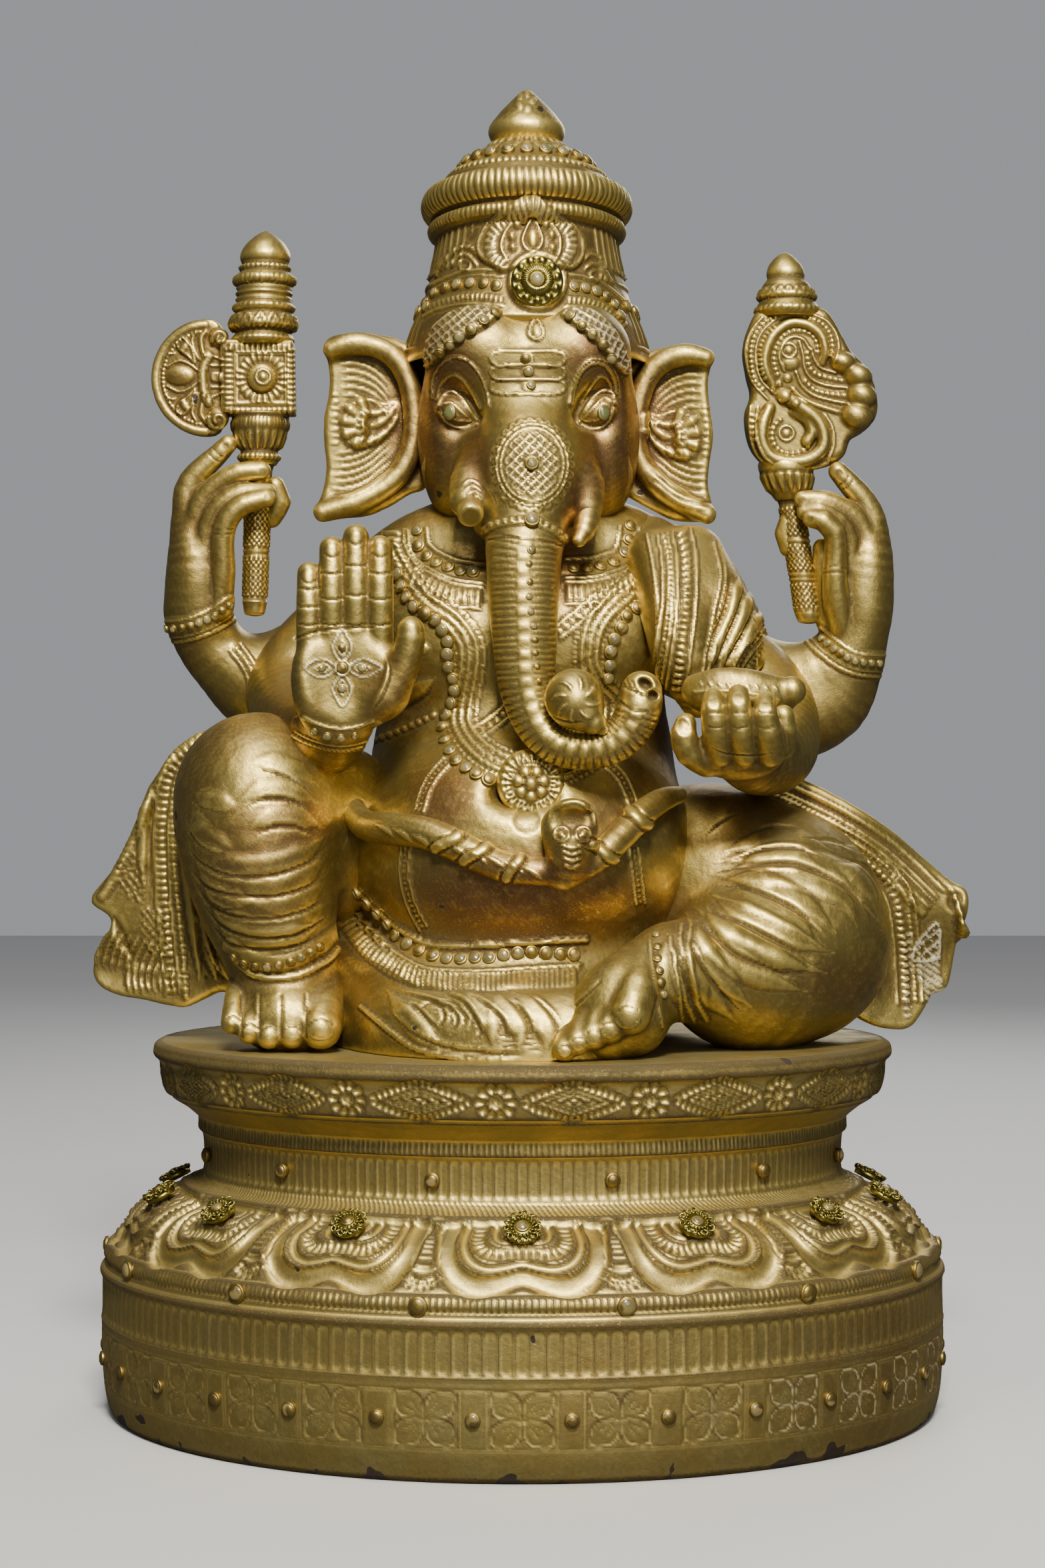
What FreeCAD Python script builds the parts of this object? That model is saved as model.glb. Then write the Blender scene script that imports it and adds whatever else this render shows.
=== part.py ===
import FreeCAD, Part
import math
import os

V = FreeCAD.Vector
X, Y, Z = V(1, 0, 0), V(0, 1, 0), V(0, 0, 1)

# A seated elephant-headed devotional figure on an oval lotus pedestal.
# The pedestal is a hollow casting, open underneath.  The figure stands loose on it and lifts straight off.
# The figure is bonded up from separate castings, with glued-on stones and a few metal findings.
# Frame: millimetres, +Z up, the figure faces -Y, origin under the pedestal's centre.
# "right" and "left" are the figure's own: its right side is at -X.

# ---------------------------------------------------------------- driving dimensions
SEAT_Z = 170.0          # top of the pedestal, where the figure rests
PEDESTAL_HALF_X = 195.0  # half width of the drum
DEPTH_LOSS = 36.0       # every pedestal ring is this much shallower than it is wide (half sizes)
PEDESTAL_WALL = 6.0
CASTING_WALL = 6.0
PETALS = 14             # lotus petals round the pedestal
STONE = 3.1             # radius of the usual glued stone
BED = 0.8               # how deep a stone sits in the casting
FLARE_REACH = 205.0     # how far each cloth flare reaches sideways from the centre

# pedestal rings: height, half width
PEDESTAL_RINGS = [
    (0.0, 190.0), (6.0, 192.0), (40.0, 195.0), (64.0, 195.0), (70.0, 193.0), (78.0, 190.0),
    (92.0, 184.0), (103.0, 168.0), (109.0, 153.0), (128.0, 149.0), (138.0, 150.0),
    (145.0, 163.0), (150.0, 168.0), (163.0, 170.0), (167.0, 168.0), (SEAT_Z, 163.0),
]

# landmarks of the figure
HEAD = V(2.5, -8, 456)
HEAD_R = (49, 50, 52)
CROWN_AXIS = V(2, 3, 0)
# torso cross-sections, each a level ellipse: height, half width, half depth, centre y
TORSO_RINGS = [
    (SEAT_Z, 96.0, 78.0, -6.0), (182.0, 106.0, 90.0, -4.0), (204.0, 104.0, 94.0, -4.0),
    (230.0, 88.0, 89.0, -8.0), (258.0, 80.0, 86.0, -10.0), (284.0, 74.0, 78.0, -10.0),
    (306.0, 66.0, 64.0, -6.0), (326.0, 69.0, 58.0, -3.0), (350.0, 74.0, 56.0, -1.0),
    (374.0, 68.0, 50.0, 0.0), (392.0, 50.0, 42.0, -2.0), (406.0, 38.0, 35.0, -4.0), (420.0, 34.0, 32.0, -6.0),
]
TORSO_X = 1.0
KNEE_RIGHT = V(-117, -48, 281)
ANKLE_RIGHT = V(-108, -44, 206)
KNEE_LEFT = V(119, -32, 222)
ANKLE_LEFT = V(62, -82, 202)
HAND_FRONT_RIGHT = V(-79, -76, 338)
ELBOW_REAR_RIGHT = V(-130, 14, 337)
WRIST_REAR_RIGHT = V(-151, 6, 368)
ELBOW_REAR_LEFT = V(136, 12, 322)
WRIST_REAR_LEFT = V(153, 6, 352)
AXE_FOOT = V(-126, -1, 371)
AXE_HEAD = V(-121, 0, 475)
NOOSE_FOOT = V(132, -2, 367)
NOOSE_NECK = V(120, 0, 440)
ROD_RADIUS = 3.0
RIGHT_ROD = (V(-52, 18, 356), V(-116, 18, 342))
LEFT_ROD = (V(54, 18, 356), V(118, 18, 334))

# nodes that are groups of separate pieces
GROUPS = {
    "petal_flower_caps", "petal_flower_stones", "neck_studs", "rope_band_stones", "drum_studs",
    "crown_rim_stones", "crown_band_stones", "brow_stones", "collar_stones", "garland_stones", "belt_stones",
    "palm_gems", "trunk_stones", "forehead_stones", "eye_stones", "bangle_stones", "anklet_stones",
}

os.makedirs("parts", exist_ok=True)


# ---------------------------------------------------------------- building blocks
def save(name, shape):
    """Writes one node.  A compound keeps all its solids; anything else keeps its main solid, without slivers."""
    solids = shape.Solids if name in GROUPS else [max(shape.Solids, key=lambda body: body.Volume)]
    keep = solids[0] if len(solids) == 1 else Part.makeCompound(solids)
    keep.exportStep("parts/" + name + ".step")
    print(name, len(solids), "solids", round(keep.Volume / 1000.0, 2), "cm3", keep.isValid())


def ellipsoid(centre, radii, turn=0.0, axis=Z):
    """An egg with half sizes radii, turned about axis through its own centre."""
    squash = FreeCAD.Matrix()
    squash.scale(*radii)
    body = Part.makeSphere(1.0).transformGeometry(squash)
    body.rotate(V(0, 0, 0), axis, turn)
    body.translate(centre)
    return body


def directions(points):
    """Unit tangents at the points of a path."""
    last = len(points) - 1
    return [(points[min(i + 1, last)] - points[max(i - 1, 0)]).normalize() for i in range(last + 1)]


def limb(points, radii):
    """A smooth round limb along a path, closed by rounded ends."""
    tangents = directions(points)
    start, end = tangents[0], tangents[-1]
    rings = [Part.Vertex(points[0] - start * radii[0])]
    stations = [(points[0] - start * (0.72 * radii[0]), 0.7 * radii[0], start)]
    stations += list(zip(points, radii, tangents))
    stations += [(points[-1] + end * (0.72 * radii[-1]), 0.7 * radii[-1], end)]
    rings += [Part.Wire(Part.makeCircle(r, p, t)) for p, r, t in stations]
    rings += [Part.Vertex(points[-1] + end * radii[-1])]
    return Part.makeLoft(rings, True, False)


def turned(profile, centre=V(0, 0, 0)):
    """A solid of revolution about the vertical through centre, from (radius, height) corners."""
    outline = [V(r, 0, z) for r, z in profile]
    outline = [V(0, 0, profile[0][1])] + outline + [V(0, 0, profile[-1][1])]
    clean = [p for i, p in enumerate(outline) if i == 0 or (p - outline[i - 1]).Length > 1e-6]
    wire = Part.makePolygon(clean + [clean[0]])
    body = Part.Face(wire).revolve(V(0, 0, 0), Z, 360)
    body.translate(centre)
    return body


def oval(half_x, half_y, z, centre_x=0.0, centre_y=0.0):
    """A level ellipse as a wire."""
    centre = V(centre_x, centre_y, z)
    if half_x >= half_y:
        return Part.Wire(Part.Edge(Part.Ellipse(centre, half_x, half_y)))
    return Part.Wire(Part.Edge(Part.Ellipse(centre + V(0, half_y, 0), centre + V(half_x, 0, 0), centre)))


def leaning(body, foot, head):
    """Moves a body built upright on the origin so that it stands on foot and leans to head."""
    body.rotate(V(0, 0, 0), Z.cross(head - foot), math.degrees(Z.getAngle(head - foot)))
    body.translate(foot)
    return body


def sheet(outline, thickness, y):
    """A flat piece cut to a closed smooth outline of (x, z), lying across Y."""
    points = [V(x, y, z) for x, z in outline]
    edge = Part.BSplineCurve()
    edge.interpolate(points, PeriodicFlag=True)
    return Part.Face(Part.Wire(edge.toShape())).extrude(V(0, thickness, 0))


def reaching(body, side):
    """Slides a cloth flare sideways until its outer edge is FLARE_REACH from the centre."""
    box = body.optimalBoundingBox(False, False)
    edge = box.XMax if side > 0 else box.XMin
    body.translate(V(side * FLARE_REACH - edge, 0, 0))
    return body


def joined(*bodies):
    """One solid from overlapping ones."""
    return bodies[0].multiFuse(list(bodies[1:]))


def above_seat(body):
    """Trims whatever hangs under the level where the figure rests."""
    size = 600.0
    below = Part.makeBox(size, size, size, V(-size / 2, -size / 2, SEAT_Z - size))
    return body.cut(below)


def stone(place, normal, radius=STONE, height=1.8):
    """A flat-backed stone with a bevelled top, bedded a little into what it sits on."""
    out = V(normal).normalize()
    return Part.makeCone(radius, 0.62 * radius, height + BED, place - out * BED, out)


def on_egg(centre, radii, x, z):
    """Front point and outward normal of an ellipsoid at x, z."""
    fx, fz = (x - centre.x) / radii[0], (z - centre.z) / radii[2]
    depth = math.sqrt(max(0.02, 1.0 - fx * fx - fz * fz))
    place = V(x, centre.y - radii[1] * depth, z)
    normal = V(fx / radii[0], -depth / radii[1], fz / radii[2])
    return place, normal


def along(points, count):
    """Evenly spaced (x, z) places along a smooth line through points."""
    line = Part.BSplineCurve()
    line.interpolate([V(x, 0, z) for x, z in points])
    edge = line.toShape()
    places = edge.discretize(Number=count)
    return [(p.x, p.z) for p in places]


def ring_of_stones(centre, axis, ring_radius, count, first, last, radius=STONE, height=1.8):
    """Stones round a limb, between two angles measured about axis from the side nearest the viewer."""
    axis = V(axis).normalize()
    front = (V(0, -1, 0) - axis * axis.dot(V(0, -1, 0))).normalize()
    side = axis.cross(front)
    made = []
    for i in range(count):
        angle = math.radians(first + (last - first) * i / max(1, count - 1))
        out = front * math.cos(angle) + side * math.sin(angle)
        made.append(stone(centre + out * ring_radius, out, radius, height))
    return made


def ring_point(half_x, z, angle):
    """Place and outward normal on a pedestal ring; angle 0 is the front, in degrees."""
    half_y = half_x - DEPTH_LOSS
    a = math.radians(angle)
    place = V(half_x * math.sin(a), -half_y * math.cos(a), z)
    normal = V(math.sin(a) / half_x, -math.cos(a) / half_y, 0).normalize()
    return place, normal


# ---------------------------------------------------------------- pedestal
def pedestal_casting():
    outer = Part.makeLoft([oval(a, a - DEPTH_LOSS, z) for z, a in PEDESTAL_RINGS], True, True)
    inner_rings = [(z, a - PEDESTAL_WALL) for z, a in PEDESTAL_RINGS if z < SEAT_Z - PEDESTAL_WALL - 2]
    inner_rings = [(z, min(a, 140.0) if z > 88 else a) for z, a in inner_rings]
    inner_rings[0] = (-1.0, inner_rings[0][1])
    inner_rings.append((SEAT_Z - PEDESTAL_WALL, 138.0))
    hollow = Part.makeLoft([oval(a, a - DEPTH_LOSS, z) for z, a in inner_rings], True, True)
    petals = []
    for i in range(PETALS):
        place, normal = ring_point(178.0, 90.0, 360.0 * i / PETALS)
        pad = ellipsoid(V(0, 0, 0), (33, 12, 17))
        pad.rotate(V(0, 0, 0), X, 38)
        pad.rotate(V(0, 0, 0), Z, math.degrees(math.atan2(normal.x, -normal.y)))
        pad.translate(place)
        petals.append(pad)
    return joined(outer, *petals).cut(hollow)


def petal_flowers():
    """Filigree flower caps, one at the root of each petal."""
    flowers, stones = [], []
    for i in range(PETALS):
        place, normal = ring_point(168.0, 104.5, 360.0 * i / PETALS)
        up = (normal * 0.5 + Z).normalize()
        cup = Part.makeCone(7.5, 6.0, 3.2, place, up)
        seat = Part.makeCylinder(3.2, 2.0, place + up * 2.2, up)
        flowers.append(cup.cut(seat))
        stones.append(Part.makeCone(3.1, 2.0, 2.2, place + up * 2.2, up))
    return Part.makeCompound(flowers), Part.makeCompound(stones)


def stones_round(half_x, z, count, radius, first=0.0, height=1.8):
    made = []
    for i in range(count):
        place, normal = ring_point(half_x, z, first + 360.0 * i / count)
        made.append(stone(place, normal, radius, height))
    return Part.makeCompound(made)


# ---------------------------------------------------------------- figure castings
def torso_shape():
    """The torso as one loft, and the hollow inside it, open at the seat and at the neck."""
    def skin(inset, grow):
        wires = [oval(half_x - inset, half_y - inset, z, TORSO_X, y) for z, half_x, half_y, y in TORSO_RINGS]
        wires[0].translate(V(0, 0, -grow))
        wires[-1].translate(V(0, 0, grow))
        return Part.makeLoft(wires, True, False)
    return skin(0.0, 0.0), skin(CASTING_WALL, 1.0)


def torso_front(x, z):
    """Front point of the torso at x, z, and the outward normal there."""
    for low, high in zip(TORSO_RINGS, TORSO_RINGS[1:]):
        if low[0] <= z <= high[0]:
            t = (z - low[0]) / (high[0] - low[0])
            hx, hy, cy = (a + (b - a) * t for a, b in zip(low[1:], high[1:]))
            slope = (high[2] - high[3] - low[2] + low[3]) / (high[0] - low[0])
            break
    across = (x - TORSO_X) / hx
    depth = math.sqrt(max(0.03, 1.0 - across * across))
    return V(x, cy - hy * depth, z), V(across / hx * hy, -depth, -slope * depth)


def right_leg_shape():
    thigh = limb([V(-62, 4, 246), V(-96, -28, 272), KNEE_RIGHT], [40, 39, 36])
    shin = limb([KNEE_RIGHT, V(-114, -48, 252), V(-111, -46, 228), ANKLE_RIGHT, V(-107, -44, 188)],
                [36, 34, 30, 22, 20])
    foot = ellipsoid(V(-104, -55, 181), (25, 33, 15))
    toes = [ellipsoid(V(-126 + 10.5 * i, -80 - 1.5 * i, 176), (6.2, 9, 7)) for i in range(4)]
    big_toe = ellipsoid(V(-88, -84, 178), (8.5, 11, 9))
    return above_seat(joined(thigh, shin, foot, big_toe, *toes))


def left_leg_shape():
    thigh = limb([V(58, 0, 236), V(92, -16, 236), KNEE_LEFT], [40, 44, 46])
    shin = limb([V(122, -38, 212), V(92, -62, 203), ANKLE_LEFT], [42, 30, 20])
    foot = limb([V(58, -88, 206), V(50, -98, 192), V(41, -104, 183)], [16, 17, 14])
    toes = [limb([V(38 - 6 * i, -104 - 2 * i, 182 - 2.5 * i), V(34 - 7 * i, -114 - 1 * i, 175 - 1.5 * i)],
                 [6.5, 5.2]) for i in range(3)]
    big_toe = limb([V(50, -104, 190), V(53, -115, 180)], [8.5, 8])
    return above_seat(joined(thigh, shin, foot, big_toe, *toes))


def right_flare():
    outline = [(-120, 312), (-150, 306), (-172, 284), (-188, 256), (-199, 236), (-194, 226), (-201, 206),
               (-195, 192), (-172, 185), (-150, 190), (-120, 196), (-96, 240)]
    return reaching(sheet(outline, 12.0, -8.0), -1)


def left_flare():
    outline = [(84, 286), (112, 292), (146, 282), (180, 260), (206, 240), (208, 226), (200, 204), (190, 188),
               (176, 178), (150, 190), (110, 200), (86, 240)]
    return reaching(sheet(outline, 12.0, -14.0), 1)


def head_shape():
    skull = ellipsoid(HEAD, HEAD_R)
    brows = [ellipsoid(V(2.5 + side * 14, -36, 470), (27, 23, 28)) for side in (-1, 1)]
    muzzle = ellipsoid(V(3, -41, 430), (32, 32, 34))
    trunk = limb([V(3, -58, 428), V(2.5, -71, 408), V(1.5, -78, 385), V(2.5, -82, 360), V(4, -86, 338),
                  V(9, -90, 320), V(20, -94, 308), V(34, -96, 306), V(47, -96, 313), V(54, -96, 326)],
                 [26, 19, 16.3, 14.6, 13.2, 12.6, 12.2, 11.8, 11.2, 10.4])
    cavity = joined(ellipsoid(HEAD, tuple(r - CASTING_WALL for r in HEAD_R)),
                    Part.makeCylinder(24.0, 80.0, HEAD))
    return joined(skull, muzzle, trunk, *brows), cavity


def ear(side):
    """side -1 is the figure's right ear, +1 its left one."""
    outline = [(50, 488), (66, 493), (88, 492), (90, 474), (91, 455), (91, 436), (93, 414), (78, 415),
               (62, 424), (50, 438)]
    return sheet([(2 + side * x, z) for x, z in outline], 9.0, -12.0)


def crown_parts():
    cone = turned([(55, 484), (54, 500), (48, 520), (40.5, 545), (39.5, 553), (44, 554), (47.5, 558),
                   (47, 563), (43, 568), (38, 572), (30, 579), (20, 585), (14.5, 587)], CROWN_AXIS)
    hollow = turned([(47, 470), (46, 500), (41, 520), (34, 545), (30, 570)], CROWN_AXIS)
    socket = Part.makeCylinder(5.0, 30.0, V(CROWN_AXIS.x, CROWN_AXIS.y, 565))
    finial = turned([(4.9, 568), (4.9, 587), (14.5, 587), (15.5, 590), (17.3, 595), (16, 599), (11, 605),
                     (5, 610), (1.0, 612)], CROWN_AXIS)
    return cone.cut(hollow).cut(socket), finial


def arm_rear_right():
    upper = limb([V(-74, 22, 352), V(-104, 20, 344), ELBOW_REAR_RIGHT], [24, 23, 22])
    forearm = limb([ELBOW_REAR_RIGHT, V(-142, 9, 354), WRIST_REAR_RIGHT, V(-152, 3, 392), V(-150, 0, 414)],
                   [22, 17, 13.5, 15, 12])
    index = limb([V(-152, 0, 418), V(-147, -3, 434), V(-139, -5, 445)], [7, 6, 5])
    fingers = [limb([V(-147, -8 - i, 417 - 10 * i), V(-134, -14, 431 - 10 * i), V(-119, -13, 437 - 10 * i)],
                    [6.5, 6, 5]) for i in range(2)]
    thumb = limb([V(-143, -7, 379), V(-137, -11, 399), V(-129, -12, 409)], [9.2, 7, 5])
    return joined(upper, forearm, index, thumb, *fingers)


def arm_rear_left():
    upper = limb([V(78, 22, 350), V(110, 20, 338), ELBOW_REAR_LEFT], [25, 24, 23])
    forearm = limb([ELBOW_REAR_LEFT, V(147, 9, 338), WRIST_REAR_LEFT, V(160, 3, 380), V(157, 0, 404)],
                   [23, 18, 14, 15, 12])
    index = limb([V(160, 0, 408), V(154, -3, 424), V(145, -5, 434)], [7, 6, 5])
    fingers = [limb([V(152, -9, 410 - 9 * i), V(142, -14, 422 - 9 * i), V(131, -12, 425 - 9 * i)],
                    [6.5, 6, 5]) for i in range(2)]
    thumb = limb([V(150, -8, 370), V(143, -12, 394), V(137, -13, 406)], [9, 7, 5])
    return joined(upper, forearm, index, thumb, *fingers)


def arm_rod(ends):
    """Steel reinforcing rod from inside the hollow torso into the arm."""
    start, end = ends
    return Part.makeCylinder(ROD_RADIUS, (end - start).Length, start, end - start)


def axe():
    length = (AXE_HEAD - AXE_FOOT).Length
    shaft = turned([(6.0, 0), (6.8, 2), (6.4, 5), (6.4, 58), (9.0, 64), (10, 68), (12.5, 80), (13, 94)])
    block = Part.makeBox(33, 20, 34, V(-16.5, -10, length - 17))
    top = turned([(13, 0), (15, 4), (12.5, 10), (13.5, 16), (12, 20), (14, 25), (13, 31), (9.5, 33), (10, 38),
                  (7, 46), (3, 52), (0.8, 54)])
    top.translate(V(0, 0, length + 16.0))
    blade = Part.makeCylinder(26.5, 12, V(-24, -6, length), V(0, 1, 0))
    trim = Part.makeBox(60, 40, 80, V(-16.5, -20, length - 40))
    return leaning(joined(shaft, block, top, blade.cut(trim)), AXE_FOOT, AXE_HEAD)


def noose():
    shaft = turned([(6.0, 0), (6.8, 2), (6.4, 5), (6.4, 55), (9.0, 60), (13.0, 72)])
    shaft = leaning(shaft, NOOSE_FOOT, NOOSE_NECK)
    outline = [(108, 440), (136, 438), (150, 452), (162, 458), (164, 470), (160, 482), (148, 494), (140, 508),
               (131, 520), (116, 520), (107, 508), (102, 490), (106, 470), (103, 454)]
    loop = sheet(outline, 15.0, -8.0)
    top = turned([(12, 0), (13, 4), (9.5, 9), (10.5, 14), (8, 18), (3.5, 24), (0.8, 26)], V(122, 0, 512))
    return joined(shaft, loop, top)


def arm_front_right():
    arm = limb([V(-66, 8, 368), V(-86, 6, 352), V(-99, -6, 331), V(-97, -32, 315), V(-87, -56, 310),
                V(-81, -70, 318)], [25, 24.5, 23.5, 21, 18, 16])
    palm = ellipsoid(HAND_FRONT_RIGHT, (23, 11, 26))
    fingers = []
    for x, top, r in ((-99, 381, 4.8), (-88, 391, 5.4), (-77, 398, 5.6), (-66.5, 393, 5.4)):
        fingers.append(limb([V(x, -77, 352), V(x + 0.5, -78, top - 6)], [r + 0.8, r]))
    thumb = limb([V(-60, -80, 334), V(-52, -84, 347), V(-48, -85, 355)], [8, 6.5, 5.5])
    return joined(arm, palm, thumb, *fingers)


def arm_front_left():
    arm = limb([V(70, 8, 370), V(94, 6, 352), V(111, -4, 328), V(111, -30, 307), V(103, -56, 298),
                V(97, -72, 298)], [26, 26, 24.5, 21.5, 18, 15.5])
    palm = ellipsoid(V(96, -80, 300), (22, 17, 15))
    fingers = [limb([V(88 + 10.5 * i, -94, 300), V(87 + 10.5 * i, -99, 314), V(87 + 10.5 * i, -96, 325)],
                    [6, 5.6, 4.8]) for i in range(3)]
    thumb = limb([V(80, -86, 300), V(74, -94, 308), V(73, -98, 318)], [8, 6.5, 5.5])
    return joined(arm, palm, thumb, *fingers)


def sweets_dish():
    heap = ellipsoid(V(97, -80, 322), (23, 14, 11), -6, Y)
    knob = ellipsoid(V(118, -84, 324), (6, 6, 6))
    return joined(heap, knob)


def modak():
    """The round sweet with its pinched point, lying in the curl of the trunk."""
    return joined(ellipsoid(V(21, -100, 327), (12.5, 11, 12.5)),
                  limb([V(24, -101, 323), V(32, -102, 316)], [9.5, 4.0]))


def shawl():
    drape = joined(
        limb([V(58, -8, 398), V(84, -2, 388), V(104, 4, 362), V(110, 6, 344)], [22, 26, 24, 22]),
        limb([V(70, -34, 392), V(72, -50, 368), V(76, -52, 340), V(82, -44, 322)], [14, 15, 14, 11]))
    return drape


def snake_belt():
    path = [V(-84, -30, 284), V(-72, -56, 268), V(-50, -78, 264), V(-24, -92, 254), V(6, -98, 246),
            V(30, -92, 250), V(50, -76, 264), V(66, -56, 279), V(78, -36, 284)]
    coil = limb(path, [5, 6, 6.5, 6.5, 6.5, 6.5, 6.5, 6, 5])
    hood = ellipsoid(V(21, -101, 261), (11.5, 4.5, 14), 8, X)
    return joined(coil, hood)


def garland_medallion():
    place, normal = torso_front(3, 288)
    normal.normalize()
    disc = Part.makeCone(14.5, 12.5, 4.0, place - normal.normalize() * 1.0, normal)
    boss = Part.makeCone(4.2, 2.6, 2.4, place + normal * 2.9, normal)
    return joined(disc, boss)


def brooch():
    centre = V(6.0, -51.0, 513.5)
    out = V(0.08, -1, 0.22).normalize()
    disc = Part.makeCone(11.5, 10.0, 3.5, centre, out)
    seat = Part.makeCylinder(3.6, 3.0, centre + out * 2.2, out)
    gem = Part.makeCone(3.5, 2.2, 3.0, centre + out * 2.2, out)
    return disc.cut(seat), gem


# ---------------------------------------------------------------- stones on the figure
def crown_stones():
    c = CROWN_AXIS
    rim = [stone(V(c.x + 33 * math.sin(a), c.y - 33 * math.cos(a), 576.3), V(math.sin(a), -math.cos(a), 1.1))
           for a in [math.tau * i / 22 for i in range(22)]]
    band = []
    for side in (-1, 1):
        for i in range(9):
            a = side * math.radians(22 + 13 * i)
            z = 513 - 1.4 * i
            r = 50.0 + 0.5 * i
            band.append(stone(V(c.x + r * math.sin(a), c.y - r * math.cos(a), z), V(math.sin(a), -math.cos(a), 0.3)))
    return Part.makeCompound(rim), Part.makeCompound(band)


def brow_stones():
    made = []
    for side in (-1, 1):
        for i in range(7):
            x = 2.5 + side * (14 + 4.6 * i)
            z = 499.5 - 0.25 * i * i - 0.8 * i
            place, normal = on_egg(V(2.5, -8, 474), (52, 56, 50), x, z)
            made.append(stone(place, normal, 2.6))
    return Part.makeCompound(made)


def torso_row(points, count, radius=STONE):
    """A row of stones on the torso, along a line drawn in front view."""
    return [stone(*torso_front(x, z), radius) for x, z in along(points, count)]


def chest_stones():
    collar = torso_row([(-50, 384), (-43, 373), (-32, 367), (-23, 365)], 8)
    collar += torso_row([(47, 382), (42, 373), (34, 368), (26, 366)], 8)
    garland = torso_row([(-56, 372), (-46, 356), (-36, 341), (-32, 326), (-33, 308)], 14)
    garland += torso_row([(-29, 300), (-20, 292)], 3)
    garland += torso_row([(55, 370), (46, 356), (39, 342), (37, 332)], 9)
    garland += torso_row([(33, 300), (24, 293)], 3)
    return Part.makeCompound(collar), Part.makeCompound(garland)


def belt_stones():
    return Part.makeCompound(torso_row([(-72, 222), (-56, 214), (-30, 209), (0, 207), (24, 207)], 15, 3.4))


def palm_gems():
    centre = HAND_FRONT_RIGHT + V(0, -10.2, 1)
    spots = [(0, 0, 1.9), (8, 0, 2.2), (-8, 0, 2.2), (0, 8, 2.2), (0, -8, 2.2)]
    return Part.makeCompound([stone(centre + V(x, 0.10 * (abs(x) + abs(z)), z), -Y, r, 1.2) for x, z, r in spots])


def trunk_stones():
    line = [(2.5, -94.5, 397), (2, -95.5, 385), (2, -96.3, 374), (2.5, -97, 363), (3, -97.5, 352),
            (4, -98.6, 341), (5.5, -100.5, 331)]
    made = [stone(V(*p), -Y, 1.7, 1.4) for p in line]
    made.append(stone(V(3, -90.5, 409), V(0, -1, 0.3), 3.6, 2.4))
    return Part.makeCompound(made)


def forehead_stones():
    return Part.makeCompound([stone(V(2.5, -60.2 + 0.25 * i, 479 - 6.2 * i), -Y, 2.2, 1.2) for i in range(3)])


def eye_stones():
    return Part.makeCompound([stone(V(2.5 + side * 31.5, -41.0, 456), V(side * 0.45, -1, 0), 2.6, 1.4)
                              for side in (-1, 1)])


def bangle_stones():
    made = ring_of_stones(V(-150.5, 7, 366), V(-0.35, -0.1, 1), 14.6, 9, -70, 70, 2.2, 1.4)
    made += ring_of_stones(V(152.5, 7, 350), V(0.35, -0.1, 1), 14.8, 9, -70, 70, 2.2, 1.4)
    made += ring_of_stones(V(-79.5, -70, 309), V(0.05, -0.3, 1), 17.2, 6, -60, 60, 2.2, 1.4)
    return Part.makeCompound(made)


def anklet_stones():
    made = ring_of_stones(V(-108, -44, 206), V(0.02, 0, 1), 22.0, 10, -85, 40, 2.2, 1.4)
    made += ring_of_stones(V(68, -78, 203), V(1, -0.6, 0), 22.5, 7, -50, 40, 2.2, 1.4)
    return Part.makeCompound(made)


def tusks():
    broken = Part.makeCone(7.5, 5.6, 20, V(-21, -58, 416), V(-0.08, -1, -0.30))
    whole = limb([V(25, -60, 417), V(25.5, -70, 408), V(24.5, -77, 398)], [7.5, 5.6, 1.8])
    return broken, whole


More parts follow.
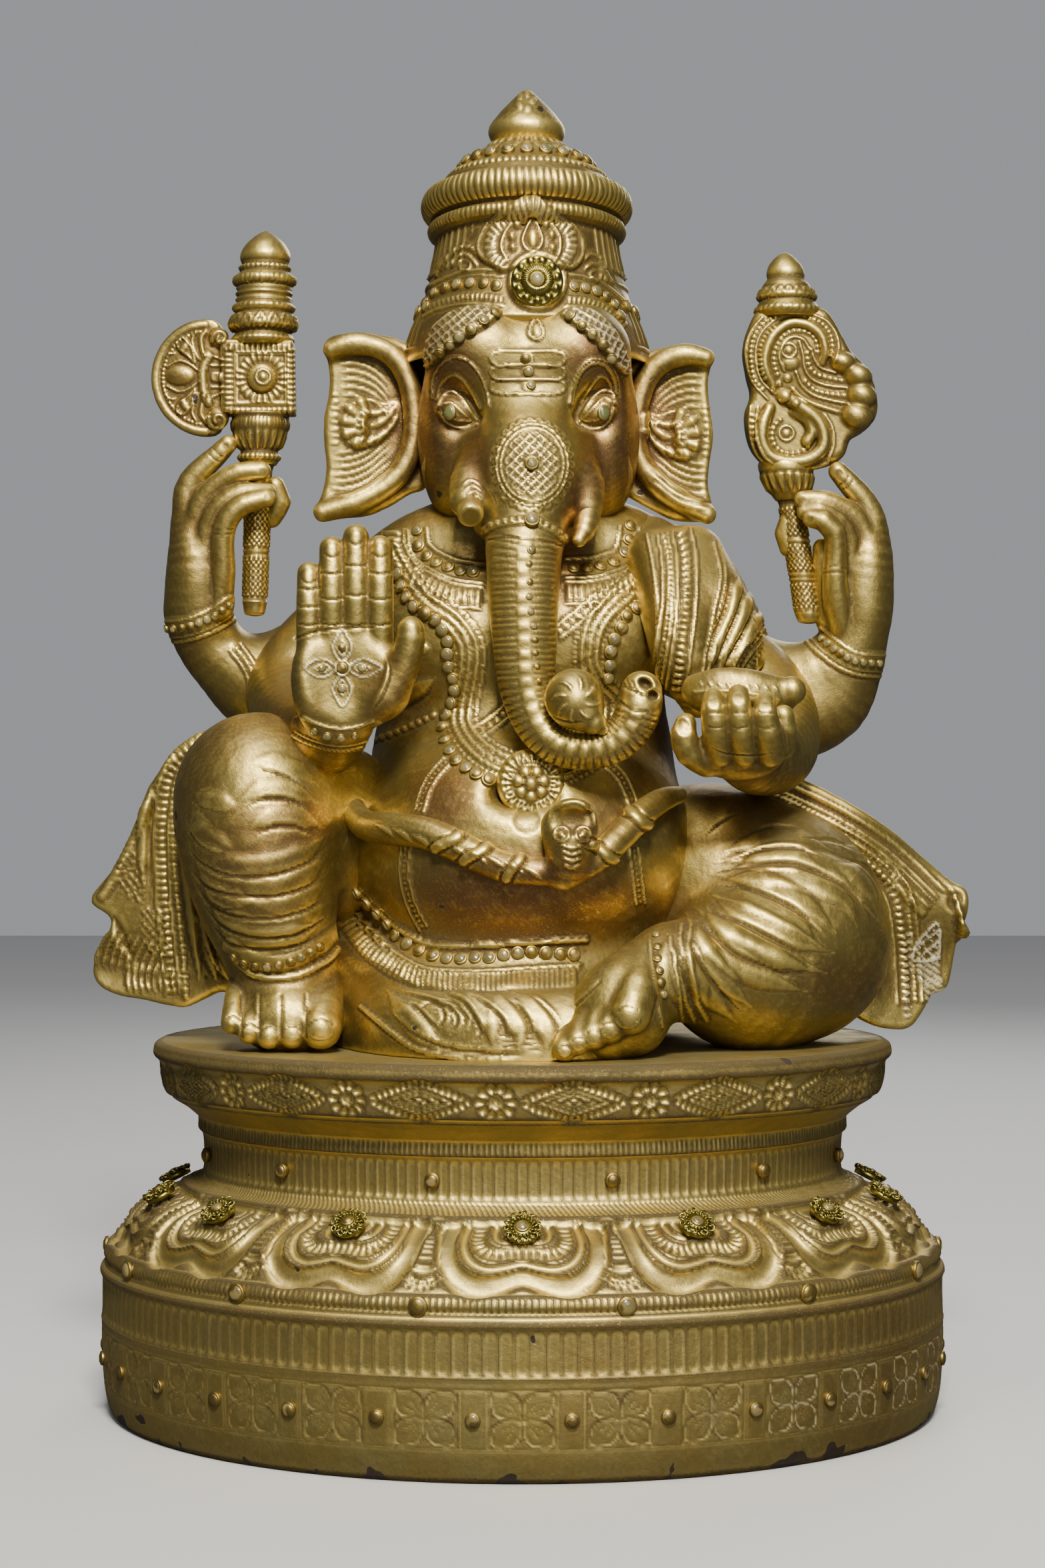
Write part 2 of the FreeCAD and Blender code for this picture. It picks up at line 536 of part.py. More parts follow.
# ---------------------------------------------------------------- build everything
def main():
    seat = pedestal_casting()
    save("pedestal_casting", seat)
    flowers, flower_stones = petal_flowers()
    save("petal_flower_caps", flowers)
    save("petal_flower_stones", flower_stones)
    save("neck_studs", stones_round(149.2, 119.0, 12, 3.6, 15.0, 2.4))
    save("rope_band_stones", stones_round(191.4, 74.0, PETALS, 4.2, 180.0 / PETALS))
    save("drum_studs", stones_round(194.2, 28.0, 30, 3.2, 6.0, 2.4))

    torso, cavity = torso_shape()
    right_leg = right_leg_shape()
    left_leg = left_leg_shape()
    head, head_cavity = head_shape()
    arms = {
        "rear_right_arm": arm_rear_right(), "rear_left_arm": arm_rear_left(),
        "front_right_arm": arm_front_right(), "front_left_arm": arm_front_left(),
    }
    crown, finial = crown_parts()
    axe_body, noose_body = axe(), noose()
    drape = shawl()
    broken, whole = tusks()
    flares = {"right_cloth_flare": right_flare(), "left_cloth_flare": left_flare()}
    ears = {"right_ear": ear(-1), "left_ear": ear(1)}

    save("torso_casting", torso.cut(cavity).cut(arm_rod(RIGHT_ROD)).cut(arm_rod(LEFT_ROD)))
    save("right_leg", right_leg.cut(torso))
    save("left_leg", left_leg.cut(torso))
    save("right_cloth_flare", flares["right_cloth_flare"].cut(joined(torso, right_leg, arms["front_right_arm"])))
    save("left_cloth_flare", flares["left_cloth_flare"].cut(joined(torso, left_leg, arms["front_left_arm"])))
    save("head_with_trunk", head.cut(head_cavity).cut(torso))
    save("crown_casting", crown.cut(head))
    save("crown_finial", finial)
    for name, body in ears.items():
        save(name, body.cut(joined(head, crown, drape)))
    save("broken_tusk", broken.cut(head))
    save("whole_tusk", whole.cut(head))
    rods = {"rear_right_arm_rod": arm_rod(RIGHT_ROD), "rear_left_arm_rod": arm_rod(LEFT_ROD)}
    for name, rod in rods.items():
        save(name, rod)
    for side, emblem in (("right", axe_body), ("left", noose_body)):
        front = arms["front_" + side + "_arm"]
        rear = arms["rear_" + side + "_arm"]
        save("rear_" + side + "_arm", rear.cut(joined(torso, emblem, front)).cut(rods["rear_" + side + "_arm_rod"]))
    for side, leg in (("right", right_leg), ("left", left_leg)):
        front = arms["front_" + side + "_arm"].cut(joined(torso, leg))
        save("front_" + side + "_arm", front.cut(rods["rear_" + side + "_arm_rod"]))
    save("axe", axe_body)
    save("noose", noose_body)
    save("shawl", drape.cut(joined(torso, arms["rear_left_arm"], arms["front_left_arm"], noose_body)))
    save("sweets_dish", sweets_dish().cut(arms["front_left_arm"]))
    save("modak", modak().cut(head))
    save("snake_belt", snake_belt().cut(joined(torso, right_leg, left_leg)))
    save("garland_medallion", garland_medallion().cut(torso))
    brooch_body, gem = brooch()
    save("crown_brooch", brooch_body)
    save("brooch_stone", gem)

    rim, band = crown_stones()
    save("crown_rim_stones", rim)
    save("crown_band_stones", band)
    save("brow_stones", brow_stones())
    collar, garland = chest_stones()
    save("collar_stones", collar)
    save("garland_stones", garland)
    save("belt_stones", belt_stones())
    save("palm_gems", palm_gems())
    save("trunk_stones", trunk_stones())
    save("forehead_stones", forehead_stones())
    save("eye_stones", eye_stones())
    save("bangle_stones", bangle_stones())
    save("anklet_stones", anklet_stones())


main()
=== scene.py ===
"""Looks of the Ganesha idol: a cast, gold-painted seated figure on an oval lotus pedestal.

Shapes are worked in millimetres in the row frame and turned into metres when a mesh is made.
Soft forms are modelled as clay (a distance field), meshed, then worked with relief drawn in a chart.
"""

import math

import bpy
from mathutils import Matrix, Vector
import numpy as np
import openvdb


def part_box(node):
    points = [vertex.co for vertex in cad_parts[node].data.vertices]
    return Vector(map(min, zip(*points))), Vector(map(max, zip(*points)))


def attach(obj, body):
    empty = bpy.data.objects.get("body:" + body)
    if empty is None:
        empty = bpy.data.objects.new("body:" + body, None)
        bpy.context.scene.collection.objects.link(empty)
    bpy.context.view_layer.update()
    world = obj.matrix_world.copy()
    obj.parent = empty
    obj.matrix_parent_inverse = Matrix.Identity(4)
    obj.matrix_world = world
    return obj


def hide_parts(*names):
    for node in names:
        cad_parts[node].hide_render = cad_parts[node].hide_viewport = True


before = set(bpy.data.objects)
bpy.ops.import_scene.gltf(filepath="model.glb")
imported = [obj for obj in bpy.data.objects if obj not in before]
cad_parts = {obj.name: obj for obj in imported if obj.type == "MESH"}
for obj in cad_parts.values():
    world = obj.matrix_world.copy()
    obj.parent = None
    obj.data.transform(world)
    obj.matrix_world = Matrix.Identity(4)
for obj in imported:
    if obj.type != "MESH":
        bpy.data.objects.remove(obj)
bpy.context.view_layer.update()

MM = 0.001
COARSE = 1.0
FAR = 60.0                      # clay outside everything, mm
SPOT_REACH = 1.6 * COARSE       # how far round a stone its seat is looked for, mm
SEAT_DEPTH = 3.0                # depth of skin that counts as front-most, mm

# the viewpoint: level, straight in front of the figure
EYE_Y = -1300.0
EYE_Z = 288.0
LENS = 64.07
SENSOR = 36.0

# driving sizes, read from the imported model
PEDESTAL_HIGH = np.array(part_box("pedestal_casting")[1]) / MM
SEAT_Z = PEDESTAL_HIGH[2]
DRUM_HALF = PEDESTAL_HIGH[0]
DEPTH_LOSS = PEDESTAL_HIGH[0] - PEDESTAL_HIGH[1]    # half depth is this much less than half width
PETALS = 14


# ---------------------------------------------------------------- small maths
def vec(*values):
    return np.array(values, float)


def smooth(low, high, x):
    """0 below low, 1 above high, with an easy slope between."""
    t = np.clip((x - low) / (high - low), 0.0, 1.0)
    return t * t * (3.0 - 2.0 * t)


def curve(points, step=1.5, closed=False):
    """A smooth line through points (any dimension), sampled about every step."""
    p = np.array(points, float)
    if len(p) == 2 and not closed:
        n = max(2, int(np.linalg.norm(p[1] - p[0]) / step) + 1)
        return p[0] + (p[1] - p[0]) * np.linspace(0, 1, n)[:, None]
    ends = (p[-1:], p[:2]) if closed else (2 * p[:1] - p[1:2], 2 * p[-1:] - p[-2:-1])
    q = np.concatenate([ends[0], p, ends[1]])
    made = []
    for a, b, c, d in zip(q, q[1:], q[2:], q[3:]):
        n = max(1, int(np.linalg.norm((c - b)[:3]) / step))
        t = (np.arange(n) / n)[:, None]
        made.append(0.5 * (2 * b + (c - a) * t + (2 * a - 5 * b + 4 * c - d) * t ** 2
                           + (3 * b - a - 3 * c + d) * t ** 3))
    if not closed:
        made.append(p[-1:])
    return np.concatenate(made)


def arc(cx, cz, rx, rz, start, end, count=12):
    """Points of an elliptic arc, angles in degrees from +x towards +z."""
    a = np.radians(np.linspace(start, end, count))
    return [(cx + rx * math.cos(t), cz + rz * math.sin(t)) for t in a]


def hoop(cx, cz, rx, rz, count):
    """Points of a whole ellipse, the last not repeating the first."""
    return arc(cx, cz, rx, rz, 0, 360, count)[:-1]


def spiral(cx, cz, r0, r1, start, sweep):
    """Points of a spiral winding from radius r0 to r1."""
    t = np.linspace(0, 1, 24)
    a = np.radians(start + sweep * t)
    r = r0 + (r1 - r0) * t
    return [(cx + q * math.cos(w), cz + q * math.sin(w)) for q, w in zip(r, a)]


def front_chart(p):
    """Where points appear on the plane y = 0 from the front viewpoint."""
    k = -EYE_Y / (p[:, 1] - EYE_Y)
    return p[:, 0] * k, EYE_Z + (p[:, 2] - EYE_Z) * k


# ---------------------------------------------------------------- clay
class Clay:
    """A block of clay: a distance field on a grid, negative inside."""

    def __init__(self, low, high, grain):
        self.h = grain * COARSE
        self.low = np.array(low, float)
        size = np.ceil((np.array(high, float) - self.low) / self.h).astype(int) + 1
        self.axes = [self.low[i] + self.h * np.arange(size[i]) for i in range(3)]
        self.d = np.full(size, FAR, np.float32)

    def window(self, low, high):
        """The cells between two corners: their slices and their x, y and z."""
        shape = np.array(self.d.shape)
        a = np.clip(np.floor((np.array(low) - self.low) / self.h).astype(int), 0, shape - 1)
        b = np.clip(np.ceil((np.array(high) - self.low) / self.h).astype(int) + 1, 1, shape)
        cut = tuple(slice(i, max(i + 1, j)) for i, j in zip(a, b))
        x, y, z = (ax[c].astype(np.float32) for ax, c in zip(self.axes, cut))
        return cut, x[:, None, None], y[None, :, None], z[None, None, :]

    def merge(self, cut, new, k, carve=False):
        """Adds a form to the clay, or cuts it away, with a seam rounded over about k mm."""
        old = self.d[cut]
        if carve:
            mix = np.clip(0.5 - 0.5 * (old + new) / k, 0, 1)
            self.d[cut] = old + (-new - old) * mix + k * mix * (1 - mix)
        else:
            mix = np.clip(0.5 + 0.5 * (old - new) / k, 0, 1)
            self.d[cut] = old + (new - old) * mix - k * mix * (1 - mix)

    def egg(self, centre, radii, k, turn=None, carve=False):
        """An ellipsoid; turn is (axis letter, degrees)."""
        c, r = np.array(centre, float), np.array(radii, float)
        reach = (max(r) if turn else r) + k + 2 * self.h
        cut, x, y, z = self.window(c - reach, c + reach)
        x, y, z = x - c[0], y - c[1], z - c[2]
        if turn:
            a = math.radians(-turn[1])
            ca, sa = math.cos(a), math.sin(a)
            if turn[0] == "x":
                y, z = y * ca - z * sa, y * sa + z * ca
            elif turn[0] == "y":
                x, z = x * ca + z * sa, -x * sa + z * ca
            else:
                x, y = x * ca - y * sa, x * sa + y * ca
        k0 = np.sqrt((x / r[0]) ** 2 + (y / r[1]) ** 2 + (z / r[2]) ** 2) + 1e-6
        k1 = np.sqrt((x / r[0] ** 2) ** 2 + (y / r[1] ** 2) ** 2 + (z / r[2] ** 2) ** 2) + 1e-6
        self.merge(cut, k0 * (k0 - 1) / k1, k, carve)

    def tube(self, points, radii, k, squash=(1, 1, 1), step=4.0):
        """A limb along points with a radius at each; squash narrows it along an axis."""
        line = curve(np.column_stack([np.array(points, float), radii]), step)
        s = np.array(squash, float)
        reach = line[:, 3:].max() / s.min() + k + 2 * self.h
        cut, x, y, z = self.window(line[:, :3].min(0) - reach, line[:, :3].max(0) + reach)
        new = np.full(self.d[cut].shape, FAR, np.float32)
        for a, b in zip(line, line[1:]):
            ab = (b - a)[:3] * s
            near = max(a[3], b[3]) / s.min() + k + 2 * self.h
            low = (np.minimum(a, b)[:3] - near - self.low) / self.h
            high = (np.maximum(a, b)[:3] + near - self.low) / self.h
            w = []
            for i in range(3):
                i0 = int(np.clip(math.floor(low[i]) - cut[i].start, 0, new.shape[i] - 1))
                i1 = int(np.clip(math.ceil(high[i]) + 1 - cut[i].start, i0 + 1, new.shape[i]))
                w.append(slice(i0, i1))
            px = (x[w[0]] - a[0]) * s[0]
            py = (y[:, w[1]] - a[1]) * s[1]
            pz = (z[:, :, w[2]] - a[2]) * s[2]
            t = np.clip((px * ab[0] + py * ab[1] + pz * ab[2]) / max(ab @ ab, 1e-9), 0, 1)
            d = np.sqrt((px - t * ab[0]) ** 2 + (py - t * ab[1]) ** 2 + (pz - t * ab[2]) ** 2)
            d = d - (a[3] + (b[3] - a[3]) * t)
            w = tuple(w)
            new[w] = np.minimum(new[w], d)
        self.merge(cut, new, k)

    def plate(self, outline, middle, half, edge):
        """A slab with a smooth outline in (x, z); middle is its y, half its half thickness, and
        both are a number or a function of x and z."""
        line = curve(outline, 2.0, closed=True)
        low, high = line.min(0) - 8, line.max(0) + 8
        centre = middle if callable(middle) else (lambda x, z: middle + 0 * x + 0 * z)
        thick = half if callable(half) else (lambda x, z: half + 0 * x + 0 * z)
        cut, x, y, z = self.window((low[0], self.low[1], low[1]), (high[0], self.axes[1][-1], high[1]))
        gx, gz = np.meshgrid(x.ravel(), z.ravel(), indexing="ij")
        flat = outline_distance(line, gx.ravel(), gz.ravel()).reshape(gx.shape)
        wx = flat[:, None, :] + edge
        wy = np.abs(y - centre(gx, gz)[:, None, :]) - thick(gx, gz)[:, None, :] + edge
        outside = np.sqrt(np.maximum(wx, 0) ** 2 + np.maximum(wy, 0) ** 2)
        new = outside + np.minimum(np.maximum(wx, wy), 0) - edge
        self.merge(cut, new.astype(np.float32), 2.0)

    def below(self, level):
        """Trims everything under a level."""
        z = self.axes[2][None, None, :]
        self.d = np.maximum(self.d, (level - z).astype(np.float32))

    def surface(self):
        """The clay's skin as points and faces."""
        self.d[[0, -1], :, :] = FAR
        self.d[:, [0, -1], :] = FAR
        self.d[:, :, [0, -1]] = FAR
        grid = openvdb.FloatGrid(FAR)
        grid.copyFromArray(np.clip(self.d, -4 * self.h, 4 * self.h))
        grid.transform = openvdb.createLinearTransform(voxelSize=self.h)
        points, quads = grid.convertToQuads(isovalue=0.0)
        return points.astype(float) + self.low, quads.astype(int)


def outline_distance(line, x, z):
    """Signed distance of (x, z) places to a closed outline, negative inside."""
    best = np.full(x.shape, 1e9)
    inside = np.zeros(x.shape, bool)
    for (ax, az), (bx, bz) in zip(line, np.roll(line, -1, axis=0)):
        ex, ez = bx - ax, bz - az
        t = np.clip(((x - ax) * ex + (z - az) * ez) / max(ex * ex + ez * ez, 1e-9), 0, 1)
        best = np.minimum(best, (x - ax - t * ex) ** 2 + (z - az - t * ez) ** 2)
        if az != bz:
            inside ^= ((az > z) != (bz > z)) & (x < ex * (z - az) / ez + ax)
    return np.where(inside, -1.0, 1.0) * np.sqrt(best)


# ---------------------------------------------------------------- relief
class Relief:
    """Raised and sunk work on a skin, drawn in a chart (u, v) in millimetres."""

    def __init__(self, u, v, reach=None):
        self.u, self.v = u, v
        self.on = np.ones(len(u)) if reach is None else reach
        self.h = np.zeros(len(u))
        self.silver = np.zeros(len(u))
        self.order = np.argsort(u)
        self.sorted_u = u[self.order]

    def near(self, low, high):
        """The points inside a box of the chart."""
        a, b = np.searchsorted(self.sorted_u, [low[0], high[0]])
        i = self.order[a:b]
        return i[(self.v[i] > low[1]) & (self.v[i] < high[1])]

    def add(self, i, h, silver=0.0):
        """Raises points by h; silver above zero also paints them silver-white."""
        h = h * self.on[i]
        self.h[i] += h
        if silver:
            self.silver[i] = np.maximum(self.silver[i], silver * smooth(0.15, 0.5, np.abs(h)))

    def follow(self, path, reach, closed=False):
        """Points near a path: their indices, distance along it and signed offset to its left."""
        line = curve(path, 1.2, closed)
        if closed:
            line = np.concatenate([line, line[:1]])
        i = self.near(line.min(0) - reach, line.max(0) + reach)
        u, v = self.u[i], self.v[i]
        seg = np.diff(line, axis=0)
        size = np.linalg.norm(seg, axis=1)
        start = np.concatenate([[0], np.cumsum(size)])
        best = np.full(len(i), 1e9)
        s = np.zeros(len(i))
        side = np.zeros(len(i))
        for (a, e, n, s0) in zip(line, seg, size, start):
            if n < 1e-9:
                continue
            du, dv = u - a[0], v - a[1]
            t = np.clip((du * e[0] + dv * e[1]) / (n * n), 0, 1)
            d = (du - t * e[0]) ** 2 + (dv - t * e[1]) ** 2
            take = d < best
            best[take] = d[take]
            s[take] = s0 + t[take] * n
            side[take] = np.sign(e[0] * dv[take] - e[1] * du[take])
        d = np.sqrt(best)
        keep = d < reach
        return i[keep], s[keep], (d * side)[keep], start[-1]

    def bar(self, path, width, height, closed=False, taper=0.0, silver=0.0):
        """A round ridge, or a groove if height is negative."""
        i, s, t, total = self.follow(path, width / 2 + 0.3, closed)
        w = width / 2
        if taper:
            w = w * np.clip(np.minimum(s, total - s) / (taper * total), 0.12, 1)
        q = np.clip(1 - (t / w) ** 2, 0, 1)
        shape = np.sqrt(q) if height > 0 and width < 12 else q * q * (3 - 2 * q)
        fade = w / (width / 2) if taper else 1.0
        self.add(i, height * shape * fade, silver)

    def rails(self, path, apart, width, height):
        """Two ridges running beside a path, one on each side of it."""
        for shift in (apart, -apart):
            self.bar(offset(path, shift), width, height)

    def rope(self, path, width, height, pitch):
        """A twisted cord."""
        i, s, t, total = self.follow(path, width / 2 + 0.3)
        pitch = total / max(1, round(total / pitch))
        q = np.clip(1 - (2 * t / width) ** 2, 0, 1)
        strand = np.abs(np.sin(np.pi * (s / pitch + t / width)))
        self.add(i, height * np.sqrt(q) * (0.55 + 0.45 * np.sqrt(strand)))

    def beads(self, path, radius, pitch, height, closed=False):
        """A row of round beads."""
        i, s, t, total = self.follow(path, radius + 0.3, closed)
        count = max(1, round(total / pitch))
        pitch = total / count
        ds = (s / pitch - np.floor(s / pitch) - 0.5) * pitch
        q = np.clip(1 - (ds * ds + t * t) / radius ** 2, 0, 1)
        self.add(i, height * np.sqrt(q))

    def comb(self, path, near, far, pitch, height, duty, closed=False, silver=0.0):
        """Short strokes set side by side across a path, from offset near to far; duty is the share of
        the pitch that a stroke fills."""
        low, high = min(near, far), max(near, far)
        i, s, t, total = self.follow(path, max(abs(near), abs(far)) + 0.3, closed)
        pitch = total / max(1, round(total / pitch))
        phase = np.abs(s / pitch - np.floor(s / pitch) - 0.5) * 2
        q = np.clip(1 - (phase / (duty * 2)) ** 2, 0, 1)
        mid, half = (low + high) / 2, (high - low) / 2
        w = np.clip(1 - np.abs((t - mid) / half) ** 4, 0, 1)
        self.add(i, height * np.sqrt(q) * w, silver)

    def dome(self, u, v, radius, height, squash=1.0, turn=0.0, silver=0.0, flat=False):
        """A round or oval boss, or a dent if height is negative."""
        far = radius * max(1.0, squash)
        i = self.near((u - far, v - far), (u + far, v + far))
        a = math.radians(turn)
        du, dv = self.u[i] - u, self.v[i] - v
        x = du * math.cos(a) + dv * math.sin(a)
        y = (-du * math.sin(a) + dv * math.cos(a)) / squash
        q = np.clip(1 - (x * x + y * y) / radius ** 2, 0, 1)
        self.add(i, height * (smooth(0.0, 0.35, q) if flat else np.sqrt(q)), silver)

    def flower(self, u, v, inner, outer, count, height, turn=0.0):
        """A ring of round petals."""
        i = self.near((u - outer, v - outer), (u + outer, v + outer))
        du, dv = self.u[i] - u, self.v[i] - v
        r = np.hypot(du, dv)
        a = (np.arctan2(dv, du) - math.radians(turn)) * count / (2 * math.pi)
        off = np.abs(a - np.round(a)) * 2
        mid, half = (inner + outer) / 2, (outer - inner) / 2
        q = np.clip(1 - off ** 2 * 1.15 - np.abs((r - mid) / half) ** 2.6, 0, 1)
        self.add(i, height * np.sqrt(q))

    def hatch(self, outline, pitch, width, height, angles, silver=0.0):
        """Crossed lines inside an outline."""
        line = curve(outline, 1.2, closed=True)
        i = self.near(line.min(0), line.max(0))
        u, v = self.u[i], self.v[i]
        inside = smooth(0.0, 0.8, -outline_distance(line, u, v))
        best = np.zeros(len(i))
        for angle in angles:
            a = math.radians(angle)
            w = (u * math.sin(a) + v * math.cos(a)) / pitch
            off = np.abs(w - np.round(w)) * pitch
            best = np.maximum(best, np.clip(1 - (off / (width / 2)) ** 2, 0, 1))
        self.add(i, height * best * inside, silver)

    def fill(self, outline, height, soft=1.0):
        """Raises or sinks everything inside an outline, with an edge soft mm wide."""
        line = curve(outline, 1.2, closed=True)
        i = self.near(line.min(0) - 1, line.max(0) + 1)
        inside = smooth(-soft / 2, soft / 2, -outline_distance(line, self.u[i], self.v[i]))
        self.add(i, height * inside)


# ---------------------------------------------------------------- skins and meshes
def corner_sum(values, faces, size, shift):
    """Adds to every face corner's point the value at the corner shift places further round."""
    total = np.zeros((size, values.shape[1]))
    for k in range(faces.shape[1]):
        source = values[faces[:, (k + shift) % faces.shape[1]]]
        for j in range(values.shape[1]):
            total[:, j] += np.bincount(faces[:, k], weights=source[:, j], minlength=size)
    return total


def normals_of(p, faces):
    """Outward directions at the points."""
    across = np.cross(p[faces[:, 2]] - p[faces[:, 0]], p[faces[:, 3]] - p[faces[:, 1]])
    total = np.zeros_like(p)
    for k in range(4):
        for j in range(3):
            total[:, j] += np.bincount(faces[:, k], weights=across[:, j], minlength=len(p))
    return total / (np.linalg.norm(total, axis=1)[:, None] + 1e-12)


def settled(values, faces, rounds):
    """Values averaged with their neighbours, several times over."""
    count = corner_sum(np.ones((len(values), 1)), faces, len(values), 1) + 1e-9
    for _ in range(rounds):
        values = 0.5 * values + 0.5 * corner_sum(values, faces, len(values), 1) / count
    return values


def hollow_depth(p, faces):
    """How sunk (+) or proud (-) each point is against its surroundings, about -1 to 1."""
    n = normals_of(p, faces)
    fine = np.einsum("ij,ij->i", settled(p, faces, 3) - p, n)
    broad = np.einsum("ij,ij->i", settled(p, faces, 14) - p, n)
    return np.clip(fine * 4.2 + broad * 1.7, -1, 1)


class Skin:
    """A surface of quads, with caps (rings of points closed by one face)."""

    def __init__(self, points, faces, caps=()):
        self.p, self.faces, self.caps = points, faces, list(caps)
        self.silver = np.zeros(len(points))

    def front(self):
        """A chart from the front viewpoint, alive only on what faces it."""
        n = normals_of(self.p, self.faces)
        look = np.column_stack([self.p[:, 0], self.p[:, 1] - EYE_Y, self.p[:, 2] - EYE_Z])
        look /= np.linalg.norm(look, axis=1)[:, None]
        facing = -np.einsum("ij,ij->i", n, look)
        u, v = front_chart(self.p)
        return Relief(u, v, smooth(0.02, 0.25, facing))

    def spot(self, u, v):
        """The front-most point near (u, v) of the front chart, its outward direction, and whether
        one was found."""
        if not hasattr(self, "seen"):
            self.seen = np.column_stack(front_chart(self.p))
            self.out = normals_of(self.p, self.faces)
        near = np.hypot(self.seen[:, 0] - u, self.seen[:, 1] - v)
        close = np.flatnonzero((near < SPOT_REACH) & (self.out[:, 1] < -0.05))
        if not len(close):
            return vec(u, 0, v), vec(0, -1, 0), False
        front = close[self.p[close, 1] < self.p[close, 1].min() + SEAT_DEPTH]
        out = self.out[front].mean(0)
        return self.p[front].mean(0), out / np.linalg.norm(out), True

    def raise_by(self, *reliefs, grain=0.0, seed=1):
        """Moves the points outward by reliefs; grain adds the unevenness of a casting."""
        n = normals_of(self.p, self.faces)
        h = sum(r.h for r in reliefs)
        if grain:
            h = h + grain * wander(self.p, 2.2, seed) + 2 * grain * wander(self.p, 9.0, seed + 1)
        self.p = self.p + n * np.asarray(h)[:, None]
        for r in reliefs:
            self.silver = np.maximum(self.silver, r.silver)
        return self


def wander(p, size, seed):
    """Smooth unevenness of about the given size, -1 to 1, the same each run."""
    rng = np.random.default_rng(seed)
    total = np.zeros(len(p))
    for _ in range(5):
        k = rng.normal(size=3)
        k *= rng.uniform(0.7, 1.4) / np.linalg.norm(k) * 2 * math.pi / size
        total += np.sin(p @ k + rng.uniform(0, 6.28) + 1.5 * np.sin(p @ np.roll(k, 1) * 0.43))
    return total / 5


def joined(*skins):
    """Several skins as one."""
    start = np.cumsum([0] + [len(s.p) for s in skins])
    made = Skin(np.concatenate([s.p for s in skins]),
                np.concatenate([s.faces + n for s, n in zip(skins, start)]),
                [c + n for s, n in zip(skins, start) for c in s.caps])
    made.silver = np.concatenate([s.silver for s in skins])
    return made


def from_clay(clay):
    points, faces = clay.surface()
    return Skin(settled(points, faces, 1), faces)


def ring_skin(rings, count):
    """A closed skin through level or tilted rings, each an array of count points."""
    p = np.concatenate(rings)
    i = np.arange(len(rings) - 1)[:, None] * count
    j = np.arange(count)[None, :]
    k = (j + 1) % count
    faces = np.stack([i + j, i + k, i + count + k, i + count + j], axis=-1).reshape(-1, 4)
    first = np.arange(count)[::-1]
    last = np.arange(count) + (len(rings) - 1) * count
    return Skin(p, faces, [first, last])


def lathe(profile, count, foot, lean=(0.0, 0.0)):
    """A turned form from (radius, height) stations, top last; lean is its slant in x and y."""
    a = np.linspace(0, 2 * math.pi, count, endpoint=False)
    rings = []
    for r, z in profile:
        r = max(r, 0.02)
        rings.append(np.column_stack([foot[0] + lean[0] * z + r * np.sin(a),
                                      foot[1] + lean[1] * z - r * np.cos(a),
                                      np.full(count, foot[2] + z)]))
    return ring_skin(rings, count)


# where the gold is rubbed through to its copper-red undercoat, and painted shade, as under the belly and on
# the head's sides: (u, v) and size in the front chart, strength
COPPER_AND_SHADE_SPOTS = [(0, 234, 74, 30, 1.0), (-36, 282, 22, 20, 0.8), (38, 270, 22, 18, 0.6),
                (-108, 270, 26, 20, 0.8), (-118, 236, 30, 18, 0.45), (38, 436, 16, 30, 0.9),
                (20, 388, 9, 28, 0.8), (34, 488, 20, 18, 0.9), (-32, 482, 18, 18, 0.8),
                (112, 290, 22, 14, 0.5), (30, 540, 18, 14, 0.4), (-92, 306, 22, 12, 0.5),
                (70, 226, 16, 22, 0.45), (-160, 350, 16, 14, 0.4), (150, 196, 30, 14, 0.5),
                (-60, 330, 22, 24, 0.5), (46, 466, 16, 34, 0.95), (-42, 462, 14, 32, 0.85),
                (-22, 438, 9, 24, 0.8), (26, 412, 9, 32, 0.9), (-46, 462, 26, 50, 0.95),
                (52, 458, 26, 50, 0.95), (-122, 250, 34, 44, 0.6), (60, 300, 20, 30, 0.5)]


def copper_and_shade_share(p):
    """How much each point is painted reddish brown, 0 to 1: where the gold is rubbed through to its
    undercoat, and as painted shade.
    """
    u, v = front_chart(p)
    share = np.zeros(len(p))
    for cu, cv, ru, rv, most in COPPER_AND_SHADE_SPOTS:
        share = np.maximum(share, most * (1 - smooth(0.35, 1.1, np.hypot((u - cu) / ru, (v - cv) / rv))))
    return share * (p[:, 1] < 20)


def piece(name, skin, body, node, material):
    """Makes a Blender object from a skin, riding on a body and standing for a CAD node."""
    hollow = hollow_depth(skin.p, skin.faces)
    mesh = bpy.data.meshes.new(name)
    caps = [np.asarray(c) for c in skin.caps]
    loops = np.concatenate([skin.faces.ravel()] + caps)
    sizes = [4] * len(skin.faces) + [len(c) for c in caps]
    mesh.vertices.add(len(skin.p))
    mesh.vertices.foreach_set("co", (skin.p * MM).ravel())
    mesh.loops.add(len(loops))
    mesh.loops.foreach_set("vertex_index", loops)
    mesh.polygons.add(len(sizes))
    mesh.polygons.foreach_set("loop_start", np.concatenate([[0], np.cumsum(sizes)[:-1]]))
    mesh.polygons.foreach_set("use_smooth", np.ones(len(sizes), bool))
    for label, values in (("hollow", hollow), ("silver", skin.silver), ("copper_and_shade", copper_and_shade_share(skin.p))):
        mesh.attributes.new(label, "FLOAT", "POINT").data.foreach_set("value", values.astype(np.float32))
    mesh.update(calc_edges=True)
    mesh.materials.append(material)
    made = bpy.data.objects.new(name, mesh)
    bpy.context.scene.collection.objects.link(made)
    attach(made, body)
    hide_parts(node)


SKINS = {}                      # finished skins of the figure by piece name, for setting stones on


def gold_piece(name, skin, node):
    """A gold-painted piece of the figure."""
    SKINS[name] = skin
    piece(name, skin, "figure", node, GOLD)


def worked_piece(name, skin, relief, node, grain, seed):
    """A gold-painted piece with relief drawn on it from the front."""
    front = skin.front()
    relief(front)
    gold_piece(name, skin.raise_by(front, grain=grain, seed=seed), node)


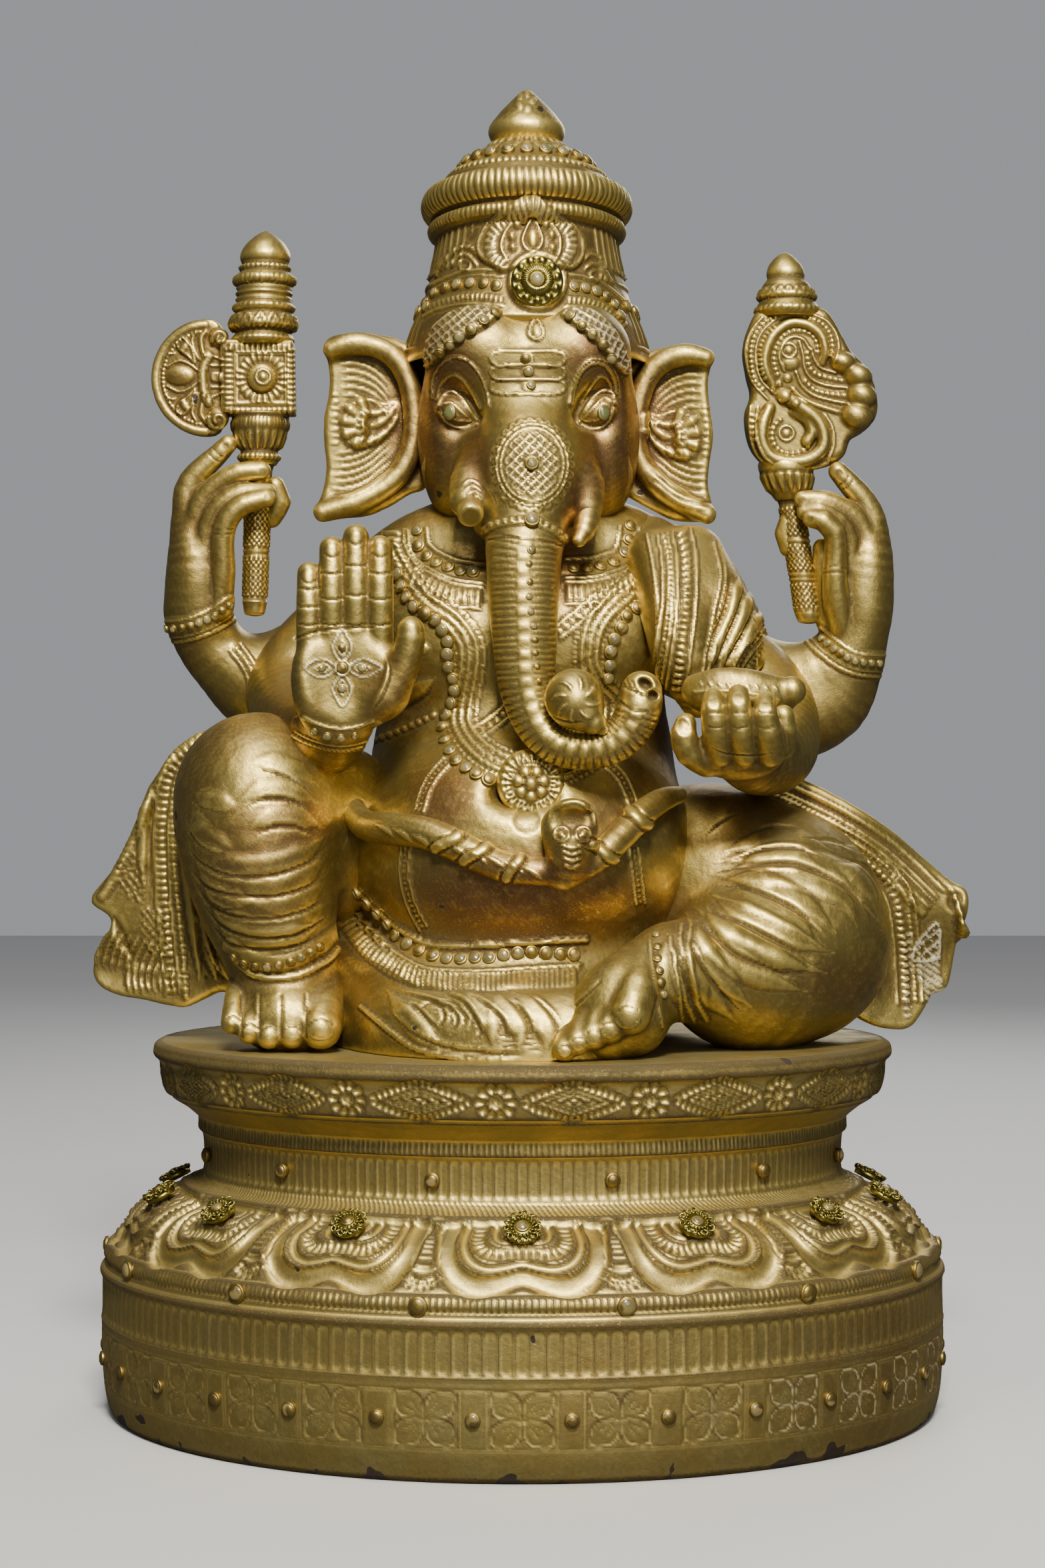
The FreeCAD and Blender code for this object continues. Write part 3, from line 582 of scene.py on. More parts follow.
def offset(path, distance):
    """A line running beside another, to its left."""
    line = curve(path, 2.0)
    way = np.gradient(line, axis=0)
    way /= np.linalg.norm(way, axis=1)[:, None] + 1e-9
    return line + distance * np.column_stack([-way[:, 1], way[:, 0]])


# ---------------------------------------------------------------- paint and other materials
def nodes_for(name):
    """A new material and its empty node tree."""
    material = bpy.data.materials.new(name)
    material.use_nodes = True
    tree = material.node_tree
    tree.nodes.clear()
    return material, tree


def add_node(tree, kind, **values):
    """A shader node; keywords set its properties, or its inputs by name (_ for space) or as i0, i1."""
    made = tree.nodes.new("ShaderNode" + kind)
    for key, value in values.items():
        if hasattr(made, key):
            setattr(made, key, value)
            continue
        numbered = key[0] == "i" and key[1:].isdigit()
        socket = made.inputs[int(key[1:]) if numbered else key.replace("_", " ")]
        if isinstance(value, bpy.types.NodeSocket):
            tree.links.new(value, socket)
        else:
            socket.default_value = value
    return made


def colour_ramp(tree, factor, *stops):
    """A factor turned into grey levels by stops of (place, level)."""
    made = tree.nodes.new("ShaderNodeValToRGB")
    ramp = made.color_ramp
    while len(ramp.elements) < len(stops):
        ramp.elements.new(0.5)
    for element, (place, level) in zip(ramp.elements, stops):
        element.position = place
        element.color = (level,) * 3 + (1,)
    tree.links.new(factor, made.inputs[0])
    return made.outputs[0]


def noise(tree, where, scale, detail=4.0, rough=0.55):
    """Smooth unevenness; scale is in waves per metre."""
    return add_node(tree, "TexNoise", Vector=where, Scale=scale, Detail=detail, Roughness=rough).outputs[0]


def mix(tree, factor, a, b):
    """Mixes two colours."""
    made = add_node(tree, "Mix", data_type="RGBA")
    for socket, value in ((made.inputs[0], factor), (made.inputs[6], a), (made.inputs[7], b)):
        if isinstance(value, bpy.types.NodeSocket):
            tree.links.new(value, socket)
        else:
            socket.default_value = (*value, 1) if isinstance(value, tuple) else value
    return made.outputs[2]


def maths(tree, how, a, b, clamp=False):
    """A sum done by the shader."""
    made = add_node(tree, "Math", operation=how, use_clamp=clamp)
    for socket, value in zip(made.inputs, (a, b)):
        if isinstance(value, bpy.types.NodeSocket):
            tree.links.new(value, socket)
        else:
            socket.default_value = value
    return made.outputs[0]


def times(tree, a, b, clamp=False):
    return maths(tree, "MULTIPLY", a, b, clamp)


def plus(tree, a, b, clamp=False):
    return maths(tree, "ADD", a, b, clamp)


def minus(tree, a, b, clamp=False):
    return maths(tree, "SUBTRACT", a, b, clamp)


def attribute(tree, name):
    """A value stored at the mesh's points."""
    return add_node(tree, "Attribute", attribute_name=name).outputs["Fac"]


def surface_shader(tree, base, metal, rough, height, strength, distance):
    """The finished surface, with fine unevenness shaded from height."""
    bump = add_node(tree, "Bump", Strength=strength, Distance=distance, Height=height)
    shader = add_node(tree, "BsdfPrincipled", Base_Color=base, Metallic=metal, Roughness=rough,
                      Normal=bump.outputs[0])
    tree.links.new(shader.outputs[0], add_node(tree, "OutputMaterial").inputs[0])
    return shader


SILVER_LINE = (0.56, 0.54, 0.42)
DUST = (0.20, 0.17, 0.11)
BROWN_RESIN = (0.028, 0.019, 0.011)
STONE_DIRT_AND_SHADE = (0.05, 0.035, 0.015)
GLASS_IOR = 1.52


def gold_paint(name, gold, bright, copper_and_shade, hollow_patina_and_shade, grime_and_shade, tarnish, foot=0.0, satin=0.34):
    """Antique gold paint: brown paint and painted shade in the hollows, rubbed bright on the edges with a
    painted highlight, reddish where rubbed through to the undercoat and where shade is painted, with dust,
    flakes and small chips; foot adds chips near the ground."""
    material, tree = nodes_for(name)
    where = add_node(tree, "TexCoord").outputs["Object"]
    hollow = attribute(tree, "hollow")
    silver = attribute(tree, "silver")
    broad = noise(tree, where, 9, 3)
    middle = noise(tree, where, 55, 5)
    fine = noise(tree, where, 420, 3)
    grain = noise(tree, where, 1900, 2)

    # copper-red where the gold is rubbed through, and painted shade under the belly and on the head's sides
    worn_and_shaded = attribute(tree, "copper_and_shade")
    worn_and_shaded = times(tree, worn_and_shaded, plus(tree, middle, 0.45), True)
    worn_and_shaded = maths(tree, "MAXIMUM", worn_and_shaded, times(tree, colour_ramp(tree, broad, (0.50, 0), (0.70, 1)), 0.5))
    base = mix(tree, worn_and_shaded, gold, copper_and_shade)
    base = mix(tree, colour_ramp(tree, middle, (0.35, 0), (0.75, 0.55)), base, tarnish)
    base = mix(tree, times(tree, fine, minus(tree, 0.24, times(tree, worn_and_shaded, 0.2))), base, bright)
    # hollows hold brown paint and painted shade, edges are rubbed bright and carry a painted highlight
    ragged = plus(tree, hollow, times(tree, minus(tree, middle, 0.5), 0.5))
    sunk = colour_ramp(tree, ragged, (0.08, 0), (0.80, hollow_patina_and_shade))
    proud = colour_ramp(tree, times(tree, ragged, -1.0), (0.12, 0), (0.9, 0.6))
    base = mix(tree, sunk, base, grime_and_shade)
    base = mix(tree, proud, base, bright)
    flake = add_node(tree, "TexVoronoi", Vector=where, Scale=2600)
    sparkle = colour_ramp(tree, flake.outputs["Color"], (0.80, 0), (0.97, 1))
    strewn = times(tree, sparkle, plus(tree, times(tree, worn_and_shaded, 0.3), 0.25))
    base = mix(tree, strewn, base, bright)
    # silver-white painted lines
    base = mix(tree, silver, base, SILVER_LINE)
    # grey dust where the surface looks up
    up = add_node(tree, "SeparateXYZ", i0=add_node(tree, "NewGeometry").outputs["Normal"]).outputs[2]
    dust = times(tree, colour_ramp(tree, up, (0.55, 0), (0.97, 0.5)), middle)
    base = mix(tree, dust, base, DUST)
    # chips down to the brown resin
    chip_noise = noise(tree, where, 75, 2, 0.4)
    if foot:
        level = add_node(tree, "SeparateXYZ", i0=where).outputs[2]
        near_foot = colour_ramp(tree, level, (0.0, foot), (0.016, 0))
        chip_noise = plus(tree, chip_noise, near_foot)
    chip = colour_ramp(tree, chip_noise, (0.765, 0), (0.775, 1))
    base = mix(tree, chip, base, BROWN_RESIN)

    metal = minus(tree, 0.95, times(tree, sunk, 0.3))
    metal = minus(tree, metal, times(tree, maths(tree, "MAXIMUM", silver, chip), 0.6), True)
    rough = plus(tree, satin, times(tree, middle, 0.16))
    rough = plus(tree, rough, times(tree, sunk, 0.3))
    rough = plus(tree, rough, times(tree, dust, 0.5))
    rough = minus(tree, rough, times(tree, sparkle, 0.16), True)
    height = plus(tree, times(tree, fine, 0.6), times(tree, grain, 0.35))
    height = minus(tree, height, times(tree, chip, 0.8))
    surface_shader(tree, base, metal, rough, height, 0.35, 0.0006)
    return material


def paste_glass(name, glass, other, rim, gilded, clear):
    """Glass stones in thin gold rims; a share (gilded) is painted over with gold."""
    material, tree = nodes_for(name)
    where = add_node(tree, "TexCoord").outputs["Object"]
    inner = attribute(tree, "silver")
    hollow = attribute(tree, "hollow")
    broad = noise(tree, where, 70, 2)
    middle = noise(tree, where, 260, 4)
    fine = noise(tree, where, 900, 3)
    tone = mix(tree, colour_ramp(tree, broad, (0.42, 0), (0.58, 1)), glass, other)
    painted = colour_ramp(tree, noise(tree, where, 95, 1), (gilded - 0.03, 0), (gilded + 0.03, 1))
    bare = times(tree, inner, painted)
    metal_tone = mix(tree, middle, rim, (rim[0] * 0.45, rim[1] * 0.42, rim[2] * 0.4))
    base = mix(tree, bare, metal_tone, tone)
    # dirt and painted shade in the hollows round each stone
    worn_and_shaded = colour_ramp(tree, plus(tree, hollow, times(tree, fine, 0.4)), (0.35, 0), (0.9, 0.8))
    base = mix(tree, worn_and_shaded, base, STONE_DIRT_AND_SHADE)
    metal = minus(tree, 0.95, bare, True)
    rough = plus(tree, times(tree, middle, 0.35), minus(tree, 0.26, times(tree, bare, 0.16)), True)
    shader = surface_shader(tree, base, metal, rough, fine, 0.3, 0.0004)
    shader.inputs["IOR"].default_value = GLASS_IOR
    tree.links.new(times(tree, bare, clear), shader.inputs["Transmission Weight"])
    tree.links.new(bare, shader.inputs["Coat Weight"])
    return material


def wire_metal(name, base_tone, dark, rough_low):
    """Bare metal: brass wire or steel rod, dulled in the hollows and darkened there with painted shade."""
    material, tree = nodes_for(name)
    where = add_node(tree, "TexCoord").outputs["Object"]
    hollow = attribute(tree, "hollow")
    middle = noise(tree, where, 180, 4)
    fine = noise(tree, where, 1200, 3)
    dull_and_shaded = colour_ramp(tree, plus(tree, hollow, times(tree, middle, 0.7)), (0.35, 0), (0.95, 0.85))
    base = mix(tree, dull_and_shaded, base_tone, dark)
    base = mix(tree, times(tree, fine, 0.3), base, tuple(min(1.0, c * 1.35) for c in base_tone))
    rough = plus(tree, rough_low, times(tree, dull_and_shaded, 0.4), True)
    surface_shader(tree, base, 1.0, rough, fine, 0.3, 0.0003)
    return material


GOLD = gold_paint("figure_gold_paint", (0.30, 0.216, 0.060), (0.92, 0.71, 0.20), (0.25, 0.104, 0.046), 0.84,
                  grime_and_shade=(0.060, 0.034, 0.012), tarnish=(0.165, 0.155, 0.066))
OLD_GOLD = gold_paint("pedestal_gold_paint", (0.34, 0.255, 0.080), (0.84, 0.65, 0.20),
                      (0.22, 0.120, 0.046), 0.82, grime_and_shade=(0.048, 0.030, 0.012), tarnish=(0.19, 0.19, 0.095),
                      foot=0.22, satin=0.40)
PASTE = paste_glass("paste_stone_glass", (0.24, 0.20, 0.085), (0.13, 0.11, 0.040), (0.44, 0.33, 0.10),
                    0.46, 0.1)
GILT_PASTE = paste_glass("gilded_paste_stone", (0.19, 0.15, 0.055), (0.11, 0.09, 0.032),
                         (0.46, 0.34, 0.10), 0.50, 0.0)
GOLD_STUD = paste_glass("gilded_stud", (0.20, 0.15, 0.055), (0.13, 0.095, 0.032), (0.38, 0.28, 0.09), 0.56,
                        0.0)
EYE_GLASS = paste_glass("eye_glass", (0.085, 0.10, 0.026), (0.13, 0.14, 0.045), (0.40, 0.30, 0.10), 0.20,
                        0.3)
BRASS = wire_metal("gilt_filigree_wire", (0.36, 0.30, 0.075), (0.06, 0.05, 0.014), 0.30)
OLD_BRASS = wire_metal("dull_filigree_wire", (0.27, 0.23, 0.060), (0.05, 0.045, 0.015), 0.38)
STEEL = wire_metal("rod_steel", (0.42, 0.42, 0.42), (0.14, 0.11, 0.09), 0.35)


# ---------------------------------------------------------------- pedestal
PETAL_CELL = 76.0               # width of a petal and a column
PETAL_STRETCH = 1.15            # the petals are drawn shorter than they lie
PETAL_ROOT_Z = 104.0            # height of the petals' roots
DRUM_ROUND = 1118.0             # way round the drum
DRUM_FLOWERS = 30
PLATE_ROUND = 962.0             # way round the top plate
PLATE_FLOWERS = 16
PEDESTAL_WALL = 7.0
UNSEEN = -1e3                   # a height no relief reaches
CENTRE_Z = 27.4                 # middle of the drum's flower cells


def drum_cells(t, count, pitch, offset=0.0):
    """Place across the nearest of count equal cells round the drum, in mm."""
    f = t / (2 * math.pi) * count - offset
    return (f - np.round(f)) * pitch


def pedestal_rings():
    """Rings (half width, half depth, height), outside then hollow, and how many line the hollow."""
    plate = DRUM_HALF - 27
    outer = [(plate, SEAT_Z), (DRUM_HALF - 24.5, SEAT_Z - 1.8), (DRUM_HALF - 24, SEAT_Z - 6),
             (DRUM_HALF - 26.5, 161), (plate, 155), (DRUM_HALF - 28.5, 148.5), (DRUM_HALF - 31, 145.5),
             (DRUM_HALF - 38, 141), (DRUM_HALF - 43.5, 136.5), (DRUM_HALF - 44.5, 135),
             (DRUM_HALF - 44.5, 129.5), (DRUM_HALF - 46.5, 127.5), (DRUM_HALF - 47, 112),
             (DRUM_HALF - 45, 108.5), (DRUM_HALF - 41, 106), (DRUM_HALF - 31, 103.2),
             (DRUM_HALF - 20, 98.5), (DRUM_HALF - 11.5, 91), (DRUM_HALF - 7.2, 83), (DRUM_HALF - 5.2, 77.6),
             (DRUM_HALF - 2.2, 76.2), (DRUM_HALF - 1.2, 73), (DRUM_HALF - 2.4, 70),
             (DRUM_HALF - 2.2, 68.8), (DRUM_HALF, 67), (DRUM_HALF + 0.3, 64.8), (DRUM_HALF - 0.6, 62.8),
             (DRUM_HALF - 0.5, 46), (DRUM_HALF - 0.4, 30), (DRUM_HALF - 1.5, 14), (DRUM_HALF - 3.5, 4),
             (DRUM_HALF - 5.4, 0.8), (DRUM_HALF - 6.5, 0.0)]
    fine = 0.9 * COARSE
    rings = [(r, r * (plate - DEPTH_LOSS) / plate, SEAT_Z) for r in np.linspace(0.02, plate - 2, 24)]
    line = curve([(a, a - DEPTH_LOSS, z) for a, z in outer], fine)
    size = np.concatenate([[0], np.cumsum(np.linalg.norm(np.diff(line[:, [0, 2]], axis=0), axis=1))])
    even = np.linspace(0, size[-1], int(size[-1] / fine))
    rings += [tuple(np.interp(e, size, line[:, j]) for j in range(3)) for e in even]
    ceiling = SEAT_Z - PEDESTAL_WALL
    inner = [(DRUM_HALF - 11.2, 0.0), (DRUM_HALF - 12, 2), (DRUM_HALF - 12, 60), (150, 96), (138, 108),
             (138, 140), (130, ceiling), (60, ceiling), (40, ceiling)]
    rings += [(a, a - DEPTH_LOSS, z) for a, z in inner]
    rings += [(r, r * 0.1, ceiling) for r in (20, 0.02)]
    return np.array(rings), len(inner) + 2


def pedestal_skin():
    rings, inside = pedestal_rings()
    count = int(1240 / COARSE)
    t = np.linspace(0, 2 * math.pi, count, endpoint=False)
    ovals = [np.column_stack([a * np.sin(t), -b * np.cos(t), np.full(count, z)]) for a, b, z in rings]
    skin = ring_skin(ovals, count)
    angle = np.tile(t, len(rings))
    size = np.concatenate([[0], np.cumsum(np.hypot(np.diff(rings[:, 0]), np.diff(rings[:, 2])))])
    outer = np.arange(len(rings)) < len(rings) - inside
    along = np.repeat(np.where(outer, size, UNSEEN), count)
    height = np.repeat(np.where(outer & (rings[:, 0] > 145), rings[:, 2], UNSEEN), count)
    root = np.interp(-PETAL_ROOT_Z, -rings[outer, 2], size[outer])
    reliefs = [petal_relief(angle, along - root), petal_relief_between(angle, along - root)]
    reliefs += drum_relief(angle, height) + neck_relief(angle, height) + plate_relief(angle, height)
    skin.raise_by(*reliefs, grain=0.05, seed=3)
    return skin


def petal_line(half, deep, notch):
    """A petal's outline from root to root, with a small notch in the middle of its lower edge."""
    side = [(half, 1), (1.02 * half, -0.34 * deep), (0.97 * half, -0.66 * deep), (0.8 * half, -0.9 * deep),
            (0.54 * half, -deep), (0.26 * half, -0.96 * deep)]
    return [(-x, z) for x, z in side] + [(0, notch - deep)] + side[::-1]


def petal_relief(angle, s):
    """One lotus petal, drawn root up: across in u, down the slope in v (negative)."""
    r = Relief(drum_cells(angle, PETALS, PETAL_CELL), -s / PETAL_STRETCH)
    r.fill(petal_line(34.2, 36.8, 4.4) + [(0, 3)], 3.4, soft=2.2)
    r.bar(petal_line(30.4, 32.0, 3.6), 7.0, 1.3)
    r.bar(petal_line(26.4, 27.4, 3.0), 1.5, -1.5)
    r.bar(petal_line(23.8, 24.6, 2.4), 3.4, 1.4)
    fringe = petal_line(18.4, 17.4, 0.8)
    r.bar(fringe, 7.4, 0.7)
    r.comb(fringe, -3.4, 3.4, 3.0, 1.5, duty=0.44)
    r.bar(petal_line(21.8, 21.2, 1.4), 0.9, -0.9)
    for k, h in ((0.62, 1.5), (0.36, 1.3)):
        r.bar([(x * k, z * k) for x, z in fringe], 2.8, h)
        r.bar([(x * (k + 0.13), z * (k + 0.13)) for x, z in fringe], 0.9, -0.9)
    return r


def petal_relief_between(angle, s):
    """The ribbed column and fan tuft between two petals."""
    r = Relief(drum_cells(angle, PETALS, PETAL_CELL, 0.5), -s / PETAL_STRETCH)
    r.fill([(-3.6, 2), (-4.2, -14), (-5.0, -26), (5.0, -26), (4.2, -14), (3.6, 2)], 1.2)
    r.comb([(0, 1), (0, -25)], -3.6, 3.6, 2.6, 0.9, duty=0.34)
    r.dome(0, -27, 6.5, 1.8, 0.55)
    for k in range(-3, 4):
        a = math.radians(k * 21)
        s, c = math.sin(a), math.cos(a)
        r.bar([(3.0 * s, -27 - 1.5 * c), (9.2 * s, -27 - 8.2 * c)], 2.9, 1.7, taper=0.3)
    return r


def drum_relief(angle, z):
    """Upright bars, a cord, cells with crossed petals, and lines round the drum."""
    pitch = DRUM_ROUND / DRUM_FLOWERS
    bars = Relief(drum_cells(angle, 186, 6.0), z)
    bars.fill([(-2.5, 47), (-2.7, 55), (-2.5, 62), (-1.4, 63.4), (1.4, 63.4), (2.5, 62), (2.7, 55),
               (2.5, 47), (1.4, 45.7), (-1.4, 45.7)], 0.55, soft=1.6)
    rope = Relief(drum_cells(angle, 430, 2.6), z)
    rope.fill([(-0.85, 69.8), (-0.85, 76.4), (0.85, 76.6), (0.85, 70.0)], 0.7, soft=0.8)
    cells = Relief(drum_cells(angle, DRUM_FLOWERS, pitch), z)
    for x in (-12.4, 12.4):
        cells.bar([(x, 15.4), (x, 39.2)], 0.9, 0.3)
    half_petal = [(0.30, 0.24), (0.58, 0.34), (0.84, 0.20)]
    for sx in (-1, 1):
        for sz in (-1, 1):
            petal = [(1.0 * sx, CENTRE_Z + 0.8 * sz)]
            petal += [(11.2 * sx * along - wide * 10.6 * sz,
                       CENTRE_Z + 10.6 * sz * along + wide * 11.2 * sx)
                      for along, wide in half_petal + [(1, 0)] + [(a, -w) for a, w in half_petal[::-1]]]
            cells.fill(petal, 0.35, soft=1.4)
            cells.bar(petal, 0.9, 0.4, closed=True, silver=0.45)
            for lean in (-0.16, 0.16):
                cells.bar([(1.5 * sx, CENTRE_Z + 1.3 * sz),
                           (8.2 * sx - lean * 10 * sz, CENTRE_Z + 7.2 * sz + lean * 10 * sx)], 0.7, 0.3,
                           taper=0.3)
    cells.dome(0, CENTRE_Z, 1.5, 0.6)
    # the painted outlines have only lasted on one side
    cells.silver *= smooth(0.32, 0.62, np.sin(angle)) + 0.12
    between = Relief(drum_cells(angle, DRUM_FLOWERS, pitch, 0.5), z)
    for x in (-5.0, 5.0):
        between.bar([(x, 15.8), (x, 38.8)], 0.9, 0.3)
    level = Relief(drum_cells(angle, 1, DRUM_ROUND), z)
    for low, depth, width in ((14.6, 0.3, 1.0), (39.6, 0.35, 1.0), (44.2, -0.4, 1.0), (77.2, -1.0, 1.6),
                              (69.3, -0.8, 1.4)):
        level.bar([(-DRUM_ROUND / 2, low), (0, low), (DRUM_ROUND / 2, low)], width, depth)
    return [bars, rope, cells, between, level]


def neck_relief(angle, z):
    """Bars round the neck, a row of thin ones over them and a cord at its foot."""
    bars = Relief(drum_cells(angle, 192, 4.7), z)
    bars.fill([(-1.9, 112), (-2.0, 120), (-1.9, 126), (-1.0, 127), (1.0, 127), (1.9, 126), (2.0, 120),
               (1.9, 112), (1.0, 111), (-1.0, 111)], 0.55, soft=1.2)
    thin = Relief(drum_cells(angle, 380, 2.4), z)
    thin.fill([(-0.75, 129.4), (-0.75, 135.4), (0.75, 135.4), (0.75, 129.4)], 0.55, soft=0.8)
    cord = Relief(drum_cells(angle + z * 0.006, 400, 2.35), z)
    cord.fill([(-0.8, 105.4), (-0.8, 109.6), (0.8, 109.6), (0.8, 105.4)], 0.8, soft=0.9)
    return [bars, thin, cord]


def plate_relief(angle, z):
    """Diamonds and ten-petalled flowers by turns round the plate's edge."""
    pitch = PLATE_ROUND / PLATE_FLOWERS
    diamonds = Relief(drum_cells(angle, PLATE_FLOWERS, pitch, 0.33), z)
    outline = [(-19, 154.5), (-9, 159.6), (0, 162.4), (9, 159.6), (19, 154.5), (9, 149.4), (0, 146.6),
               (-9, 149.4)]
    diamonds.comb(outline, -2.0, 1.6, 2.7, 1.4, closed=True, duty=0.42)
    for k, h in ((0.78, 1.1), (0.5, 1.2), (0.2, 1.4)):
        corners = [(-17 * k, 154.5), (0, 154.5 + 6.6 * k), (17 * k, 154.5), (0, 154.5 - 6.6 * k)]
        for a, b in zip(corners, corners[1:] + corners[:1]):
            diamonds.bar([a, b], 1.3, h)
    flowers = Relief(drum_cells(angle, PLATE_FLOWERS, pitch, 0.83), z)
    flowers.flower(0, 154.4, 3.4, 8.2, 10, 1.7)
    flowers.dome(0, 154.4, 3.3, 1.5, flat=True)
    flowers.dome(0, 154.4, 1.2, 0.8)
    level = Relief(drum_cells(angle, 1, PLATE_ROUND), z)
    level.bar([(-PLATE_ROUND / 2, 145.6), (0, 145.6), (PLATE_ROUND / 2, 145.6)], 1.6, 0.7)
    return [diamonds, flowers, level]


def make_pedestal():
    piece("lotus_pedestal", pedestal_skin(), "pedestal", "pedestal_casting", OLD_GOLD)


# ---------------------------------------------------------------- seated figure: body and legs
def at(u, v, y):
    """The real place of something seen at (u, v) in the front chart and lying at depth y."""
    k = (y - EYE_Y) / -EYE_Y
    return (u * k, y, EYE_Z + (v - EYE_Z) * k)


def seen_outline(points, y):
    """The real (x, z) outline of something flat seen at points and lying at depth y."""
    return [at(u, v, y)[::2] for u, v in points]


BELT = [(-81, 243), (-70, 231.5), (-60, 222.5), (-50, 215.5), (-40, 212.5), (-20, 212.5), (0, 214),
        (30, 215.5)]
BELT_STONES = [(-78, 236), (-72, 229.5), (-66, 224), (-60, 218.5), (-53, 213), (-46, 209.5), (-38, 207),
               (-30, 206.6), (-15, 207.2), (-5, 208.8), (5, 210), (14, 209), (24, 208.8)]
BELT_EDGE = [(-82, 234), (-72, 222), (-62, 211.5), (-52, 205), (-42, 201.6), (-20, 200.8), (0, 202),
             (27, 203.6)]
FRINGE = [(-83, 226), (-74, 213), (-63, 204), (-52, 198.6), (-42, 196.6), (-20, 195.6), (0, 196.6),
          (25, 197.4)]
ROPE_RIGHT = [(-62, 398), (-53, 382), (-45, 372), (-34, 365), (-27, 357), (-24.5, 349), (-25.5, 338),
              (-27.5, 328), (-28.5, 318), (-26, 311), (-20, 304), (-12, 299), (-4, 296)]
ROPE_LEFT = [(63, 398), (55, 384), (46, 376), (38, 368), (33, 360), (31, 350), (31.5, 342), (36, 334),
             (42, 326), (40, 312), (32, 302), (22, 296), (12, 293)]
GARLAND_RIGHT = [(-58, 386), (-55, 376), (-50, 370), (-43, 366), (-38, 361), (-35, 353), (-35, 345),
                 (-33, 338), (-32, 330), (-35, 322), (-37.5, 314), (-35, 306), (-31, 299), (-24, 294),
                 (-16, 290)]
GARLAND_LEFT = [(59, 386), (59, 377), (54, 371), (49, 367), (45.5, 360), (42, 353), (41, 345), (40, 337)]
COLLAR_RIGHT = [(-49, 407), (-48, 399), (-44, 394), (-38, 390.5), (-30, 387.5), (-18, 386)]
COLLAR_LEFT = [(50, 408), (49, 400), (46, 393.5), (40, 391), (32, 389), (20, 388.5)]


def torso_skin():
    clay = Clay((-122, -124, SEAT_Z - 4), (124, 104, 440), 1.1)
    clay.tube([(-72, 8, 368), (-40, 2, 386), (0, 2, 392), (42, 2, 388), (76, 8, 370)],
              [25, 31, 34, 31, 25], 8)
    clay.tube([(2, 0, 392), (2, -4, 434)], [36, 34], 10)
    clay.egg((1, -4, 346), (64, 50, 56), 16)
    clay.egg((-33, -30, 356), (32, 22, 28), 16)
    clay.egg((35, -30, 356), (32, 22, 28), 16)
    clay.egg((0, -20, 257), (79.5, 77, 66), 18)
    clay.egg((0, 14, 300), (70, 58, 60), 20)
    clay.egg((0, 16, 214), (104, 68, 50), 16)
    clay.egg((-6, -14, 204), (89, 72, 27), 14)
    clay.tube([(-66, -30, 182), (-44, -68, 178), (-12, -86, 177), (18, -88, 177)], [25, 26, 26, 25], 14)
    clay.tube([(-60, -46, 172), (-38, -82, 164), (-6, -96, 162), (16, -97, 162)], [16, 16, 16, 15], 12)
    clay.egg((0, -92, 284), (14, 18, 7), 8, carve=True)
    clay.below(SEAT_Z)
    return from_clay(clay)


def torso_relief(r):
    """Collar, garlands, thread, belt and apron, as seen from the front."""
    for path, side in ((ROPE_RIGHT, 1), (ROPE_LEFT, -1)):
        for shift, width in ((-3.6, 3.2), (-0.2, 3.6), (3.4, 3.2)):
            r.rope(offset(path, side * shift), width, 1.7, 2.0)
        r.beads(offset(path, side * 6.6), 1.0, 2.3, 0.9)
        r.beads(offset(path, -side * 6.4), 1.0, 2.6, 0.8)
    for path, side in ((COLLAR_RIGHT, -1), (COLLAR_LEFT, 1)):
        for shift in (4.6, 6.4):
            r.bar(offset(path, side * shift), 1.3, 1.0)
        r.comb(offset(path, side * 11.6), -4.2, 4.2, 3.0, 1.5, duty=0.42)
        r.bar(offset(path, side * 16.6), 1.1, 0.7)
        r.rope(offset(path, -side * 4.4), 1.8, 1.0, 1.8)
    r.bar(BELT, 2.4, 1.5)
    r.bar(offset(BELT, 1.8), 1.0, 0.6)
    r.rope(BELT_EDGE, 1.8, 1.2, 1.6)
    r.bar(offset(BELT_EDGE, -1.8), 1.0, 0.8)
    r.comb(FRINGE, -4.4, 4.6, 2.5, 1.9, duty=0.45)
    for k in range(6):
        u, v = FRINGE[0][0] + 3.5 * k + 2, FRINGE[0][1] - 3.6 * k + 3
        r.bar(spiral(u, v, 3.4, 1.0, -60, 300), 1.0, 0.9)
    # strings and bands over the belly
    for path in ([(-35, 299), (-42, 291), (-46, 283), (-48, 275)],
                 [(38, 299), (46, 291), (50, 283), (52, 277)],
                 [(-54, 259), (-55, 246), (-52, 233), (-46, 221)], [(52, 258), (53, 246), (55, 232)]):
        r.rails(path, 2.0, 1.4, 0.9)
        r.beads(path, 1.0, 2.6, 0.8)
    for path in ([(-20, 312), (-12, 318), (-4, 324)], [(16, 358), (26, 366), (36, 374)]):
        r.bar(offset(path, 2.8), 1.6, 1.0)
        r.beads(path, 1.6, 3.8, 1.0)
        r.bar(offset(path, -2.8), 1.6, 1.0)
    r.beads([(-74, 308), (-62, 311), (-48, 317), (-40, 321)], 1.7, 3.8, 1.2)
    r.bar([(-64, 324), (-52, 330), (-40, 338)], 8, 1.6, taper=0.3)
    r.dome(-46, 351, 2.6, 1.2)
    r.dome(2, 271, 6.5, -1.2)
    apron_relief(r)


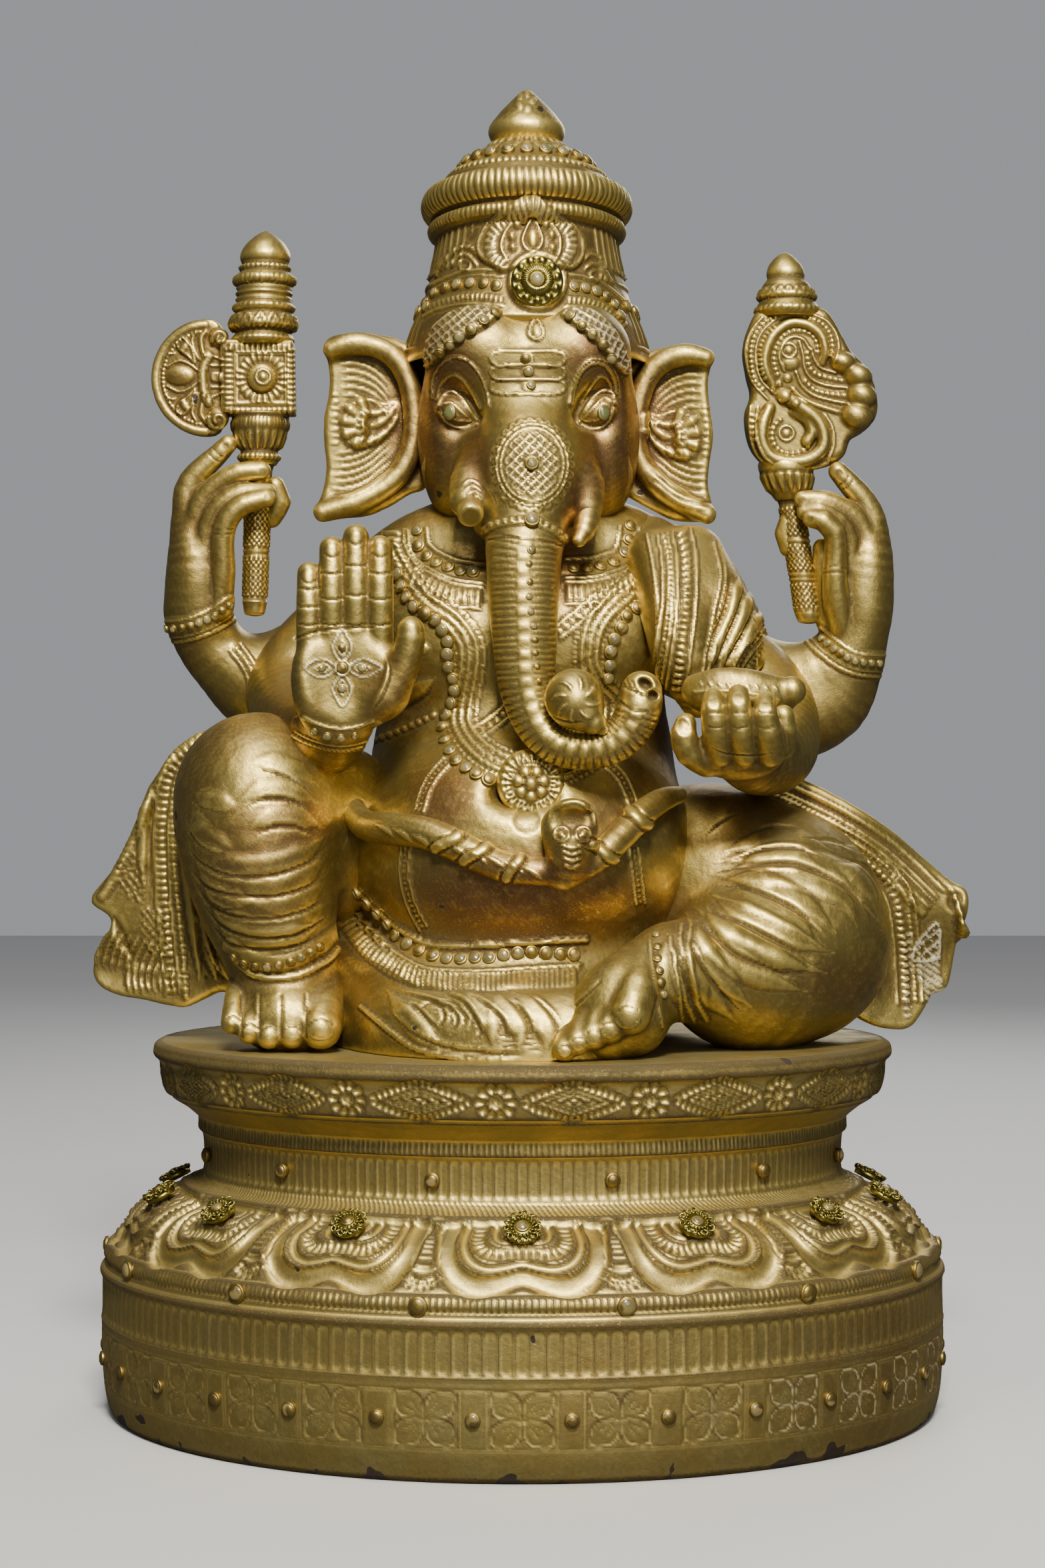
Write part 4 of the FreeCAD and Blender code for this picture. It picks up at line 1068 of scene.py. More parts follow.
def apron_relief(r):
    """Swirling folds of the apron between the right leg and the left foot."""
    soft = 12.5
    for path in ([(-63, 192), (-56, 183), (-47, 172), (-36, 166)],
                 [(-36, 192), (-24, 186), (-16, 177), (-14, 166)],
                 [(-22, 191), (-10, 184), (-2, 174), (-2, 164)],
                 [(-4, 191), (6, 183), (11, 173), (11, 163)]):
        r.bar(path, soft, 1.3, taper=0.3)
    for path in ([(-70.3, 187.8), (-60.4, 180.4), (-50.6, 171.8), (-35.9, 165.2), (-16.2, 162.7),
                  (8, 161.5)],
                 [(-60.4, 191.4), (-50.6, 189), (-40.8, 186.5), (-33.4, 182.9), (-30.5, 177.9),
                  (-33.4, 173.5), (-38.3, 172.5)],
                 [(-58, 187), (-50.6, 184.1), (-44.5, 177.9), (-38.3, 172.5)],
                 [(-38.3, 191.4), (-28.5, 186.5), (-22.4, 179.2), (-19.9, 171.8), (-24.8, 166.9)],
                 [(-26, 190.2), (-16.2, 184.1), (-8.9, 176.7), (-7.6, 168.1)],
                 [(-11.3, 190.2), (-1.5, 182.9), (3.4, 174.3), (3.4, 165.7)],
                 [(2, 190), (12, 182), (18, 172)], [(-50, 180), (-44, 186), (-38, 184), (-37, 178),
                                                    (-42, 174)]):
        r.bar(path, 1.9, -0.9, taper=0.35)
        r.bar(offset(path, 1.8), 1.8, 0.4, taper=0.3)
    for k in range(4):
        r.bar(arc(-38, 178, 5 + 3.2 * k, 3 + 2.0 * k, -70, 175, 14), 1.0, -0.4, taper=0.3)
        r.bar([(-18, 164.5 + 2.4 * k), (-4, 163.6 + 2.4 * k), (12, 165 + 2.8 * k)], 1.0, -0.4, taper=0.3)
    r.bar([(-75.2, 184.1), (-67.8, 177.9), (-60.4, 171.8), (-50.6, 165.2), (-35.9, 161.2), (-16.2, 159),
           (13, 157.8)],
          2.6, 1.2)


def right_leg_skin():
    clay = Clay((-172, -108, SEAT_Z - 4), (-40, 62, 330), 1.1)
    clay.tube([(-58, 14, 236), (-92, -16, 268), (-116, -40, 280)], [42, 40, 36], 10)
    clay.tube([at(-124, 284, -46), at(-123, 262, -50), at(-119, 236, -50), at(-114, 214, -48),
               at(-111, 200, -46)],
              [35.5, 36, 31.5, 25.5, 22.5], 8)
    clay.egg(at(-122, 276, -44), (35, 36, 36), 10)
    # foot and toes
    clay.tube([at(-110, 204, -44), at(-109, 190, -50), at(-108, 180, -60)], [22, 21, 19], 8,
              squash=(0.92, 1, 1.1))
    clay.egg(at(-108, 178, -58), (24, 20, 12), 8)
    for u, v, size, reach in ((-94, 174, 9.2, 15), (-107.5, 171.5, 6.4, 16), (-118, 171, 6.2, 15),
                              (-127, 173, 5.9, 12), (-135, 177, 5.4, 8)):
        tip = at(u, v, -68 - reach * 0.5)
        clay.tube([at(u + 2, v + 16, -54), at(u + 1, v + 8, -63 - reach * 0.3), tip],
                  [size * 0.9, size * 0.96, size], 1.6)
    clay.below(SEAT_Z)
    return from_clay(clay)


def right_leg_relief(r):
    """Folds of cloth wrapped round the shin, and the anklet."""
    for path in ([(-158.7, 263.9), (-151.3, 252.8), (-136.6, 245.5), (-116.9, 245.5), (-99.7, 251.6),
                  (-87.5, 260.9)],
                 [(-157.5, 254.1), (-150.1, 243), (-136.6, 236.9), (-116.9, 235.7), (-99.7, 240.6),
                  (-87.5, 251.6)],
                 [(-155, 246.7), (-146.4, 233.2), (-131.7, 226.3), (-114.5, 225.8), (-98.5, 230.7),
                  (-87, 240.6)],
                 [(-150.1, 234.4), (-141.5, 223.4), (-126.8, 217.2), (-109.6, 217.2), (-97.3, 222.1),
                  (-87.5, 229.5)],
                 [(-146.4, 224.6), (-137.8, 215.3), (-124.3, 211.1), (-107.1, 212.3), (-92.4, 218.5)]):
        r.bar(path, 2.4, -0.8, taper=0.25)
        r.bar(offset(path, 5.0), 12.5, 0.9, taper=0.2)
    for path, width, height in (([(-156, 281), (-150, 277), (-143.9, 275), (-132.9, 273)], 1.6, -0.5),
                                ([(-130, 275.5), (-124, 279.8), (-116.9, 281.1), (-107.1, 279.9),
                                  (-97, 275)], 2.8, -1.2),
                                ([(-126.8, 293.4), (-119.4, 293.9), (-109.6, 290.9), (-97.7, 284)], 1.8,
                                 -0.7),
                                ([(-126.3, 262.9), (-120, 266.4), (-113.5, 268.3), (-104.6, 267.6),
                                  (-94.1, 262.9)], 2.6, -1.1),
                                ([(-158, 276), (-154, 264), (-146, 257), (-134, 253)], 1.6, -0.5),
                                ([(-152, 240), (-140, 231), (-124, 229.5)], 1.6, -0.5)):
        r.bar(path, width, height, taper=0.35)
        r.bar(offset(path, 4.4), 12.5, 0.7, taper=0.3)
    r.bar([(-136, 213), (-128, 207), (-118, 204.5), (-106, 206), (-94, 213), (-86, 220)], 8, 1.2)
    r.bar([(-134, 206), (-126, 199.5), (-116, 197.5), (-104, 199), (-92, 205), (-86, 211)], 3.0, 1.4)
    for u, v, size in ((-94, 174, 6.0), (-107.5, 172, 3.9), (-118, 172, 3.6), (-127, 174, 3.3),
                       (-135, 178, 2.9)):
        r.bar(arc(u, v, size, size * 0.8, 20, 160), 0.9, -0.6)
        r.bar(arc(u, v, size, size * 0.8, 200, 340), 0.9, 0.4)
    for u in (-101, -112.6, -122.6, -131):
        r.bar([(u, 190), (u, 180), (u, 170)], 1.5, -0.8)


def left_leg_skin():
    clay = Clay((4, -136, SEAT_Z - 4), (182, 62, 302), 1.1)
    clay.tube([(56, 10, 232), (84, -8, 242), (116, -16, 232)], [44, 46, 46], 12)
    clay.egg((121, -26, 216), (47, 50, 46), 12)
    clay.egg((102, -44, 206), (40, 40, 38), 12)
    clay.tube([(104, -52, 206), (84, -68, 206), (68, -76, 206)], [34, 26, 21], 10)
    clay.tube([(70, 16, 262), (104, 10, 262), (136, 6, 240)], [20, 22, 24], 14)
    # foot and toes
    clay.tube([(64, -80, 206), (52, -88, 200), (40, -96, 190), (34, -100, 184)], [19, 19, 18, 15], 8)
    clay.egg(at(44, 184, -98), (17, 18, 21), 8, ("y", 20))
    clay.egg(at(54, 178, -92), (12, 18, 14), 8)
    for (u, v, size), base in zip(((50, 181, 9.0), (40.5, 174.5, 6.6), (33, 171, 6.2), (26, 168, 5.9),
                                   (19.6, 164.5, 5.5)),
                                  ((56, 200), (47, 193), (39, 187), (31, 182), (25, 176))):
        clay.tube([at(*base, -98), at((u + base[0]) / 2, (v + base[1]) / 2 + 1, -110), at(u, v, -116)],
                  [size * 0.9, size * 0.95, size], 1.6)
    clay.below(SEAT_Z)
    return from_clay(clay)


def left_leg_relief(r):
    """Folds fanning out from the ankle over the knee, and the studded hem at the ankle."""
    for path in ([(90.4, 246.8), (110.6, 249.1), (127.3, 249.1), (143.9, 243.2), (155.8, 234.9),
                  (160.6, 223)],
                 [(86.9, 240.8), (101.1, 239.6), (117.8, 233.7), (132, 225.4), (142.5, 215.2)],
                 [(146.3, 254.9), (158, 250), (165.9, 240.4), (170.1, 226.1)],
                 [(83.3, 234.9), (91.6, 227.7), (105.9, 220.6), (124.9, 211.1), (143.5, 204.4)],
                 [(80.9, 230.1), (85.7, 220.6), (98.8, 208.7), (115.4, 201.6), (134, 195.8)],
                 [(76.2, 223), (79.7, 208.7), (89.2, 194.5), (103.1, 180.6)],
                 [(72.6, 218.2), (73.8, 201.6), (80.7, 183)],
                 [(96, 252), (112, 256.4), (128, 256.5), (142, 252)]):
        r.bar(path, 3.2, -1.4, taper=0.35)
        for shift in (-5.0, 5.0):
            r.bar(offset(path, shift), 12.5, 1.5, taper=0.3)
    for path in ([(100, 262), (116, 268), (132, 268)], [(128, 262), (144, 262), (156, 256)],
                 [(84, 262), (92, 270), (104, 276)]):
        r.bar(path, 2.2, -0.6, taper=0.4)
    r.rails([(64, 216), (66, 200), (68, 186), (70, 176)], 5.0, 1.4, 1.0)
    r.rope([(74, 222), (73, 206), (75, 190), (80, 178)], 2.2, 1.2, 2.4)
    r.bar([(78, 222), (77, 206), (80, 190), (86, 178)], 2.4, 1.2)
    r.bar([(36, 196), (30, 190), (24, 184)], 1.4, -0.7)
    for u, v, size in ((49, 180, 5.6), (40.5, 174, 3.8), (33, 170.5, 3.5), (26, 167.5, 3.2),
                       (19.6, 164, 2.9)):
        r.bar(arc(u, v, size, size, 200, 340), 0.9, 0.5)
        r.bar(arc(u, v, size, size * 0.8, 30, 150), 0.9, -0.5)


RIGHT_FLARE = [(-104, 300), (-118, 313), (-142, 312.5), (-160, 303), (-172, 288), (-180, 268), (-189, 250),
               (-200, 236), (-198, 231), (-192, 227), (-191, 222), (-197, 211), (-200, 201), (-196, 194),
               (-187, 190), (-175, 188), (-163, 185.5), (-155, 185), (-146, 189), (-138, 192), (-128, 190),
               (-116, 220), (-106, 262)]
LEFT_FLARE = [(84, 270), (100, 288), (112, 295), (130, 290), (150, 280), (170, 267.5), (186, 254.5),
              (198, 244), (206, 239), (207, 229), (203, 217), (201, 204), (198, 193), (191, 190.5),
              (187, 184), (180, 175.5), (170, 174.5), (158, 178), (146, 186), (120, 200), (90, 236)]


def flare_skin(outline, side, wave):
    """A spread end of cloth beside a knee; wave gives its swing in depth by height."""
    xs = [p[0] for p in outline]
    clay = Clay((min(xs) - 6, -34, 168), (max(xs) + 6, 34, 322), 1.1)

    def middle(x, z):
        out = smooth(150, 200, side * x)
        return wave(z) * out - 1.0 - 6.0 * (1 - out)

    clay.plate(outline, middle, lambda x, z: 6.0 - 2.4 * smooth(150, 200, side * x), 2.6)
    return from_clay(clay)


def right_flare_relief(r):
    """A pleated end of cloth falling from the knee, with studded borders and a ruffled hem."""
    hem = [(-150, 312), (-166, 299), (-176, 280), (-184, 262), (-194, 243), (-198, 237)]
    r.rope(offset(hem, 2.4), 4.2, 1.5, 3.0)
    border = [(-146, 309), (-158, 301), (-165, 290), (-168, 272), (-168, 252), (-167, 232), (-165, 212),
              (-163, 190)]
    r.rails(border, -3.2, 1.4, 1.1)
    r.comb(border, -2.4, 2.4, 3.4, 1.2, duty=0.34)
    r.beads([(-150, 306), (-158, 297), (-162, 284), (-163, 264), (-162, 244), (-160, 224), (-158, 204),
             (-157, 188)],
            1.5, 2.9, 1.3)
    for path in ([(-172, 292), (-176, 272), (-177, 252), (-176, 236)],
                 [(-156, 292), (-158, 262), (-155, 232), (-150, 192)],
                 [(-152, 240), (-148, 216), (-142, 194)], [(-150, 226), (-142, 206), (-134, 194)]):
        r.bar(path, 5, 1.8, taper=0.3)
        r.bar(offset(path, 3.2), 1.8, -1.4, taper=0.3)
    r.hatch([(-184, 256), (-190, 246), (-186, 236), (-177, 232), (-175, 244), (-178, 256)], 2.9, 0.9, 0.8,
            (60, -20))
    r.hatch([(-177, 230), (-178, 218), (-172, 208), (-164, 206), (-165, 220), (-166, 228)], 2.8, 0.9, 0.8,
            (50, -35))
    for k in range(9):
        a = -200 + 3.4 * k
        r.bar([(a + 8, 222 - k), (a + 3, 212 - k), (a + 1, 202 - 0.8 * k)], 1.8, 1.3, taper=0.2)
        b = -186 + 3.0 * k
        r.bar([(b + 4, 206 - 0.4 * k), (b + 2, 198), (b + 3, 190)], 1.8, 1.1, taper=0.2)
    r.fill([(-191, 226), (-188, 214), (-182, 208), (-186, 220)], -1.6, soft=2.5)


def left_flare_relief(r):
    """The shawl's end spread over the left thigh, with studded borders and a lattice patch."""
    outer = [(116, 291), (134, 283), (152, 273.5), (170, 262), (184, 250), (196, 238)]
    r.rope(offset(outer, 0.5), 2.6, 1.3, 2.6)
    for shift in (-4.0, -6.4):
        r.bar(offset(outer, shift), 1.5, 1.1)
    r.rope(offset(outer, -10), 2.6, 1.3, 2.6)
    r.bar(offset(outer, -14), 4.0, 1.6)
    inner = [(100, 279), (116, 273), (134, 266), (152, 257), (166, 246), (174, 234), (177, 216),
             (178, 200), (179, 186)]
    r.comb(inner, -1.9, 1.9, 3.3, 1.5, duty=0.34)
    r.beads(offset(inner, 4.4), 1.3, 2.6, 1.2)
    r.bar(offset(inner, -4.2), 1.5, 1.1)
    r.bar(offset(inner, 7.4), 1.5, 1.1)
    patch = [(182, 211), (182, 206), (190, 206), (194, 208), (194, 222), (191, 222), (184, 214)]
    r.hatch(patch, 4.0, 0.9, 0.8, (50, -40), silver=0.8)
    r.bar(patch + patch[:1], 1.0, 0.8, silver=0.8)
    for k in range(12):
        v = 218 - 3.4 * k
        r.bar([(181, v), (177.5, v - 1.2)], 0.9, 0.7, silver=0.7)
        r.bar([(183 + 0.5 * k, 203 - 1.5 * k), (193 + 0.3 * k, 207 - 1.6 * k)], 1.1, 0.7, silver=0.5)
    for k in range(6):
        r.bar([(198 + k, 243 - 2.0 * k), (203 + 0.4 * k, 232 - 3.0 * k), (203 - 0.6 * k, 214 - 3.4 * k)],
              1.9, 1.5, taper=0.3)
    r.fill([(200, 238), (205, 236), (202, 228), (198, 232)], -1.2, soft=2)


def right_wave(z):
    return 4.0 * np.sin((z - 190) / 9.0) * smooth(240, 200, z) - 3.0


def left_wave(z):
    return 4.0 * np.sin((z - 186) / 10.0) + 2.0


def make_body():
    for name, skin, relief, node in (
            ("torso", torso_skin(), torso_relief, "torso_casting"),
            ("right_leg_wrapped", right_leg_skin(), right_leg_relief, "right_leg"),
            ("left_leg_wrapped", left_leg_skin(), left_leg_relief, "left_leg"),
            ("right_flare", flare_skin(RIGHT_FLARE, -1, right_wave), right_flare_relief,
             "right_cloth_flare"),
            ("left_flare", flare_skin(LEFT_FLARE, 1, left_wave), left_flare_relief, "left_cloth_flare")):
        worked_piece(name, skin, relief, node, 0.07, len(name))


# ---------------------------------------------------------------- head, ears and crown
TRUNK = [(3, 452, -30), (3, 438, -42), (3.5, 424, -52), (2, 410, -60), (0.5, 392, -70), (0.5, 372, -75),
         (1, 354, -78), (1.5, 342, -80), (3, 329, -82), (8, 315, -86), (17, 306, -90), (29, 303.6, -94),
         (41, 306, -96), (50, 314, -96), (54.5, 324, -96), (55.5, 331, -95)]
TRUNK_R = [27, 27, 24.5, 19, 16.6, 15.4, 14.2, 13.2, 11.8, 10.0, 8.8, 8.3, 8.6, 9.4, 9.8, 9.0]
TRUNK_LINE = [(2, 404), (0.5, 392), (0.5, 372), (1, 354), (1.5, 342), (3, 329), (8, 315), (17, 306),
              (29, 303.6), (41, 306), (50, 314), (54, 324)]


def head_skin():
    clay = Clay((-60, -124, 282), (78, 48, 524), 0.85)
    clay.egg((2, -6, 462), (47, 46, 47), 10)
    clay.egg(at(-17, 488, -30), (27, 26, 24), 12)
    clay.egg(at(23, 488, -30), (27, 26, 24), 12)
    clay.egg(at(-31, 446, -16), (17, 26, 34), 12)
    clay.egg(at(37, 446, -16), (17, 26, 34), 12)
    clay.egg((2, -2, 424), (38, 34, 28), 14)
    clay.egg((2, 6, 404), (32, 28, 24), 10)
    clay.tube([at(*p) for p in TRUNK], TRUNK_R, 9, step=3)
    clay.egg(at(3, 437, -52), (19, 14, 21), 8)
    # eye hollows, brow rolls and balls
    for side, u, v in ((-1, -30.5, 463.0), (1, 34.5, 463.0)):
        clay.egg(at(u, v, -45), (11.4, 4.4, 7.8), 9, ("y", -side * 24), carve=True)
        clay.egg(at(u + side * 0.5, v - 1.5, -39.4), (9.0, 6.4, 6.4), 3.0, ("y", -side * 24))
        clay.tube([at(u + side * 10.5, v + 7, -33), at(u + side * 7.5, v + 17, -35),
                   at(u + side * 1, v + 21.5, -38), at(u - side * 6, v + 18, -42),
                   at(u - side * 11, v + 9, -44), at(u - side * 13.5, v + 0, -45)],
                  [2.4, 3.4, 4.0, 4.0, 3.4, 2.2], 4)
    # tusk sockets and mouth corners
    clay.tube([at(-16, 440, -38), at(-24, 428, -52), at(-25.5, 420, -60)], [12, 9.5, 8.2], 5)
    clay.tube([at(21, 440, -38), at(29, 427, -50), at(29.5, 417, -56)], [12, 9.0, 7.6], 5)
    clay.tube([at(-14, 410, -44), at(2, 401, -56), at(18, 410, -44)], [9, 10, 9], 6)
    # nostrils
    clay.egg(at(57.5, 335, -104), (3.4, 7, 2.4), 1.6, ("y", 35), carve=True)
    clay.egg(at(61, 329.5, -103), (2.4, 6, 2.2), 1.6, ("y", 35), carve=True)
    return from_clay(clay)


def head_relief(r):
    """Brows, lids, painted bars, lattice oval and trunk wrinkles."""
    brows = [([(-42, 468), (-41.5, 476), (-38, 483), (-31.5, 486.6), (-25, 484.6), (-19.5, 478),
               (-16.5, 470), (-15.6, 464)], 1.2, 0.9),
             ([(45, 468), (44, 477), (40, 484), (33, 486), (27, 482), (23, 474.5), (21.4, 465)], 1.2, 0.9),
             ([(-40, 467), (-38, 474), (-33, 478.5), (-28, 476.5), (-23, 470), (-19.5, 463)], 1.5, 0.8),
             ([(43.5, 470), (42.5, 477), (38.5, 483), (32.5, 484), (27.5, 480), (24, 473), (22.5, 465)],
              2.0, 1.1),
             ([(42, 468), (40.5, 475), (36.5, 478), (31.5, 473), (27, 465.5)], 1.5, 0.8)]
    lids = [([(-39, 463.5), (-37, 468.5), (-33, 470.8), (-28.5, 467.5), (-24.5, 461.5), (-21.5, 458)], 1.6,
             1.2),
            ([(-39.5, 463), (-36, 465.5), (-32.5, 465.2), (-28.5, 461.5), (-24, 457.5)], 1.0, 0.7),
            ([(-38.5, 461.5), (-35, 456.5), (-30, 454), (-25, 454), (-21, 455.5)], 1.4, 1.0),
            ([(-35, 459.5), (-30, 457.4), (-24.5, 457.3)], 1.0, 0.7),
            ([(43, 465), (41.5, 469.8), (38, 471.4), (33.5, 468.5), (29, 461.5), (26, 456.5)], 1.6, 1.2),
            ([(42.5, 465.5), (38.5, 467.8), (35, 465.5), (30.5, 460.5), (27.5, 457.5)], 1.1, 0.9),
            ([(42.5, 463.5), (40, 457), (36, 453.8), (31, 453.6), (26.5, 456)], 1.4, 1.0),
            ([(38, 459.5), (33.5, 457.2), (28.5, 457.4)], 1.0, 0.7)]
    for path, width, height in brows + lids:
        r.bar(path, width, height)
    for low, high in ((483.2, 489.4), (476.6, 482.8), (469.8, 476.3)):
        mid, half = (low + high) / 2, (high - low) / 2
        loop = [(-12, high), (2, high + 0.4), (17, high), (20, mid), (17, low), (2, low - 0.2), (-12, low),
                (-15, mid)]
        r.fill(loop, 0.5, soft=1.0)
        r.bar(loop, 0.9, 0.7, closed=True)
        r.dome(2.5, mid + 0.3, min(2.8, half), 0.5, flat=True)
    r.bar([(6, 505.5), (3.2, 500), (3.4, 496.6), (6.6, 495), (9.6, 497), (9, 501), (6, 505.5)], 1.2, 0.9)
    r.dome(6.4, 499, 2.4, 1.2, squash=1.4)
    oval = hoop(4.5, 436.5, 14.6, 17.2, 28)
    r.fill(oval, 0.9)
    r.bar(oval, 1.6, 0.9, closed=True)
    r.bar(hoop(4.5, 436.5, 16.3, 18.9, 28), 1.0, 0.8, closed=True)
    r.hatch(hoop(4.5, 436.5, 12.9, 15.5, 24), 3.3, 0.9, 0.8, (42, -46), silver=0.12)
    r.dome(4.2, 437, 3.4, 1.3, flat=True)
    lace = hoop(4.5, 436.5, 17.6, 20.4, 26)
    for u, v in hoop(4.5, 436.5, 17.6, 20.2, 28):
        r.dome(u, v, 2.3, 0.9)
        r.dome(u, v, 1.1, -0.6)
    r.bar(lace, 0.9, 0.3, closed=True)
    band = [(-19, 406.5), (-13, 409.3), (-5, 411), (4.5, 411.5), (10, 409.5), (15, 406.6), (21, 402.5)]
    r.bar(offset(band, -1.7), 2.2, 1.2)
    r.beads(band, 1.5, 3.3, 1.5)
    # wrinkles across the trunk, and its middle line of beads
    r.comb(TRUNK_LINE, -15.5, -3.0, 3.0, -0.5, duty=0.17)
    r.comb(TRUNK_LINE, 3.0, 15.5, 3.0, -0.5, duty=0.17)
    r.comb(TRUNK_LINE, -3.5, 3.5, 6.6, 0.35, duty=0.3)
    r.bar([(-16, 402), (-8, 403), (2, 402), (12, 401), (18, 399)], 1.2, -0.8)
    r.bar([(40, 331), (46, 326), (52, 322), (59, 322)], 1.1, -0.7)
    for k in range(4):
        r.bar([(43 + 2.6 * k, 340 - 1.2 * k), (45 + 3 * k, 335 - 1.6 * k), (50 + 3 * k, 332 - 1.2 * k)],
              1.0, -0.5)
    # socket rings and cheek lines
    for k in range(4):
        r.bar([(-29 + k, 427 - 2.6 * k), (-24 + k, 429.5 - 2.6 * k), (-19, 426.5 - 2.6 * k)], 1.3, 0.7,
              taper=0.3)
        r.bar([(-20 + 2.5 * k, 429 - k), (-15 + 2.2 * k, 424 - 1.2 * k), (-12 + 2 * k, 417 - k)], 1.1,
              0.45, taper=0.3)
    for side, u0 in ((-1, -45), (1, 49)):
        r.bar([(u0, 442), (u0 + side * 1, 430), (u0 - side * 2, 420)], 2.0, 0.8, taper=0.3)
    forehead_panels(r)


PANEL_RIGHT = [(-9, 507.5), (-15, 510), (-26, 509.5), (-36, 505), (-43, 497), (-47, 487), (-46, 481.5),
               (-40, 485), (-35, 491), (-27, 496), (-18, 500.5), (-12, 505)]
PANEL_LEFT = [(18.5, 507), (25, 509.5), (33, 507.5), (41, 501), (47, 491), (49.5, 480), (45, 480),
              (40.5, 487), (34, 494), (27, 500), (21, 504)]


def forehead_panels(r):
    """The lattice panels with scalloped edges under the crown's brim."""
    for panel, angles in ((PANEL_RIGHT, (48, -40)), (PANEL_LEFT, (30, -62))):
        r.fill(panel, 1.6, soft=1.4)
        r.hatch(panel, 2.9, 0.85, 0.8, angles, silver=0.3 if angles[0] == 48 else 0.6)
    for edge in ([(-12, 505), (-18, 501), (-27, 496), (-35, 491), (-41, 485.5)],
                 [(21, 504.5), (27, 500), (34, 494), (40.5, 487), (46, 480.5)]):
        r.comb(offset(edge, 1.6 if edge[0][0] > 0 else -1.6), -1.8, 1.8, 4.2, 0.9, duty=0.42)
        r.bar(edge, 1.2, 0.7)


EAR_RIGHT = [(-48, 488), (-58, 495.5), (-70, 497.5), (-82, 497), (-90.5, 494.5), (-91, 488), (-89.5, 478),
             (-90, 468), (-92, 458), (-92, 446), (-91, 434), (-93, 423), (-96.5, 414.5), (-95, 411.8),
             (-84, 411.5), (-72, 413), (-62, 417.5), (-53, 423), (-44, 428), (-42, 450), (-44, 474)]
RIM_RIGHT = [(-89, 490.5), (-80, 493), (-69, 492), (-60, 487), (-54, 478), (-51, 466), (-50.5, 453),
             (-53, 441), (-59, 431), (-68, 424), (-79, 418.5), (-93, 414.5)]
EAR_LEFT = [(48, 482), (60, 490), (72, 492), (82, 491.5), (87, 489), (87.5, 483), (86, 474), (87, 462),
            (88.5, 450), (87, 438), (86, 427), (88, 418), (88, 412), (82, 409.8), (70, 411), (60, 416),
            (50, 421.5), (42, 427), (42, 455)]
RIM_LEFT = [(85.5, 486.5), (76, 488), (66, 485), (58, 477), (54, 465), (52.5, 452), (54.5, 440), (61, 430),
            (71, 421.5), (86, 413.5)]


def ear_skin(outline, rim):
    us = [p[0] for p in outline]
    clay = Clay((min(us) - 5, -34, 404), (max(us) + 5, 16, 504), 0.9)
    side = 1 if sum(us) > 0 else -1

    def middle(x, z):
        return -4.0 - 6.0 * smooth(60, 92, side * x)

    clay.plate(seen_outline(outline, -6), middle, 4.0, 3.0)
    clay.tube([at(u, v, -12 - 3 * smooth(50, 90, side * u)) for u, v in rim],
              [4.0] + [5.2] * (len(rim) - 2) + [4.4], 3.5, step=2)
    return from_clay(clay)


def ear_relief(r, leaf, side):
    """Fine ridges running in from the ear's thin edge, and a flower with a curled tail in its bowl."""
    cu, cv = leaf

    def local(points):
        return [(cu + side * a, cv + b) for a, b in points]

    for k in range(5):
        b = 27 - 3.7 * k
        r.bar(local([(15, b - 0.8), (7, b), (0, b - 1.6), (-6, b - 5.6), (-11, b - 11 - 0.5 * k)]), 1.8,
              0.5, taper=0.2)
    for k in range(8):
        b = 12.4 - 3.2 * k
        r.bar(local([(17.5, b - 0.4), (12, b + 0.2)]), 1.4, 0.45, taper=0.3)
    for k in range(7):
        b = -14.4 - 3.4 * k
        r.bar(local([(18 + 0.3 * k, b - 0.4), (8, b + 0.4), (0, b + 3.6), (-6, b + 8.4),
                     (-10 - 0.6 * k, b + 14)]), 1.7, 0.45,
              taper=0.2)
    base = local([(12.1, -2), (10.6, 4), (6.6, 9), (1.6, 10.6), (-6.4, 8.6), (-12.4, 10), (-15.4, 8),
                  (-15, 2), (-11.4, -4.4), (-5.4, -10), (1.6, -12.6), (7.6, -12), (11.1, -8)])
    r.fill(base, 1.3, soft=2.0)
    for root, tip in (((1.0, 3.0), (3.2, 9.4)), ((2.6, 1.2), (8.8, 6.2)), ((3.4, -1.4), (11.2, 0.2)),
                      ((3.0, -3.8), (10.2, -6.2)), ((1.4, -5.0), (5.6, -10.4))):
        r.bar(local([root, tip]), 4.6, 1.5)
    for k, (a, b) in enumerate(((2.1, -10.0), (-1.9, -9.2), (-5.6, -8), (-8.8, -5.5), (-11.4, -2.6),
                                (-13.4, 0.6)), 1):
        r.dome(cu + side * a, cv + b, 1.8, 1.0, squash=1.5, turn=side * (20 + 8 * k))
    r.dome(cu + side * 1.4, cv - 1.6, 2.6, 1.0)
    for path, width, height in (([(2, 5), (-2.4, 3.4), (-7, 4.2), (-12, 7.8)], 3.6, 1.5),
                                ([(0, -2.4), (-4, -1.8), (-9, 1.4), (-14, 8)], 4.4, 1.7),
                                ([(0.6, 10.0), (-3.4, 9.6), (-8, 7.8)], 1.8, 1.0)):
        r.bar(local(path), width, height, taper=0.3)


CROWN_X, CROWN_Y = 2.0, 3.0
CROWN_WALL = [(57.5, 482), (58.0, 484), (57.0, 488), (54.6, 496), (51.5, 504), (48.5, 512), (46.0, 520),
              (43.8, 530), (42.2, 538), (42.0, 540.5), (44.6, 542.5), (45.8, 545), (44.6, 547.6),
              (43.2, 548.8), (45.0, 550.6), (47.6, 553.6), (48.2, 557), (46.8, 560.6), (43.6, 563.2),
              (41.6, 564.2), (38.5, 567.6), (33.0, 572.4), (27.0, 577.2), (21.5, 581.8), (17.5, 585.4),
              (15.5, 587.5)]


